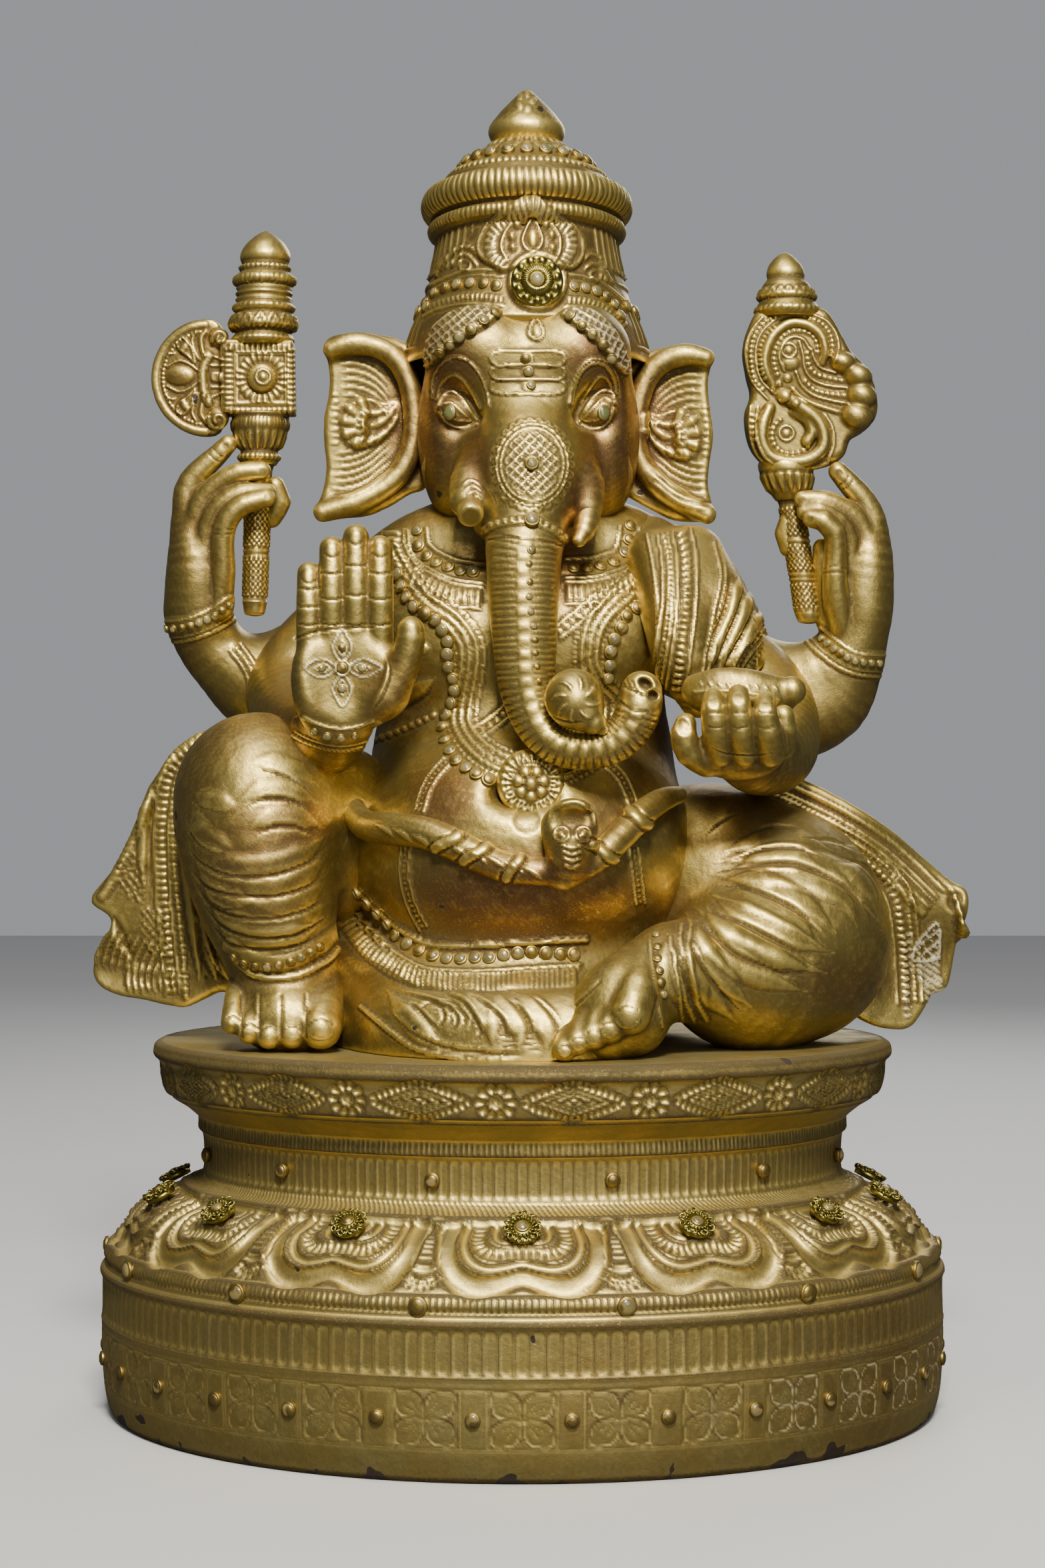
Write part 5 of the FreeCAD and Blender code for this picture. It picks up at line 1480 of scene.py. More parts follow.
def crown_skin():
    step = 0.8 * COARSE
    line = curve(CROWN_WALL, step)
    inner = [(10, 584), (30, 566), (38, 545), (42, 520), (48, 500), (52, 486), (55.5, 482.6)]
    count = int(330 / step)
    rings = inner + [tuple(station) for station in line] + [(8, 588.0)]
    skin = lathe(rings, count, (CROWN_X, CROWN_Y, 0))
    a = np.arctan2(skin.p[:, 0] - CROWN_X, -(skin.p[:, 1] - CROWN_Y)) % (2 * math.pi)
    outer = np.arange(len(skin.p)) >= len(inner) * count
    z = np.where(outer, skin.p[:, 2], UNSEEN)
    behind = 1 - smooth(0.3, 0.5, np.cos(a))
    lines = Relief(drum_cells(a, 60, 4.4), z)
    lines.bar([(0, 524), (0, 540)], 1.3, 0.9)
    lines.bar([(0, 490), (0, 508)], 1.3, 0.9)
    lines.h[z < 524] *= behind[z < 524]
    u, v = front_chart(skin.p)
    lines.h[(np.abs(u - 4) < 36 - 0.35 * (v - 520)) & (skin.p[:, 1] < CROWN_Y)] = 0.0
    rope = Relief(drum_cells(a + 0.0012 * (z - 556), 92, 3.2), z)
    rope.fill([(-1.15, 550.5), (-1.15, 562.5), (1.15, 562.5), (1.15, 550.5)], 1.3, soft=1.1)
    thin = Relief(drum_cells(a, 110, 2.5), z)
    thin.fill([(-0.85, 542.8), (-0.85, 547.2), (0.85, 547.2), (0.85, 542.8)], 0.7, soft=0.9)
    bead = Relief(drum_cells(a, 72, 3.3), z)
    bead.dome(0, 569.3, 1.7, 1.2)
    scales = Relief(drum_cells(a, 26, 5.6), z)
    scales.dome(0, 580.6, 2.6, 1.0)
    scales.dome(0, 585, 2.0, 0.8)
    band = Relief(drum_cells(a, 1, 300), z)
    for level, width, height in ((517.5, 1.8, 1.0), (509.5, 1.6, 0.9), (488, 2.2, 1.0), (523.5, 1.6, 0.9)):
        band.bar([(-150, level), (0, level), (150, level)], width, height)
    band.h *= behind
    front = skin.front()
    crown_relief(front)
    skin.raise_by(lines, rope, thin, bead, scales, band, front, grain=0.06, seed=11)
    skin.p[:, 2] += brim_tilt(skin.p)
    # between the brow panels the rim runs behind the forehead
    gap = smooth(-14, -9, u) * (1 - smooth(16, 21, u)) * (1 - smooth(500, 507, v))
    skin.p[:, 1] += 10 * gap * (skin.p[:, 1] < CROWN_Y)
    return skin


def brim_tilt(p):
    """The brim and dome lean back a little, so their front stands higher."""
    return -(p[:, 1] - CROWN_Y) * 0.075 * smooth(526, 546, p[:, 2]) * (1 - smooth(575, 590, p[:, 2]))


def crown_relief(r):
    """The crest, scrolls and bands over the brow."""
    bands = [([(-47, 517.5), (-38, 522.6), (-29, 526.0), (-19, 527.4), (-9, 526.6)], 1.8, 1.1),
             ([(-47, 515.4), (-38, 520.4), (-29, 523.8), (-19, 525.0), (-9, 524.2)], 1.0, 0.7),
             ([(20, 525.5), (29, 524), (38, 520.5), (47, 513)], 1.8, 1.1),
             ([(-46, 506), (-38, 509.6), (-25, 511.6), (-9, 510.8)], 1.4, 1.0),
             ([(20.5, 510.5), (30, 509.6), (40, 505), (48, 495)], 1.4, 1.0)]
    for path, width, height in bands:
        r.bar(path, width, height)
    for path in ([(-46, 509), (-38, 512), (-28, 514.6), (-18, 514.8), (-9, 513.6)],
                 [(21, 513.8), (30, 513), (40, 509), (48, 501)]):
        r.comb(path, -1.7, 1.7, 2.2, 1.1, duty=0.42)
    lobes = [(-8, 527), (-14, 529.5), (-19, 533), (-20.6, 538), (-17.4, 544.5), (-13, 549), (-7, 552.6),
             (-2, 555), (3, 557.6), (6.6, 556.6), (12, 552.6), (18, 549), (24, 545), (27.4, 540),
             (27.4, 533), (24, 528.6), (19, 527.5)]
    r.fill(lobes, 2.0, soft=1.4)
    r.bar(lobes, 1.7, 1.1)
    fringe = [(-8, 529), (-13.4, 533), (-14.4, 539), (-11.4, 544.4), (-5, 549), (1, 553), (4.5, 554.4),
              (9, 552), (15.5, 547.6), (21, 543), (22, 536.6), (18.6, 530)]
    r.comb(fringe, -2.6, 2.6, 2.3, 1.1, duty=0.4, silver=0.1)
    inner = [(-6.6, 531), (-9.4, 537), (-7.4, 543), (-2, 548), (4.5, 551.4), (11, 547.4), (16.4, 541.6),
             (16.6, 535), (14, 530)]
    r.bar(inner, 1.1, 1.1)
    for u, v in ((-4.2, 536.8), (-4.6, 541), (-2.2, 545.4), (1.2, 548.6), (13.4, 536.6), (13, 541.6),
                 (10.4, 545.6), (7.6, 548.8)):
        r.dome(u, v, 1.6, 1.6)
    drop = [(4.6, 547.6), (1.4, 543), (0.2, 538.6), (4.6, 534.6), (8.8, 538.6), (7.8, 543)]
    r.bar(drop, 1.2, 1.4, closed=True)
    r.dome(4.8, 540.0, 2.4, 1.6, squash=1.6)
    for path in ([(-38, 526), (-34, 533), (-28.5, 537.2), (-23, 536.6), (-19.6, 531.4)],
                 [(-33.6, 527.6), (-30.4, 532.4), (-26.4, 534.4), (-22.6, 531.6), (-20.4, 527.8)],
                 [(-40.6, 523.4), (-37.6, 529), (-34.6, 535)],
                 [(27, 529.4), (31, 534.4), (35.6, 532.4), (38.6, 526), (41.6, 521.4), (43.4, 523.6)],
                 [(28.4, 526.6), (31.4, 530), (35.4, 529.6), (37.6, 525.4), (39.6, 520.4)]):
        r.bar(path, 1.7, 1.3, taper=0.15)
    for cu, cv in ((-26.6, 529.4), (34, 524.6)):
        r.bar(hoop(cu, cv, 2.6, 2.6, 12), 1.1, 1.1, closed=True)
    # round plate behind the brooch
    r.dome(7, 521.6, 14.2, 2.4, flat=True)
    r.bar(hoop(7, 521.6, 13.0, 13.0, 30), 1.5, 1.0, closed=True)
    r.bar(hoop(7, 521.6, 10.8, 10.8, 26), 1.2, -0.8, closed=True)


def finial_skin():
    profile = [(13.5, 586.2), (15.2, 586.6), (16.6, 588.2), (17.8, 591), (17.6, 594), (15.8, 597),
               (12.6, 601), (8.6, 605.4), (4.6, 609.2), (2.0, 611.4), (0.4, 612)]
    line = [(8, 585.6)] + [tuple(p) for p in curve(profile, 1.0 * COARSE)]
    skin = lathe(line, int(100 / COARSE), (CROWN_X, CROWN_Y, 0))
    front = skin.front()
    front.flower(1.5, 606, 1.5, 5.2, 5, 0.6)
    return skin.raise_by(front, grain=0.08, seed=4)


def tusk_skins():
    """The broken tusk's stump, cut off square, and the whole tusk."""
    broken = Clay((-42, -96, 398), (-4, -36, 442), 0.8)
    broken.tube([at(-24, 426, -52), at(-24.5, 418, -62), at(-24.2, 414, -70)], [6.4, 6.0, 6.0], 1)
    broken.d = np.maximum(broken.d, cut_plane(broken, at(-24.2, 412, -72), (0.05, -0.78, -0.62)))
    whole = Clay((10, -92, 384), (46, -34, 440), 0.8)
    whole.tube([at(30, 424, -50), at(30, 413, -58), at(28.6, 406, -63), at(26.4, 401.6, -66)],
               [6.8, 6.2, 5.0, 3.2], 1)
    return from_clay(broken), from_clay(whole)


def cut_plane(clay, place, normal):
    """Distance to the keep side of a plane."""
    n = np.array(normal) / np.linalg.norm(normal)
    x, y, z = (a[tuple(slice(None) if i == j else None for j in range(3))] for i, a in enumerate(clay.axes))
    return ((x - place[0]) * n[0] + (y - place[1]) * n[1] + (z - place[2]) * n[2]).astype(np.float32)


def make_head():
    worked_piece("head_and_trunk", head_skin(), head_relief, "head_with_trunk", 0.05, 21)
    for name, outline, rim, leaf, side in (("right_ear", EAR_RIGHT, RIM_RIGHT, (-72.4, 457), -1),
                                           ("left_ear", EAR_LEFT, RIM_LEFT, (71.0, 451.5), 1)):
        skin = ear_skin(outline, rim)
        front = skin.front()
        ear_relief(front, leaf, side)
        gold_piece(name + "_shell", skin.raise_by(front, grain=0.06, seed=5), name)
    gold_piece("crown", crown_skin(), "crown_casting")
    gold_piece("finial", finial_skin(), "crown_finial")
    broken, whole = tusk_skins()
    gold_piece("tusk_broken_end", broken, "broken_tusk")
    gold_piece("tusk_whole", whole, "whole_tusk")


# ---------------------------------------------------------------- arms and what they hold
def limb_through(clay, points, radii, k, **more):
    """A limb through places given as (u, v, depth) in the front chart."""
    clay.tube([at(*p) for p in points], radii, k, **more)


RIGHT_BANGLE = [(-167, 360), (-157, 360.9), (-150, 363), (-143, 366.4), (-134, 372.6)]
LEFT_BANGLE = [(136.4, 358.4), (147, 349.6), (155.8, 345.2), (166.5, 344.2), (171, 344.6)]


def rear_right_arm_skin():
    clay = Clay((-178, -32, 300), (-44, 56, 458), 0.9)
    limb_through(clay, [(-76, 352, 22), (-104, 342, 20), (-124, 334, 14)], [23, 22, 19], 8)
    limb_through(clay, [(-122, 334, 14), (-137, 344, 10), (-147, 356, 7), (-152, 368, 4)],
                 [20, 17, 15.5, 14], 8)
    limb_through(clay, [(-150.5, 366, 2), (-151.5, 378, 0), (-151.5, 392, -1), (-154, 408, -1)],
                 [14.4, 15, 14, 9.5], 6)
    # index finger over the emblem's neck, the others closed round its handle
    limb_through(clay, [(-156, 406, -1), (-156.2, 424, -2), (-151, 433, -3), (-143, 440.4, -4),
                        (-137, 446.5, -5)],
                 [7.4, 6.4, 5.8, 5.0, 4.2], 2.5)
    limb_through(clay, [(-153, 400, -3), (-150, 417, -6), (-142, 427.6, -9), (-132, 433, -11),
                        (-121.5, 434, -11)],
                 [8, 6.2, 5.2, 4.8, 4.3], 1.6)
    limb_through(clay, [(-148, 394, -6), (-146, 408, -9), (-140, 418, -12), (-131, 423.6, -13),
                        (-118.6, 424, -13)],
                 [7.4, 6.0, 5.0, 4.4, 4.0], 1.6)
    limb_through(clay, [(-141.5, 370, -6), (-139.6, 388, -11), (-139.6, 402, -14), (-137, 411.6, -16),
                        (-130, 418, -17), (-119.4, 421, -16)], [6.6, 5.8, 5.2, 5.0, 4.6, 4.2], 1.2)
    limb_through(clay, [(-117, 412, 2), (-112.6, 419.6, 0), (-115, 427, -2)], [4.8, 4.8, 4.2], 2)
    return from_clay(clay)


def rear_right_arm_relief(r):
    """The bangle and arm band, finger nails and creases."""
    bangle(r, RIGHT_BANGLE)
    for u, v, turn in ((-138.5, 445.4, 45), (-120.8, 433.6, 0), (-118.6, 422.4, 0)):
        r.dome(u, v, 2.2, -0.4, squash=0.8, turn=turn)
    for u, v in ((-144.5, 439.6), (-142.6, 441.8)):
        r.bar([(u - 1.6, v + 2.6), (u + 0.6, v), (u + 3.2, v - 1.2)], 0.9, -0.4)
    for v in (407, 405):
        r.bar([(-144, v), (-139.5, v - 0.8), (-134.6, v)], 0.8, -0.35)
    arm_band(r, [(-134, 352), (-126, 340), (-124, 326)], 3.0)


def bangle(r, path):
    """A bangle across a wrist: a smooth band between two ridges, with a twisted cord on its outer side."""
    half = 4.0
    r.bar(path, 2 * half, 0.8)
    r.rails(path, half, 1.5, 0.7)
    r.rope(offset(path, -half - 2.0), 2.2, 1.0, 2.2)


def arm_band(r, path, half):
    """A beaded band round an upper arm."""
    r.bar(path, 2 * half, 0.8)
    r.beads(path, 1.4, 3.0, 1.0)
    r.rails(path, half, 1.2, 0.9)


def rear_left_arm_skin():
    clay = Clay((44, -32, 286), (186, 58, 448), 0.9)
    limb_through(clay, [(78, 350, 22), (108, 334, 20), (128, 322, 14)], [24, 23, 21], 8)
    limb_through(clay, [(126, 322, 14), (142, 326, 11), (151, 340, 8), (153.5, 352, 5)], [21, 19, 16, 14],
                 8)
    limb_through(clay, [(104, 338, 18), (121, 336, 14), (136, 339, 9), (148, 346, 6)],
                 [13, 16.5, 16.5, 13], 8)
    limb_through(clay, [(144, 366, 0), (141.5, 384, -2), (139.8, 398, -4)], [8, 6.5, 4.6], 3)
    limb_through(clay, [(154, 350, 4), (158, 366, 1), (159, 380, 0), (160.5, 394, -1), (162, 404, -1)],
                 [13.6, 14.2, 14, 12, 8.4], 6)
    limb_through(clay, [(162.5, 400, -1), (163, 411, -3), (159, 420, -4), (153, 427, -5), (147, 433.6, -6)],
                 [8, 6.4, 5.8, 5.4, 4.6], 2.5)
    limb_through(clay, [(162, 392, -3), (158, 407, -6), (150, 415.8, -9), (140, 420.2, -11),
                        (130.5, 420.4, -11)],
                 [8, 6.0, 5.2, 4.7, 4.2], 1.6)
    limb_through(clay, [(152, 390, -6), (152, 402, -9), (147, 411, -12), (138, 415.6, -13),
                        (131.5, 414.6, -13)],
                 [6.6, 5.2, 4.6, 4.4, 3.8], 1.4)
    limb_through(clay, [(149, 361, -5), (146.6, 372, -9), (145.4, 384, -12), (145.8, 397, -14),
                        (145, 405.6, -16), (140, 410.6, -17), (134.6, 411.6, -16)],
                        [6.4, 6.4, 5.8, 5.2, 5.0, 4.8, 4.2], 1.2)
    limb_through(clay, [(124, 398, 1), (121.6, 405, 0), (123.4, 411, -1)], [4.4, 4.2, 3.8], 2)
    return from_clay(clay)


def rear_left_arm_relief(r):
    """The bangle, finger nails and creases."""
    bangle(r, LEFT_BANGLE)
    for u, v in ((147.4, 433), (129.6, 420.6), (133.6, 411.6)):
        r.dome(u, v, 2.2, -0.4, squash=0.8)
    for u, v in ((152.6, 427), (150.6, 429)):
        r.bar([(u - 3.4, v - 1.8), (u, v + 0.4), (u + 1.6, v + 3)], 0.9, -0.4)
    for v in (388.6, 386.2):
        r.bar([(140, v), (145.4, v + 0.8), (150.6, v)], 0.8, -0.35)
    r.bar([(120, 345), (128, 336), (132, 322)], 2.6, 0.8, taper=0.3)


def front_right_arm_skin():
    clay = Clay((-132, -106, 284), (-34, 46, 414), 0.75)
    limb_through(clay, [(-66, 368, 8), (-88, 352, 6), (-105, 332, -4), (-103, 316, -30), (-93, 310, -52),
                        (-86, 317, -68)], [24, 24.5, 23, 20.5, 18, 15.5], 8)
    # the open palm, fingers together, thumb apart
    clay.egg(at(-81, 340, -76), (22.5, 9.5, 25), 8)
    clay.egg(at(-66, 334, -79), (11, 9, 16), 6)
    clay.egg(at(-99, 336, -79), (8, 8, 18), 6)
    for u, root, tip, size in ((-99.5, 352, 386, 5.6), (-88.8, 354, 397.5, 6.0), (-77.6, 354, 403, 6.2),
                               (-66.4, 354, 398, 6.0)):
        limb_through(clay, [(u, root, -77), (u, (root + tip) / 2, -79), (u, tip, -76)],
                     [size, size, size * 0.93], 1.3, squash=(1, 1.05, 1))
    limb_through(clay, [(-62, 330, -80), (-55, 344, -83), (-52, 356, -85), (-52, 360, -85)],
                 [9, 7, 6.4, 5.8], 3.5)
    clay.egg(at(-83, 341, -88), (15, 4, 15), 6, carve=True)
    return from_clay(clay)


def front_right_arm_relief(r):
    """Palm lines, the painted four-petal flower, finger creases and the bangle."""
    for u, top in ((-99.5, 390), (-88.8, 402), (-77.6, 408), (-66.4, 402)):
        for level in (0.0, 0.30, 0.60):
            v = 362 + (top - 362) * level
            r.bar([(u - 4.8, v + 0.6), (u, v), (u + 4.8, v + 0.6)], 1.2, -0.75)
        r.dome(u, top - 5, 3.2, 0.4)
        r.bar([(u - 3.4, top - 7), (u, top - 8.6), (u + 3.4, top - 7)], 0.9, -0.3)
    r.bar([(-106, 356), (-96, 359), (-84, 360.5), (-70, 361)], 1.4, -0.8)
    r.bar([(-64, 350), (-62, 340), (-66, 328), (-72, 320)], 1.6, -0.9, taper=0.3)
    cu, cv = -84, 342
    for a, far in ((90, 18.5), (180, 17.5), (0, 18.5), (270, 18)):
        along = (math.cos(math.radians(a)), math.sin(math.radians(a)))
        across = (-along[1], along[0])
        loop = [(cu + along[0] * s + across[0] * w, cv + along[1] * s + across[1] * w)
                for s, w in ((3, 0), (7, 3.6), (11, 4.2), (15, 2.2), (far, 0), (15, -2.2), (11, -4.2),
                             (7, -3.6))]
        r.bar(loop, 0.85, 0.5, closed=True, silver=0.7)
        drop = [(cu + along[0] * s + across[0] * w, cv + along[1] * s + across[1] * w)
                for s, w in ((5.5, 0), (8.5, 1.9), (11, 1.2), (13, 0), (11, -1.2), (8.5, -1.9))]
        r.bar(drop, 0.8, 0.5, closed=True, silver=0.35)
    r.bar(hoop(cu, cv, 3.4, 3.4, 14), 1.0, 0.8, closed=True)
    bangle(r, [(-104, 316), (-97, 312.5), (-88, 310), (-78, 310.5), (-68, 314)])


def front_left_arm_skin():
    clay = Clay((40, -118, 268), (146, 46, 410), 0.85)
    limb_through(clay, [(68, 366, 8), (92, 346, 6), (112, 325, -4), (117, 306, -30), (110, 300, -56),
                        (103, 301, -70)], [21, 23, 23, 20.5, 16.5, 13.5], 8)
    clay.egg(at(101, 303, -84), (20, 12, 12.5), 6)
    for u, tip in ((89, 327.5), (100.6, 329.4), (113, 325.6)):
        limb_through(clay, [(u + 2.5, 303, -94), (u + 1.2, 313, -102), (u, tip - 5, -104), (u, tip, -99)],
                     [6.6, 6.2, 5.6, 4.8], 1.2)
    limb_through(clay, [(121, 306, -88), (122, 314, -94), (121.6, 320, -95)], [6.0, 5.4, 4.6], 1.8)
    limb_through(clay, [(86, 299, -88), (78, 303, -95), (75, 311, -98), (76, 316, -97)],
                 [7.4, 6.4, 5.8, 4.8], 2.4)
    return from_clay(clay)


def front_left_arm_relief(r):
    """Finger nails, creases and the line of the palm."""
    for u, v in ((89, 327), (100.6, 329), (113, 325)):
        r.dome(u, v - 1, 2.4, -0.4, squash=1.2)
    for u in (90.2, 101.4, 113.8):
        for v in (314, 321):
            r.bar([(u - 3.6, v + 0.8), (u, v), (u + 3.6, v + 0.8)], 0.9, -0.45)
    r.dome(75, 314.5, 3.4, -0.9, squash=1.3, turn=20)
    r.bar([(86, 306), (96, 302), (110, 301.4), (120, 304)], 1.1, -0.5, taper=0.3)


def axe_skins():
    """The axe's turned stem and its turned top."""
    foot, head = np.array(at(-124.8, 371, 0)), np.array(at(-121.6, 476, 0))
    way = (head - foot) / (head[2] - foot[2])
    lean = (way[0], way[1])
    stations = [(1.5, 366.2), (4.4, 367), (5.2, 369.4), (5.4, 371.4), (5.9, 373.4), (5.6, 375),
                (5.7, 392.6), (6.3, 394), (5.8, 395.2), (6.3, 396.6), (5.8, 398), (6.0, 416), (6.4, 434),
                (8.2, 436.6), (9.2, 438.4), (9.6, 440), (8.8, 441.6), (8.6, 443), (10.2, 446), (11.6, 450),
                (12.2, 451.6), (13.0, 452.8), (13.4, 455.6), (12.8, 458), (14, 460)]
    top = [(13, 492), (14.2, 494), (13.6, 496.6), (12.6, 498.2), (15.2, 500), (15.6, 502.6), (14.2, 505.6),
           (13, 507), (14.2, 508.4), (13.6, 511), (12.4, 512), (13.4, 513.2), (12.4, 514.6), (13.4, 516),
           (12.4, 517.4), (13.2, 518.6), (12.6, 519.4), (14.2, 521), (14.4, 523), (12.8, 525),
           (11.4, 526.2), (11.8, 528), (10.4, 529.4), (11.0, 530.8), (11.7, 533), (11.2, 535.6),
           (9.2, 539), (6.2, 542), (3.2, 544.2), (0.6, 545.4)]
    stem = turned_work(stations, foot, lean, 371, (("beads", 440, 2.6, 24), ("comb", 455.4, 4.0, 44),
                                                   ("flutes", 447.4, 8.4, 18), ("grain", 384, 16, 15),
                                                   ("grain", 408, 18, 15)))
    crown = turned_work(top, foot, lean, 371, (("beads", 494.6, 2.6, 34), ("zigzag", 502.4, 5.6, 16),
                                               ("beads", 509.6, 2.6, 34), ("beads", 528, 2.2, 30),
                                               ("comb", 522, 3.0, 60)))
    return stem, crown


def turned_work(stations, foot, lean, level, work):
    """A turned stem leaning along a way, with rows of work round it: (kind, height, size, count)."""
    line = curve(stations, 0.8 * COARSE)
    count = int(96 / COARSE)
    skin = lathe([(max(reach, 0.05), z - level) for reach, z in line], count, foot, lean)
    angle = np.tile(np.linspace(0, 2 * math.pi, count, endpoint=False), len(line))
    z = np.repeat(line[:, 1], count)
    worked = []
    for kind, middle, size, number in work:
        pitch = 2 * math.pi * float(np.interp(middle, line[:, 1], line[:, 0])) / number
        chart = Relief(drum_cells(angle, number, pitch), z)
        low, high = middle - size / 2, middle + size / 2
        if kind == "beads":
            chart.dome(0, middle, min(pitch, size) / 2, 0.8)
        elif kind == "comb":
            chart.bar([(0, low), (0, high)], pitch * 0.55, 0.6)
        elif kind == "flutes":
            loop = [(-pitch * 0.36, high), (pitch * 0.36, high), (pitch * 0.30, middle), (0, low),
                    (-pitch * 0.30, middle)]
            chart.fill(loop, 0.8, soft=0.9)
            chart.bar([(0, high - 1), (0, low + 2)], 0.8, 0.5)
        elif kind == "zigzag":
            chart.bar([(-pitch / 2, low), (0, high), (pitch / 2, low)], 1.3, 1.0)
            chart.dome(0, low + 0.8, 1.4, 0.8)
        elif kind == "grain":
            for k, height in enumerate(np.arange(low, high, pitch * 0.62)):
                chart.dome(pitch * (0.28 if k % 2 else -0.28), height, 0.85, 0.75)
        worked.append(chart)
    return skin.raise_by(*worked, grain=0.05, seed=31)


def axe_head_skin():
    clay = Clay((-180, -16, 440), (-98, 20, 512), 0.62)
    block = seen_outline([(-139.5, 460), (-140, 494), (-106.5, 493.5), (-106, 460)], 0)
    clay.plate(densely(block, 4), 0.5, 9.5, 1.2)
    half_disc = arc(-147, 477, 26, 27, 88, 272, 22) + [(-141, 452), (-139, 462), (-138, 477), (-139, 492),
                                                       (-141, 502)]
    clay.plate(seen_outline(half_disc, 0), 0.0, lambda x, z: 5.2 - 3.2 * smooth(-150, -172, x), 1.6)
    clay.tube([at(-141.5, 496, -4), at(-141.5, 496, 4)], [4.6, 4.6], 1)
    clay.tube([at(-142, 458.5, -4), at(-142, 458.5, 4)], [5.2, 5.2], 1)
    return from_clay(clay)


def densely(corners, step):
    """Corners with points added along straight edges, so a smooth line keeps them sharp."""
    made = []
    for a, b in zip(corners, corners[1:] + corners[:1]):
        a, b = np.array(a), np.array(b)
        n = max(2, int(np.linalg.norm(b - a) / step))
        made += [tuple(a + (b - a) * t) for t in np.linspace(0, 1, n, endpoint=False)]
        made.append(tuple(b - (b - a) * 0.01))
    return made


def axe_head_relief(r):
    """The blade's bud and petals, and the sunburst block behind it."""
    r.bar(arc(-147, 477, 24.0, 25.0, 92, 268, 26), 3.6, 1.0)
    r.beads(arc(-147, 477, 20.6, 21.8, 96, 264, 24), 0.9, 2.0, 0.8)
    r.bar(spiral(-141, 495.6, 3.6, 1.0, 200, -420), 1.5, 1.2)
    r.bar(spiral(-142, 457.6, 4.4, 1.2, 160, 420), 1.7, 1.2)
    r.dome(-159.5, 478.4, 4.6, 2.4, squash=1.5, turn=90)
    middle = 477.9
    for turn in (1, -1):
        def up(points):
            return [(u, middle + turn * dv) for u, dv in points]
        r.bar(up([(-151, 2.5), (-155, 5.6), (-160, 7.2), (-165.5, 4.6)]), 1.3, 1.0)
        leaf = up([(-152.5, 6), (-156, 9.5), (-160, 12.6), (-161, 16), (-158, 18), (-155, 15), (-153, 10)])
        r.fill(leaf, 0.8, soft=1.2)
        r.bar(leaf, 1.1, 0.9, closed=True)
        r.dome(-157.4, middle + turn * 13.4, 1.7, 0.9, squash=1.7, turn=-turn * 30)
        r.bar(up([(-150.8, 8), (-152.6, 12), (-153.8, 17), (-152, 20.6)]), 1.5, 1.1)
        r.bar(up([(-148.4, 9.6), (-149.4, 14), (-149.6, 18), (-147.4, 21)]), 2.4, 1.4)
        r.bar(up([(-161, 10.4), (-164, 10.6), (-166, 8.4)]), 1.2, 0.8, taper=0.3)
        r.bar(up([(-139.6, 5.0), (-145, 5.0)]), 1.2, 0.9)
        r.bar(up([(-139.6, 7.6), (-144, 9.4)]), 1.2, 0.9)
    r.bar([(-146.2, 487.6), (-148.6, 482), (-149, 477), (-148.4, 471), (-146.2, 465.6)], 4.2, 1.9)
    r.bar([(-144.6, 486.6), (-146.6, 481), (-146.8, 477), (-146.2, 471.6), (-144.8, 467)], 1.0, 0.8)
    r.fill([(-144.8, 479.6), (-140.4, 479.6), (-140.4, 475.6), (-144.8, 475.6)], 1.2, soft=0.8)
    border = [(-137.0, 491.6), (-107.6, 491.2), (-107.2, 461.2), (-136.8, 461.2)]
    for a, b in zip(border, border[1:] + border[:1]):
        r.comb([a, b], -2.2, 2.2, 2.5, 1.0, duty=0.45)
    for near, width in ((24.8, 0.9), (22.6, 1.0)):
        half = near / 2
        square = densely([(-121.8 - half, 477.2 + half), (-121.8 + half, 477.2 + half),
                          (-121.8 + half, 477.2 - half), (-121.8 - half, 477.2 - half)], 4)
        r.bar(square, width, 0.8, closed=True)
    cu, cv = -121.4, 477.2
    r.flower(cu, cv, 7.6, 12.2, 22, 1.0)
    r.dome(cu, cv, 7.2, 2.6, flat=True)
    r.dome(cu, cv, 5.6, 1.0)
    r.bar(hoop(cu + 0.8, cv, 3.4, 3.4, 16), 0.9, 0.7, closed=True)
    r.dome(cu + 0.8, cv, 1.7, 0.7)


def noose_skins():
    """The noose's turned stem and its turned top."""
    foot, neck = np.array(at(133, 366, 0)), np.array(at(122.5, 436, 0))
    way = (neck - foot) / (neck[2] - foot[2])
    stations = [(1.5, 361.6), (4.6, 362.4), (5.6, 364.6), (6.0, 366.6), (5.8, 368.6), (5.7, 381),
                (6.3, 382.2), (5.8, 383.4), (6.3, 384.6), (5.8, 386), (5.8, 399), (6.4, 400.2),
                (5.8, 401.4), (5.8, 417), (7.0, 419), (8.6, 421.6), (10.8, 427), (12.2, 431.4),
                (12.8, 433), (12.6, 436), (11, 438)]
    stem = turned_work(stations, foot, (way[0], way[1]), 365,
                       (("flutes", 426.6, 8.6, 16), ("grain", 374.6, 11, 15),
                                                               ("grain", 392.4, 11, 15),
                                                               ("grain", 409, 12, 15)))
    top_foot = np.array(at(123.6, 505, 0))
    top = [(13.6, 505), (15.0, 507), (15.0, 509), (13.6, 511.4), (12.6, 513), (13.4, 514.6), (12.0, 517.6),
           (10.8, 520.4), (9.6, 521.8), (8.6, 523), (8.9, 525), (8.6, 527.2), (7.2, 530), (5.0, 532.6),
           (2.6, 534.6), (0.6, 535.6)]
    crown = turned_work(top, top_foot, (-0.05, 0), 505, (("beads", 508.2, 2.8, 30),
                                                         ("zigzag", 515.6, 4.6, 20)))
    return stem, crown


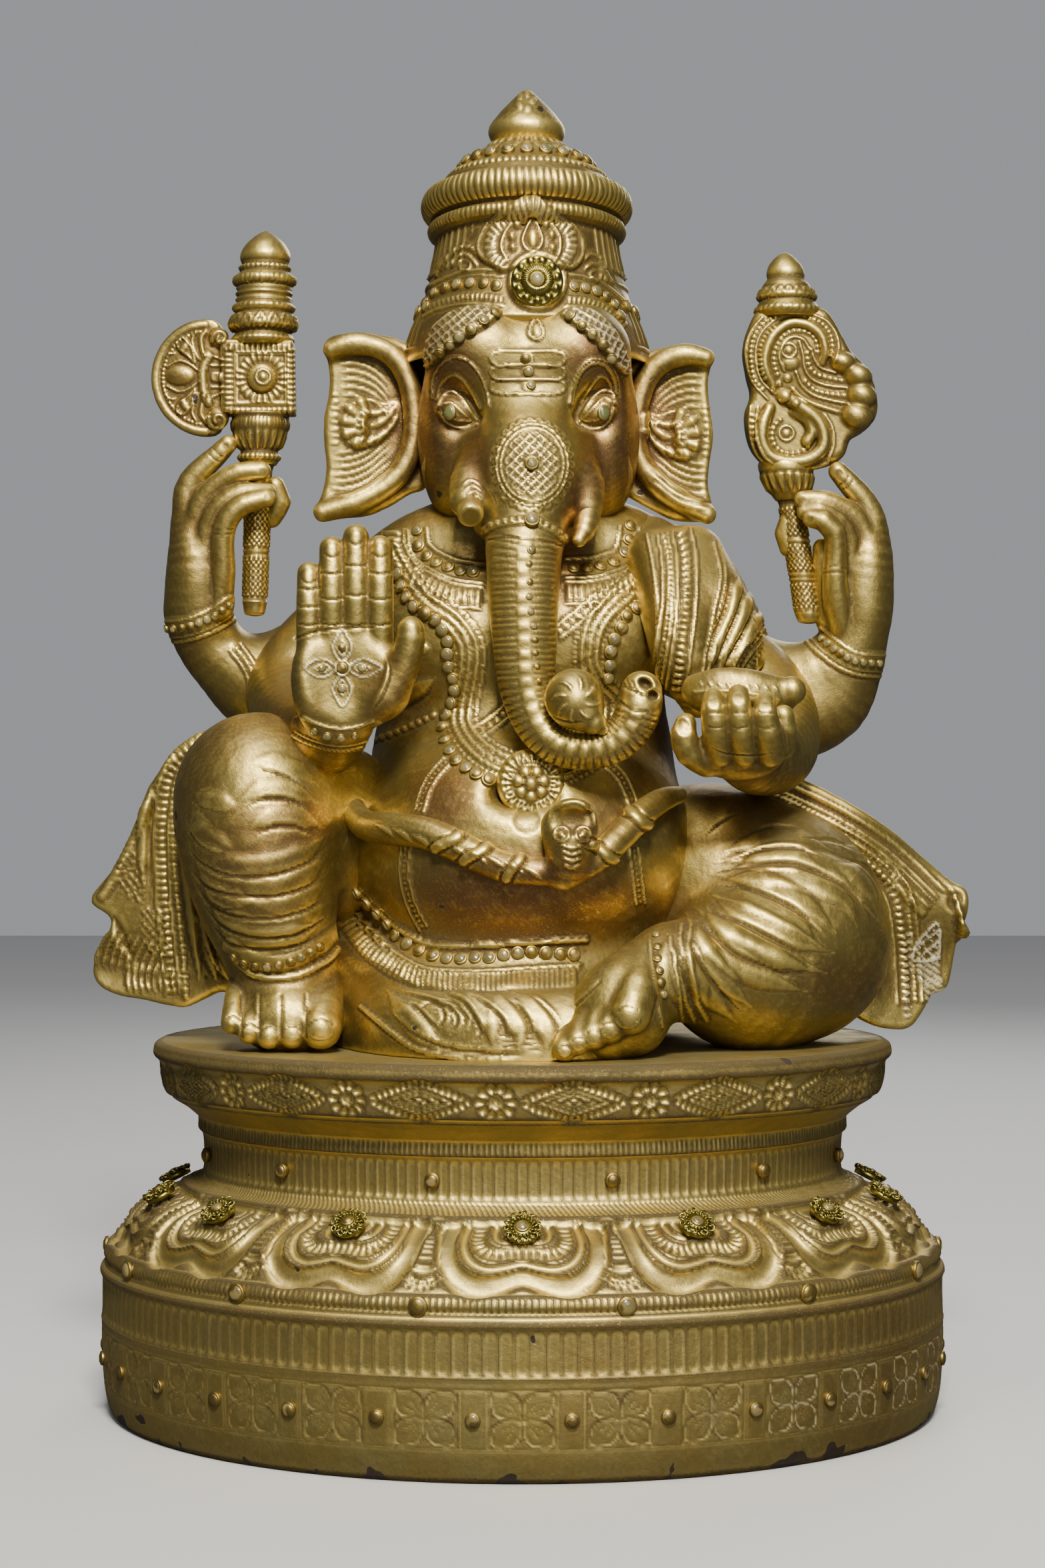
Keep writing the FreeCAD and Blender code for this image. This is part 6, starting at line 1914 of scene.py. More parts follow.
NOOSE_RING = [(110, 508), (105, 500), (102.6, 490), (104, 479), (106, 469), (103.6, 461), (104, 452),
              (107, 443), (114, 436), (126, 434), (140, 435.6), (149, 440), (152.4, 448), (158, 451.6),
              (163.5, 457), (165, 465), (163, 475), (158.6, 483), (152.6, 489), (148.6, 496), (144, 504),
              (139, 509), (124, 511)]


def noose_loop_skin():
    clay = Clay((94, -20, 426), (174, 20, 518), 0.62)
    clay.plate(seen_outline(NOOSE_RING, 0), 0.5, 8.0, 4.0)
    for u, v, size in ((149, 484.6, 5.0), (156.4, 478.2, 5.4), (158.0, 469, 5.8), (155.6, 459.6, 6.2)):
        clay.egg(at(u, v, -7), (size + 1.2, 6.0, size), 1.6, ("y", 15))
    clay.egg(at(124, 489.5, -4), (17, 5.5, 17), 4)
    # the lower coil is a thick smooth roll
    lower = [(115, 463, -8), (112, 455, -9), (112, 447, -9), (116, 440.4, -9), (124, 438, -9),
             (133, 439, -9), (139.4, 444, -9), (140.4, 451, -9), (137, 458, -9), (130, 463.4, -9),
             (123, 468, -8)]
    clay.tube([at(*p) for p in lower], [2.6] + [3.2] * 9 + [2.6], 1.0, step=1.5)
    curl = [(126, 461, -7), (132.6, 457.6, -8), (135, 452, -8), (132.6, 447.6, -8)]
    clay.tube([at(*p) for p in curl], [2.0, 2.6, 2.8, 2.6], 0.8, step=1.5)
    upper = [(116.6, 474, -8), (113.2, 482, -9), (113.6, 490, -9), (117.4, 497.6, -9), (124.6, 502.6, -9),
             (133, 501.8, -9), (139, 497, -9), (141, 490, -9), (139.6, 484.4, -8)]
    clay.tube([at(*p) for p in upper], [1.8] + [2.3] * 7 + [1.8], 0.8, step=1.5)
    return from_clay(clay)


def noose_loop_relief(r):
    """Beaded cords of the upper coil, the smooth lower coil and the cords drawn to the knuckles."""
    ridges = [([(114.5, 467), (108, 474), (104.8, 483), (104.4, 492), (107, 499.6), (112, 505.4)], 1.0,
               0.8),
              ([(117.5, 469.5), (111.3, 476), (108.9, 484), (109, 492), (112, 499), (118, 504.6)], 1.0,
               0.8),
              ([(122, 480.4), (119.6, 487), (121.4, 493), (126, 496.2), (131, 494.8), (134, 490)], 1.3,
               1.0),
              ([(129, 494), (130.6, 488), (131.4, 482), (134.4, 477), (141, 473.8), (151, 472.6)], 1.3,
               1.1),
              ([(134.6, 491), (135.8, 486), (139.4, 481.6), (146, 479.6)], 1.3, 1.1),
              ([(127.5, 480), (130, 474), (135.4, 469.2), (143, 466.8), (152, 465)], 1.3, 1.1),
              ([(126, 472), (130.4, 467.6), (138, 464.2), (147, 461.4)], 2.2, 1.2),
              ([(106.4, 464), (105.8, 455), (107.4, 446), (110.6, 440), (115, 436.6)], 1.2, 0.9),
              ([(109.6, 463.6), (108.8, 455), (109.8, 447), (112.8, 440.6), (117, 437)], 1.0, 0.8),
              ([(142.4, 438.6), (145, 446), (144.4, 454), (141, 460)], 1.3, 0.7),
              ([(145.6, 484.6), (147.4, 490), (146.4, 497), (142, 503.4), (136, 506.4)], 1.1, 0.9)]
    for path, width, height in ridges:
        r.bar(path, width, height)
    cords = [([(112.6, 471), (108, 476.6), (106.6, 484), (106.6, 491.4), (109, 498.4), (113.6, 503.6),
               (119, 506)], 1.05),
             ([(113.4, 476), (110.9, 483), (110.9, 490.6), (113.4, 497), (118, 502)], 1.0),
             ([(119.2, 477.6), (117.2, 485), (118.8, 492.4), (123, 497.6), (129, 499.2), (134.4, 497.4),
               (137.4, 493), (137.6, 488)], 1.1),
             ([(143, 486.6), (144.6, 491.6), (143.4, 497.6), (139.4, 502.6), (133, 505.4)], 1.05),
             ([(132.6, 490), (133.6, 483), (137, 478.8), (144, 476.8), (150, 475.6)], 1.15),
             ([(131, 476.4), (136, 471.6), (143, 469.6), (151, 468.8)], 1.15),
             ([(134, 445.6), (129.6, 442.6), (124, 441.8), (119, 444.2), (116.4, 449), (117.4, 454.6),
               (121, 458.4)], 1.15),
             ([(107.4, 461), (107.2, 454), (108.6, 447)], 1.2)]
    for path, size in cords:
        r.beads(path, size, 2 * size + 0.25, 0.95)
    for cu, cv, size in ((124.2, 490, 3.3), (123, 451.4, 3.4)):
        r.bar(hoop(cu, cv, size, size, 16), 1.1, 0.9, closed=True)
        r.dome(cu, cv, 1.9, 0.9)
    r.dome(125, 484, 4.0, 1.4, squash=0.8)
    r.dome(121.6, 469, 3.6, 2.0)
    r.bar([(124.4, 472), (124.8, 467), (120, 465.2)], 1.1, -0.8, taper=0.3)
    for u, v, size in ((123.6, 477, 2.0), (116.4, 471.6, 1.6), (127.4, 465.4, 1.8), (119.6, 474.6, 1.5)):
        r.dome(u, v, size, 1.2)
    r.bar([(110, 436.6), (120, 434.8), (134, 435), (142, 437.6)], 1.6, 1.0)


def shawl_skin():
    clay = Clay((20, -80, 296), (140, 44, 428), 0.95)
    limb_through(clay, [(58, 394, -4), (77, 382, 2), (92, 362, 6), (100, 342, 8)], [19, 21, 19.5, 18], 10)
    limb_through(clay, [(62, 392, -30), (70, 370, -48), (76, 346, -56), (82, 328, -50)], [14, 15, 14, 9],
                 12)
    limb_through(clay, [(80, 394, -24), (88, 372, -40), (96, 350, -44), (100, 340, -40)], [14, 16, 13, 9],
                 12)
    limb_through(clay, [(88, 380, -14), (98, 362, -22), (104, 348, -22)], [12, 12, 9], 12)
    return from_clay(clay)


def shawl_relief(r):
    """Folds fanning from the hand over the shoulder, a studded border in front and a beaded hem behind."""
    border = [(74, 406), (76.4, 394), (76.8, 380), (75.8, 364), (73.6, 347), (71.5, 331)]
    r.comb(border, -2.4, 2.4, 3.2, 1.5, duty=0.36)
    for shift, width in ((4.4, 1.5), (-4.4, 1.5), (-6.6, 1.3), (-9.0, 1.6), (-11.4, 1.3)):
        r.bar(offset(border, shift), width, 1.1)
    r.beads(offset(border, -7.8), 1.1, 2.4, 1.0)
    r.rope([(58, 404), (61, 388), (63, 368), (63, 348), (64, 336)], 2.0, 1.1, 2.2)
    seam = [(89, 400), (92.4, 385), (89.2, 367), (85.4, 347), (83.5, 337)]
    r.bar(seam, 1.5, 0.9)
    r.bar(offset(seam, 2.4), 1.2, 0.8)
    for fold in ([(101, 386), (98, 370), (92.8, 357), (87.6, 341)],
                 [(107, 380), (103, 367), (96.8, 353), (90.8, 339)],
                 [(112, 370), (105.8, 357.5), (99.4, 347), (94.6, 338)]):
        r.bar(fold, 5.0, 1.9, taper=0.15)
        r.bar(offset(fold, -3.4), 2.2, -1.7, taper=0.2)
    hem = [(114.5, 363), (107.8, 354.5), (101.5, 345.6), (97.6, 338)]
    r.beads(hem, 1.2, 2.5, 1.0)
    r.rails(hem, -2.4, 1.2, 0.9)
    r.comb(hem, 3.4, 6.6, 2.4, 0.8, duty=0.4)


def dish_skin():
    clay = Clay((66, -108, 304), (136, -58, 346), 0.75)
    clay.egg(at(101, 328, -82), (25, 14, 9.5), 2, ("y", 4))
    clay.tube([at(80, 334, -82), at(92, 336.4, -87), at(104, 336, -88), at(118, 333, -86)],
              [4.4, 5.4, 5.4, 5], 5)
    clay.egg(at(125.4, 331.5, -86), (6.4, 6.4, 6.4), 2.0)
    return from_clay(clay)


def dish_relief(r):
    r.bar([(80, 331), (92, 331.4), (106, 330.4), (120, 327)], 1.2, 0.5)
    for k in range(9):
        r.bar([(82 + 4.4 * k, 336.4 - 0.3 * k), (84 + 4.4 * k, 333.4 - 0.3 * k)], 1.2, 0.4, taper=0.3)


def modak_skin():
    clay = Clay((2, -118, 300), (48, -82, 346), 0.75)
    clay.egg(at(24, 328, -99), (12.8, 11, 12.8), 2)
    clay.tube([at(26, 324, -101), at(33, 317, -103), at(37, 313.4, -103)], [9.4, 5.6, 2.6], 4)
    return from_clay(clay)


def modak_relief(r):
    for k in range(8):
        a = math.radians(45 * k + 18)
        cu, cv = 25, 327
        r.bar([(cu + 4 * math.cos(a), cv + 4 * math.sin(a)), (cu + 8.5 * math.cos(a + 0.2),
                                                              cv + 8.5 * math.sin(a + 0.2)),
               (cu + 12 * math.cos(a + 0.45), cv + 12 * math.sin(a + 0.45))], 1.7, 0.7, taper=0.3)
    r.bar([(13, 320), (20, 317), (30, 317)], 1.2, -0.7, taper=0.3)


def make_arms():
    for name, skin, relief, node in (
            ("rear_right_arm_shell", rear_right_arm_skin(), rear_right_arm_relief, "rear_right_arm"),
            ("rear_left_arm_shell", rear_left_arm_skin(), rear_left_arm_relief, "rear_left_arm"),
            ("front_right_arm_shell", front_right_arm_skin(), front_right_arm_relief, "front_right_arm"),
            ("front_left_arm_shell", front_left_arm_skin(), front_left_arm_relief, "front_left_arm"),
            ("shoulder_shawl", shawl_skin(), shawl_relief, "shawl"),
            ("dish_of_sweets", dish_skin(), dish_relief, "sweets_dish"),
            ("modak_sweet", modak_skin(), modak_relief, "modak"),
            ("axe_head", axe_head_skin(), axe_head_relief, "axe"),
            ("noose_loop", noose_loop_skin(), noose_loop_relief, "noose")):
        worked_piece(name, skin, relief, node, 0.05, len(name))
    for emblem, (stem, top) in (("axe", axe_skins()), ("noose", noose_skins())):
        gold_piece(emblem + "_stem", stem, emblem)
        gold_piece(emblem + "_top", top, emblem)


# ---------------------------------------------------------------- snake belt, medallion, brooch, stones
SNAKE = [(-78, 286, -30), (-79, 277, -48), (-73, 269, -62), (-60, 267, -74), (-45, 265, -84),
         (-30, 259, -91), (-17, 252.5, -96), (-5, 248.5, -99), (10, 247, -101), (21, 246.5, -101),
         (30, 250, -100), (40, 258, -95), (50, 268, -86), (58, 276, -76), (66, 281, -62), (73, 283, -46)]
SNAKE_R = [4.4, 5.4, 6.6, 7.2, 7.2, 7.0, 6.8, 6.4, 6.0, 5.8, 5.8, 6.2, 6.4, 6.0, 5.2, 3.8]


def snake_skin():
    clay = Clay((-96, -122, 232), (88, -22, 300), 0.8)
    clay.tube([at(*p) for p in SNAKE], SNAKE_R, 2, step=3)
    clay.tube([at(20, 246, -103), at(21, 254, -106), at(22, 264, -107), at(22, 272, -106)],
              [6.5, 8, 7.5, 6.5], 4)
    clay.egg(at(22, 268, -105), (12.6, 5.6, 10.6), 4)
    clay.egg(at(22, 260, -104), (10.5, 5.2, 10), 4)
    clay.egg(at(23.5, 277.5, -108), (7.6, 4.8, 3.6), 2)
    clay.egg(at(22.5, 270.5, -112.5), (8.0, 4.6, 5.2), 3, carve=True)
    return from_clay(clay)


def snake_relief(r):
    """Cloth wraps round the belt, folds along it, and the hood's eyes, mouth and rim."""
    for u, v, turn in ((-35, 261, 35), (-22, 255.4, 38), (-4, 249.4, 62), (38, 256, 150), (54, 272, 150)):
        c, s = math.cos(math.radians(turn)), math.sin(math.radians(turn))
        wrap = [(u + 9 * c, v + 9 * s), (u + 4 * c + 0.8 * s, v + 4 * s - 0.8 * c),
                (u - 4 * c - 0.8 * s, v - 4 * s + 0.8 * c), (u - 9 * c, v - 9 * s)]
        r.bar(wrap, 5.0, 1.8, taper=0.12)
        r.bar(offset(wrap, 3.0), 1.4, -0.8)
        r.bar(offset(wrap, -3.0), 1.4, -0.8)
    for k in range(9):
        r.bar([(-70 + 8.6 * k, 270 - 2.5 * k), (-64 + 8.6 * k, 267 - 2.5 * k),
               (-59 + 8.6 * k, 262.5 - 2.4 * k)], 2.4, 0.7,
              taper=0.35)
    for u in (18.2, 28.2):
        r.bar(hoop(u, 264.5, 3.4, 3.4, 14), 1.1, 1.0, closed=True)
        r.dome(u, 264.5, 1.5, 1.0)
    for k in range(4):
        r.bar([(18.5 + 0.4 * k, 259.5 - 3 * k), (23, 258 - 3 * k), (27.5 - 0.4 * k, 259.5 - 3 * k)], 1.5,
              0.8)
    r.bar([(11, 268), (13.5, 275), (20, 279), (27, 279), (33, 274), (34, 266)], 1.6, 1.0, taper=0.2)


def medallion_skin():
    """The round medallion, lying on the belly."""
    place = SKINS["torso"].spot(4, 288)[0]
    profile = [(14.6, -6.0), (15.0, -1.0), (15.0, 0.6), (14.4, 2.0), (13.0, 2.6), (10.0, 3.0), (6.0, 3.6),
               (3.0, 4.2), (0.4, 4.4)]
    return turned_disc(profile, place + vec(0, -5.0, 0), vec(0.02, -1, 0.10), 0.8)


def turned_about(profile, place, out, level, count):
    """A turned form from (radius, rise) stations about an outward direction; level sets where it starts."""
    out = out / (np.linalg.norm(out) + 1e-12)
    side = np.cross(out, level)
    side /= np.linalg.norm(side)
    up = np.cross(side, out)
    a = np.linspace(0, 2 * math.pi, count, endpoint=False)
    round_out = np.cos(a)[:, None] * side - np.sin(a)[:, None] * up
    return ring_skin([place + h * out + r * round_out for r, h in profile], count)


def turned_disc(profile, place, out, step):
    """A round ornament with a smooth profile, meshed about every step."""
    line = [(max(r, 0.03), h) for r, h in curve(profile, step * COARSE)]
    count = max(14, int(2 * math.pi * max(r for r, h in line) / step / COARSE))
    return turned_about(line, place, out, vec(0, 0, 1), count)


def medallion_relief(r, cu, cv):
    r.flower(cu, cv, 3.4, 8.6, 7, 1.5, 13)
    r.dome(cu, cv, 3.1, 1.5)
    r.bar(hoop(cu, cv, 9.1, 9.1, 20), 0.9, 0.7, closed=True)
    r.beads(hoop(cu, cv, 10.7, 10.7, 26), 1.05, 2.2, 1.2, closed=True)
    r.flower(cu, cv, 11.4, 14.8, 24, 1.2)


def brooch_skin():
    place = vec(*at(6.8, 522.2, -50))
    profile = [(11.6, -3.0), (11.8, 0.6), (11.2, 1.4), (9.2, 1.5), (7.4, 1.8), (6.6, 3.0), (4.6, 3.6),
               (3.6, 3.0), (0.4, 2.6)]
    return turned_disc(profile, place, vec(0.04, -1, 0.12), 0.6), place


def brooch_relief(r, cu, cv):
    """Fine wires round the middle stone and a ring of small settings."""
    for k in range(40):
        a = 2 * math.pi * k / 40
        r.bar([(cu + 4.2 * math.cos(a), cv + 4.2 * math.sin(a)),
               (cu + 7.2 * math.cos(a + 0.1), cv + 7.2 * math.sin(a + 0.1))],
              0.55, 0.8)
    for k in range(11):
        a = 2 * math.pi * (k + 0.3) / 11
        r.dome(cu + 9.3 * math.cos(a), cv + 9.3 * math.sin(a), 2.0, 1.5, silver=0.8)
    r.bar(hoop(cu, cv, 4.1, 4.1, 16), 0.9, 0.9, closed=True)


def gem(place, out, radius, rise=None):
    """A round stone in a thin rim, bedded in what it sits on; the silver value marks the glass."""
    rise = rise or 0.55 * radius
    profile = [(radius * 0.96, -1.4), (radius, rise * 0.35), (radius * 0.93, rise * 0.72),
               (radius * 0.80, rise * 0.60), (radius * 0.74, rise * 0.85), (radius * 0.50, rise * 1.12),
               (0.02, rise * 1.22)]
    count = 14
    skin = turned_about(profile, place, out, vec(0.03, 0.02, 1), count)
    skin.silver = np.repeat([0, 0, 0, 0.15, 1, 1, 1], count).astype(float)
    return skin


def spread(path, pitch):
    """Places spaced evenly along a path."""
    line = curve(path, 0.8)
    size = np.concatenate([[0], np.cumsum(np.linalg.norm(np.diff(line, axis=0), axis=1))])
    count = max(2, round(size[-1] / pitch) + 1)
    return [tuple(np.interp(e, size, line[:, j]) for j in (0, 1)) for e in np.linspace(0, size[-1], count)]


def gems_on(name, places, radius, seed):
    """Stones set on a finished skin at places of the front chart."""
    rng = np.random.default_rng(seed)
    skin = SKINS[name]
    made = []
    for u, v in places:
        place, out, found = skin.spot(u, v)
        if found:
            wobble = rng.normal(size=3) * 0.06
            made.append(gem(place, out + wobble, radius * rng.uniform(0.93, 1.05)))
    return made


def oval_spot(half_x, z, degrees):
    """A place on a level oval of the pedestal, and its outward direction."""
    a = math.radians(degrees)
    half_y = half_x - DEPTH_LOSS
    out = vec(math.sin(a) / half_x, -math.cos(a) / half_y, 0)
    return vec(half_x * math.sin(a), -half_y * math.cos(a), z), out / np.linalg.norm(out)


def ring_gems(half_x, z, count, radius, first, rise):
    """Stones round the pedestal at one height."""
    made = []
    for k in range(count):
        place, out = oval_spot(half_x, z, first + 360.0 * k / count)
        made.append(gem(place, out, radius, rise))
    return made


HEAD = "head_and_trunk"
PALM = "front_right_arm_shell"
RIGHT_ANKLET = [(-135, 207), (-130, 204), (-124.6, 203), (-119, 202.8), (-113.6, 203.6), (-108, 205.2),
                (-103, 207.2), (-98.6, 209.4), (-94.4, 212)]
LEFT_ANKLET = [(62, 218), (63, 212), (62.8, 206.5), (64, 201), (65, 195.5), (66, 190)]
COLLAR_PLACES = [(-49, 406), (-48.4, 399), (-44.6, 394), (-40, 391), (-34.6, 388.8), (-29, 387),
                 (-23, 386.6), (50, 408), (49.4, 401.6), (47.8, 395.6), (42.6, 391.4), (36.4, 389.4),
                 (30, 388.4), (24, 388.6)]
CROWN_STUDS = [(-46, 513), (-42, 517), (-36.6, 519.4), (-30.6, 520.8), (-24.4, 521.4), (-18, 521.2),
               (-12, 520.4), (24, 519.6), (29.4, 519), (34.4, 517.6), (39, 515), (43, 511.6), (46.6, 507)]
BROW_PLACES = [(-12.5, 508.0), (-18, 503.8), (-24, 499.4), (-29.2, 496), (-34, 492.4), (-38.4, 488.6),
               (22.5, 506.2), (27.5, 501.6), (32.8, 497.4), (37.2, 492.4), (41.6, 486.4)]
TRUNK_PLACES = [(4, 397, 2.2), (3, 390.5, 1.7), (3.5, 382.5, 1.7), (3, 375.3, 1.7), (4, 368.5, 1.7),
                (5, 361.5, 1.7), (6, 355, 1.5), (6, 349, 1.5), (7, 342.5, 1.5), (8, 336, 1.5)]


def gem_piece(name, gems, node, material=GILT_PASTE, body="figure"):
    """Stones joined into one piece."""
    piece(name, joined(*gems), body, node, material)


def crown_rim_gems():
    """Studs round the top of the crown's dome."""
    made = []
    count, r, z = 22, 30.6, 575.6
    for k in range(count):
        a = 2 * math.pi * k / count
        out = vec(math.sin(a), -math.cos(a), 0.75)
        place = vec(CROWN_X + r * math.sin(a), CROWN_Y - r * math.cos(a), z)
        place[2] += float(brim_tilt(place[None, :])[0])
        made.append(gem(place, out, 3.2, 1.6))
    return made


def crown_side_gems():
    """Studs of the band round the crown, carried on past the brow to its sides and back."""
    made = gems_on("crown", CROWN_STUDS, 2.9, 5)
    for side in (-1, 1):
        for k in range(8):
            a = side * math.radians(66 + 13.5 * k)
            r, z = 50.5 + 0.3 * k, 507.5 - 0.6 * k
            out = vec(math.sin(a), -math.cos(a), 0.25)
            made.append(gem(vec(CROWN_X + r * math.sin(a), CROWN_Y - r * math.cos(a), z), out, 3.0))
    return made


def flower_cap(place, out):
    """A filigree flower: a ring of wire loops, an inner twisted ring and a seat for the stone."""
    out = out / np.linalg.norm(out)
    side = np.cross(out, vec(0, 0, 1))
    side /= np.linalg.norm(side)
    up = np.cross(side, out)
    t = np.linspace(0, 2 * math.pi, 160, endpoint=False)
    seat = [(7.0, -2.0), (7.2, 0.0), (6.0, 0.4), (4.2, 0.9), (3.6, 1.7), (0.4, 1.5)]
    skins = [turned_disc(seat, place, out, 1.2 / COARSE)]
    for loops, low, swing, rise, wire in ((9, 6.3, 1.5, 0.9, 0.5), (18, 4.6, 0.6, 1.7, 0.42),
                                          (9, 6.8, -1.2, 1.5, 0.42)):
        r = low + swing * np.cos(loops * t)
        h = rise + 0.6 * np.sin(loops * t)
        line = place + h[:, None] * out + (r * np.cos(t))[:, None] * side + (r * np.sin(t))[:, None] * up
        skins.append(wire_skin(line, wire, 5))
    return joined(*skins)


def wire_skin(line, radius, sides):
    """A closed loop of round wire."""
    way = np.roll(line, -1, axis=0) - np.roll(line, 1, axis=0)
    way /= np.linalg.norm(way, axis=1)[:, None]
    across = np.cross(way, line - line.mean(0))
    across /= np.linalg.norm(across, axis=1)[:, None] + 1e-9
    other = np.cross(across, way)
    a = np.linspace(0, 2 * math.pi, sides, endpoint=False)
    p = (line[:, None, :] + radius * (np.cos(a)[None, :, None] * across[:, None, :]
                                      + np.sin(a)[None, :, None] * other[:, None, :])).reshape(-1, 3)
    n = len(line)
    i, j = np.meshgrid(np.arange(n), np.arange(sides), indexing="ij")
    k, m = (i + 1) % n, (j + 1) % sides
    faces = np.stack([i * sides + j, k * sides + j, k * sides + m, i * sides + m], axis=-1).reshape(-1, 4)
    return Skin(p, faces)


def ornaments():
    """The medallion of the garland, the crown's brooch and the brooch's stone."""
    disc = medallion_skin()
    front = disc.front()
    medallion_relief(front, 4, 288)
    gold_piece("medallion", disc.raise_by(front, grain=0.03), "garland_medallion")
    disc, place = brooch_skin()
    front = disc.front()
    cu, cv = (float(w[0]) for w in front_chart(place[None, :] + vec(0, -3, 0)))
    brooch_relief(front, cu, cv)
    piece("brooch_flower", disc.raise_by(front), "figure", "crown_brooch", BRASS)
    stone = gem(place + vec(0, -3.2, 0.4), vec(0.04, -1, 0.12), 3.5, 2.0)
    gem_piece("brooch_glass", [stone], "brooch_stone", PASTE)


def make_jewels():
    worked_piece("snake_belt_coil", snake_skin(), snake_relief, "snake_belt", 0.06, 9)
    ornaments()
    gem_piece("rim_gems", crown_rim_gems(), "crown_rim_stones")
    gem_piece("band_gems", crown_side_gems(), "crown_band_stones")
    gem_piece("brow_gems", gems_on(HEAD, BROW_PLACES, 2.6, 6), "brow_stones", PASTE)
    gem_piece("collar_gems", gems_on("torso", COLLAR_PLACES, 3.1, 7), "collar_stones")
    garland = gems_on("torso", spread(GARLAND_RIGHT, 5.9) + spread(GARLAND_LEFT, 5.9), 3.3, 8)
    gem_piece("garland_gems", garland, "garland_stones")
    gem_piece("belt_gems", gems_on("torso", spread(BELT_STONES, 6.6), 3.2, 9), "belt_stones")
    palm = gems_on(PALM, [(-84, 342)], 2.6, 10)
    palm += gems_on(PALM, [(-84, 351.5), (-93.5, 342), (-74.5, 342), (-84, 332.5)], 2.0, 11)
    gem_piece("palm_gem_set", palm, "palm_gems", PASTE)
    trunk = gems_on(HEAD, [(4.5, 411)], 3.8, 12)
    for u, v, size in TRUNK_PLACES:
        trunk += gems_on(HEAD, [(u, v)], size, 13)
    gem_piece("trunk_gems", trunk, "trunk_stones")
    dots = gems_on(HEAD, [(1.5, 486.5), (3, 480), (4, 473.8)], 2.4, 14) + gems_on(HEAD, [(4.2, 437)], 3.2,
                                                                                  15)
    gem_piece("forehead_dots", dots, "forehead_stones")
    gem_piece("eye_gems", eye_gems(), "eye_stones", EYE_GLASS)
    wrists = gems_on("rear_right_arm_shell", spread(RIGHT_BANGLE[:-1] + [(-136.6, 371)], 3.9), 2.1, 19)
    wrists += gems_on("rear_left_arm_shell", spread([(139, 355.9)] + LEFT_BANGLE[1:-1], 3.7), 2.0, 20)
    wrists += gems_on(PALM, [(-97, 312.4), (-91, 310.4), (-84.6, 309.6), (-78, 310.4)], 2.1, 16)
    gem_piece("bangle_gems", wrists, "bangle_stones", PASTE)
    ankles = gems_on("right_leg_wrapped", RIGHT_ANKLET, 2.3, 17) + gems_on("left_leg_wrapped", LEFT_ANKLET,
                                                                           2.1, 18)
    gem_piece("anklet_gems", ankles, "anklet_stones")
    pedestal_jewels()
    for rod in ("rear_right_arm_rod", "rear_left_arm_rod"):
        shown = bpy.data.objects.get(rod)
        if shown:
            shown.data.materials.clear()
            shown.data.materials.append(STEEL)


def eye_gems():
    """The two glass eyes, set apart and a little taller than wide."""
    made = []
    for u, v, turn in ((-33.6, 461.2, -0.42), (37.6, 461.2, 0.42)):
        place = SKINS[HEAD].spot(u, v)[0]
        skin = gem(place, vec(turn, -1, 0.05), 3.0, 1.3)
        skin.p[:, 2] = place[2] + (skin.p[:, 2] - place[2]) * 1.25
        made.append(skin)
    return made


def pedestal_jewels():
    """Studs and stones round the pedestal, and a filigree flower with a stone at each petal's root."""
    for name, gems, node, material in (
            ("neck_gems", ring_gems(149.0, 119.0, 12, 3.4, 15.0, 1.9), "neck_studs", GOLD_STUD),
            ("rope_gems", ring_gems(193.0, 73.4, PETALS, 4.2, 180.0 / PETALS, 2.0), "rope_band_stones",
             GILT_PASTE),
            ("drum_gems", ring_gems(194.9, CENTRE_Z, DRUM_FLOWERS, 3.3, 6.0, 1.4), "drum_studs",
             GOLD_STUD)):
        gem_piece(name, gems, node, material, "pedestal")
    caps, glass = [], []
    for k in range(PETALS):
        degrees = 360.0 * k / PETALS
        place, out = oval_spot(DRUM_HALF - 25.5, 102.0, degrees)
        out = out + vec(0, 0, 1.0 + 0.9 * abs(math.sin(math.radians(degrees))))
        out /= np.linalg.norm(out)
        caps.append(flower_cap(place, out))
        glass.append(gem(place + 1.4 * out, out, 3.0, 1.6))
    piece("filigree_flowers", joined(*caps), "pedestal", "petal_flower_caps", OLD_BRASS)
    gem_piece("flower_glass", glass, "petal_flower_stones", GILT_PASTE, "pedestal")


# ---------------------------------------------------------------- studio
def make_floor():
    floor_mesh = bpy.data.meshes.new("floor")
    size = 4.0
    floor_mesh.from_pydata([(-size, -size, 0), (size, -size, 0), (size, size, 0), (-size, size, 0)], [],
                           [(0, 1, 2, 3)])
    floor = bpy.data.objects.new("floor", floor_mesh)
    bpy.context.scene.collection.objects.link(floor)
    material, tree = nodes_for("floor_paper")
    where = add_node(tree, "TexCoord").outputs["Object"]
    tone = mix(tree, noise(tree, where, 3.0), (0.50, 0.50, 0.51), (0.54, 0.54, 0.55))
    # in the metal's reflections the floor is painted near black: a painted dark reflection
    glossy = add_node(tree, "LightPath").outputs["Is Glossy Ray"]
    tone = mix(tree, glossy, tone, (0.035, 0.035, 0.042))
    shader = add_node(tree, "BsdfPrincipled", Base_Color=tone, Roughness=0.75)
    tree.links.new(shader.outputs[0], add_node(tree, "OutputMaterial").inputs[0])
    floor_mesh.materials.append(material)


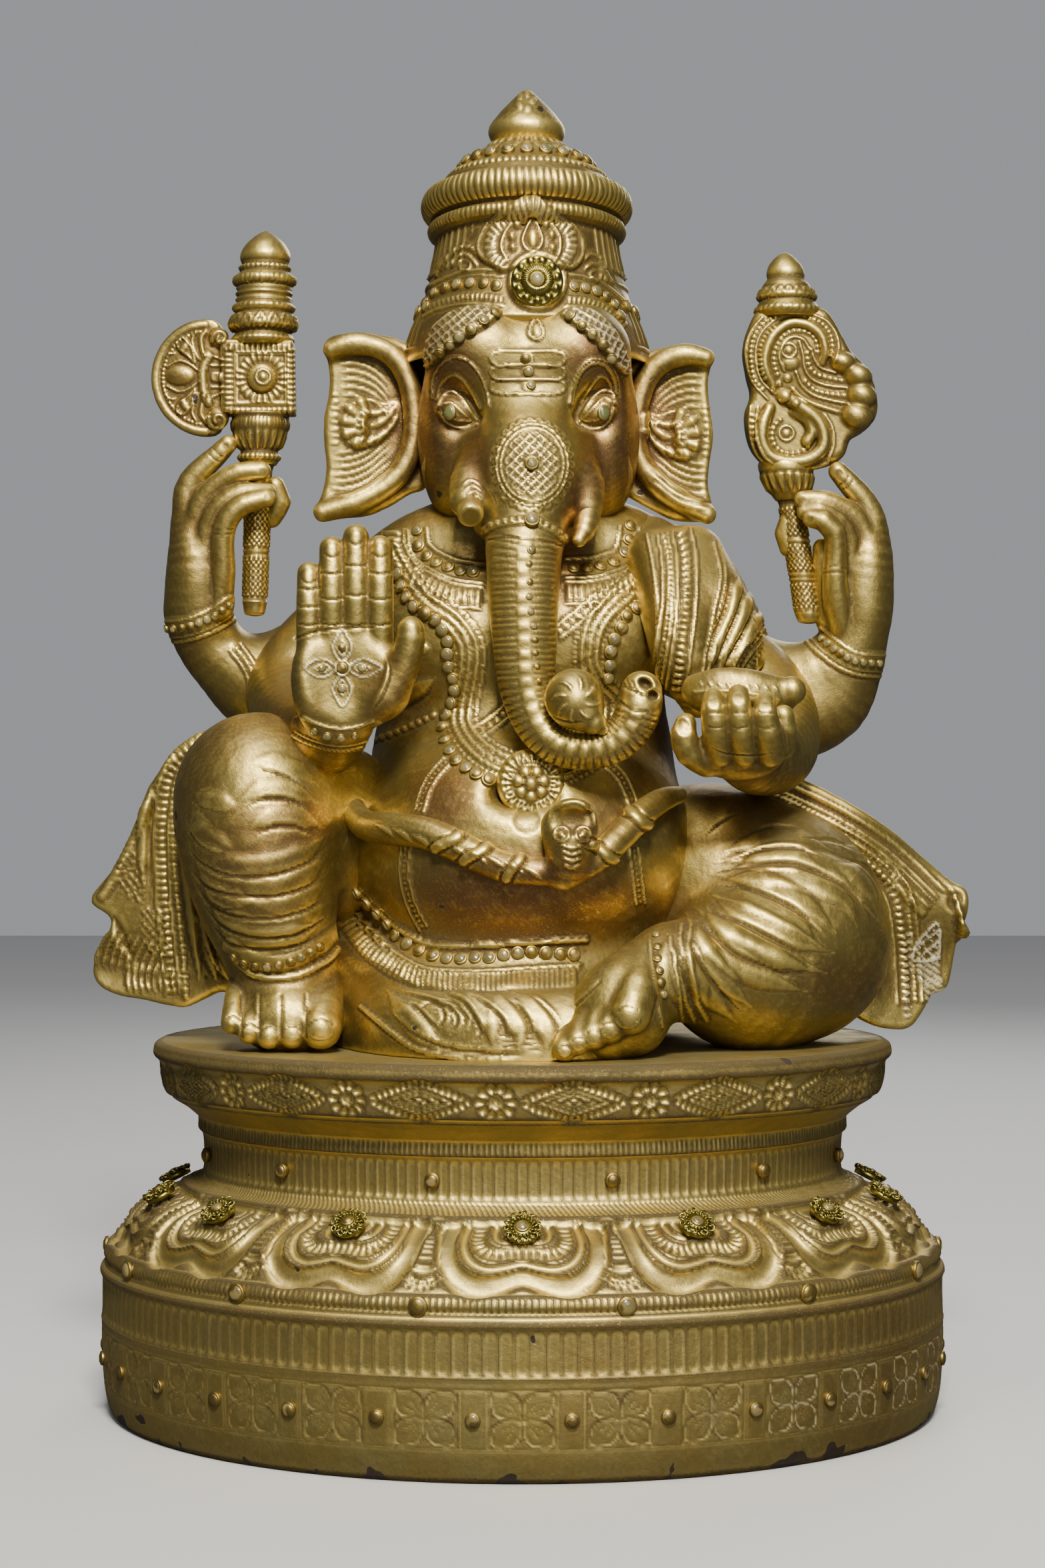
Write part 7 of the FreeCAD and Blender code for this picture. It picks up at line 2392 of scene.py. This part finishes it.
def lamp(name, place, height, size, power, tint=(1, 1, 1)):
    """A square lamp aimed at a height of the part's middle line."""
    light = bpy.data.lights.new(name, "AREA")
    light.size = size
    light.energy = power
    light.color = tint
    made = bpy.data.objects.new(name, light)
    made.location = place
    made.rotation_euler = (Vector((0, 0, height)) - Vector(place)).to_track_quat("-Z", "Y").to_euler()
    bpy.context.scene.collection.objects.link(made)


def make_lights():
    lamp("key", (0.10, -1.72, 1.80), 0.30, 0.5, 106, (1.0, 0.95, 0.80))
    lamp("fill", (0.55, -1.85, 0.75), 0.25, 0.9, 8, (1.0, 0.98, 0.96))
    lamp("top", (-0.2, -0.5, 1.9), 0.3, 0.6, 8, (1.0, 0.97, 0.9))
    lamp("back", (0.5, 1.6, 1.3), 0.3, 0.9, 14)


def make_world():
    """A pale wall behind the idol, while the metal reflects a dim room."""
    world = bpy.data.worlds.new("studio")
    world.use_nodes = True
    tree = world.node_tree
    wall = tree.nodes["Background"]
    wall.inputs[0].default_value = (0.56, 0.57, 0.60, 1)
    wall.inputs[1].default_value = 0.58
    room = tree.nodes.new("ShaderNodeBackground")
    room.inputs[0].default_value = (0.46, 0.52, 0.74, 1)
    room.inputs[1].default_value = 0.10
    seen = tree.nodes.new("ShaderNodeLightPath")
    both = tree.nodes.new("ShaderNodeMixShader")
    tree.links.new(seen.outputs["Is Glossy Ray"], both.inputs[0])
    tree.links.new(wall.outputs[0], both.inputs[1])
    tree.links.new(room.outputs[0], both.inputs[2])
    tree.links.new(both.outputs[0], tree.nodes["World Output"].inputs[0])
    bpy.context.scene.world = world


def make_camera():
    camera = bpy.data.cameras.new("camera")
    camera.lens = LENS
    camera.sensor_width = SENSOR
    made = bpy.data.objects.new("camera", camera)
    made.location = (0, EYE_Y * MM, EYE_Z * MM)
    made.rotation_euler = (math.radians(90), 0, 0)
    bpy.context.scene.collection.objects.link(made)
    bpy.context.scene.camera = made


for make in (make_pedestal, make_body, make_head, make_arms, make_jewels, make_floor, make_lights,
             make_world, make_camera):
    make()

bpy.context.view_layer.update()
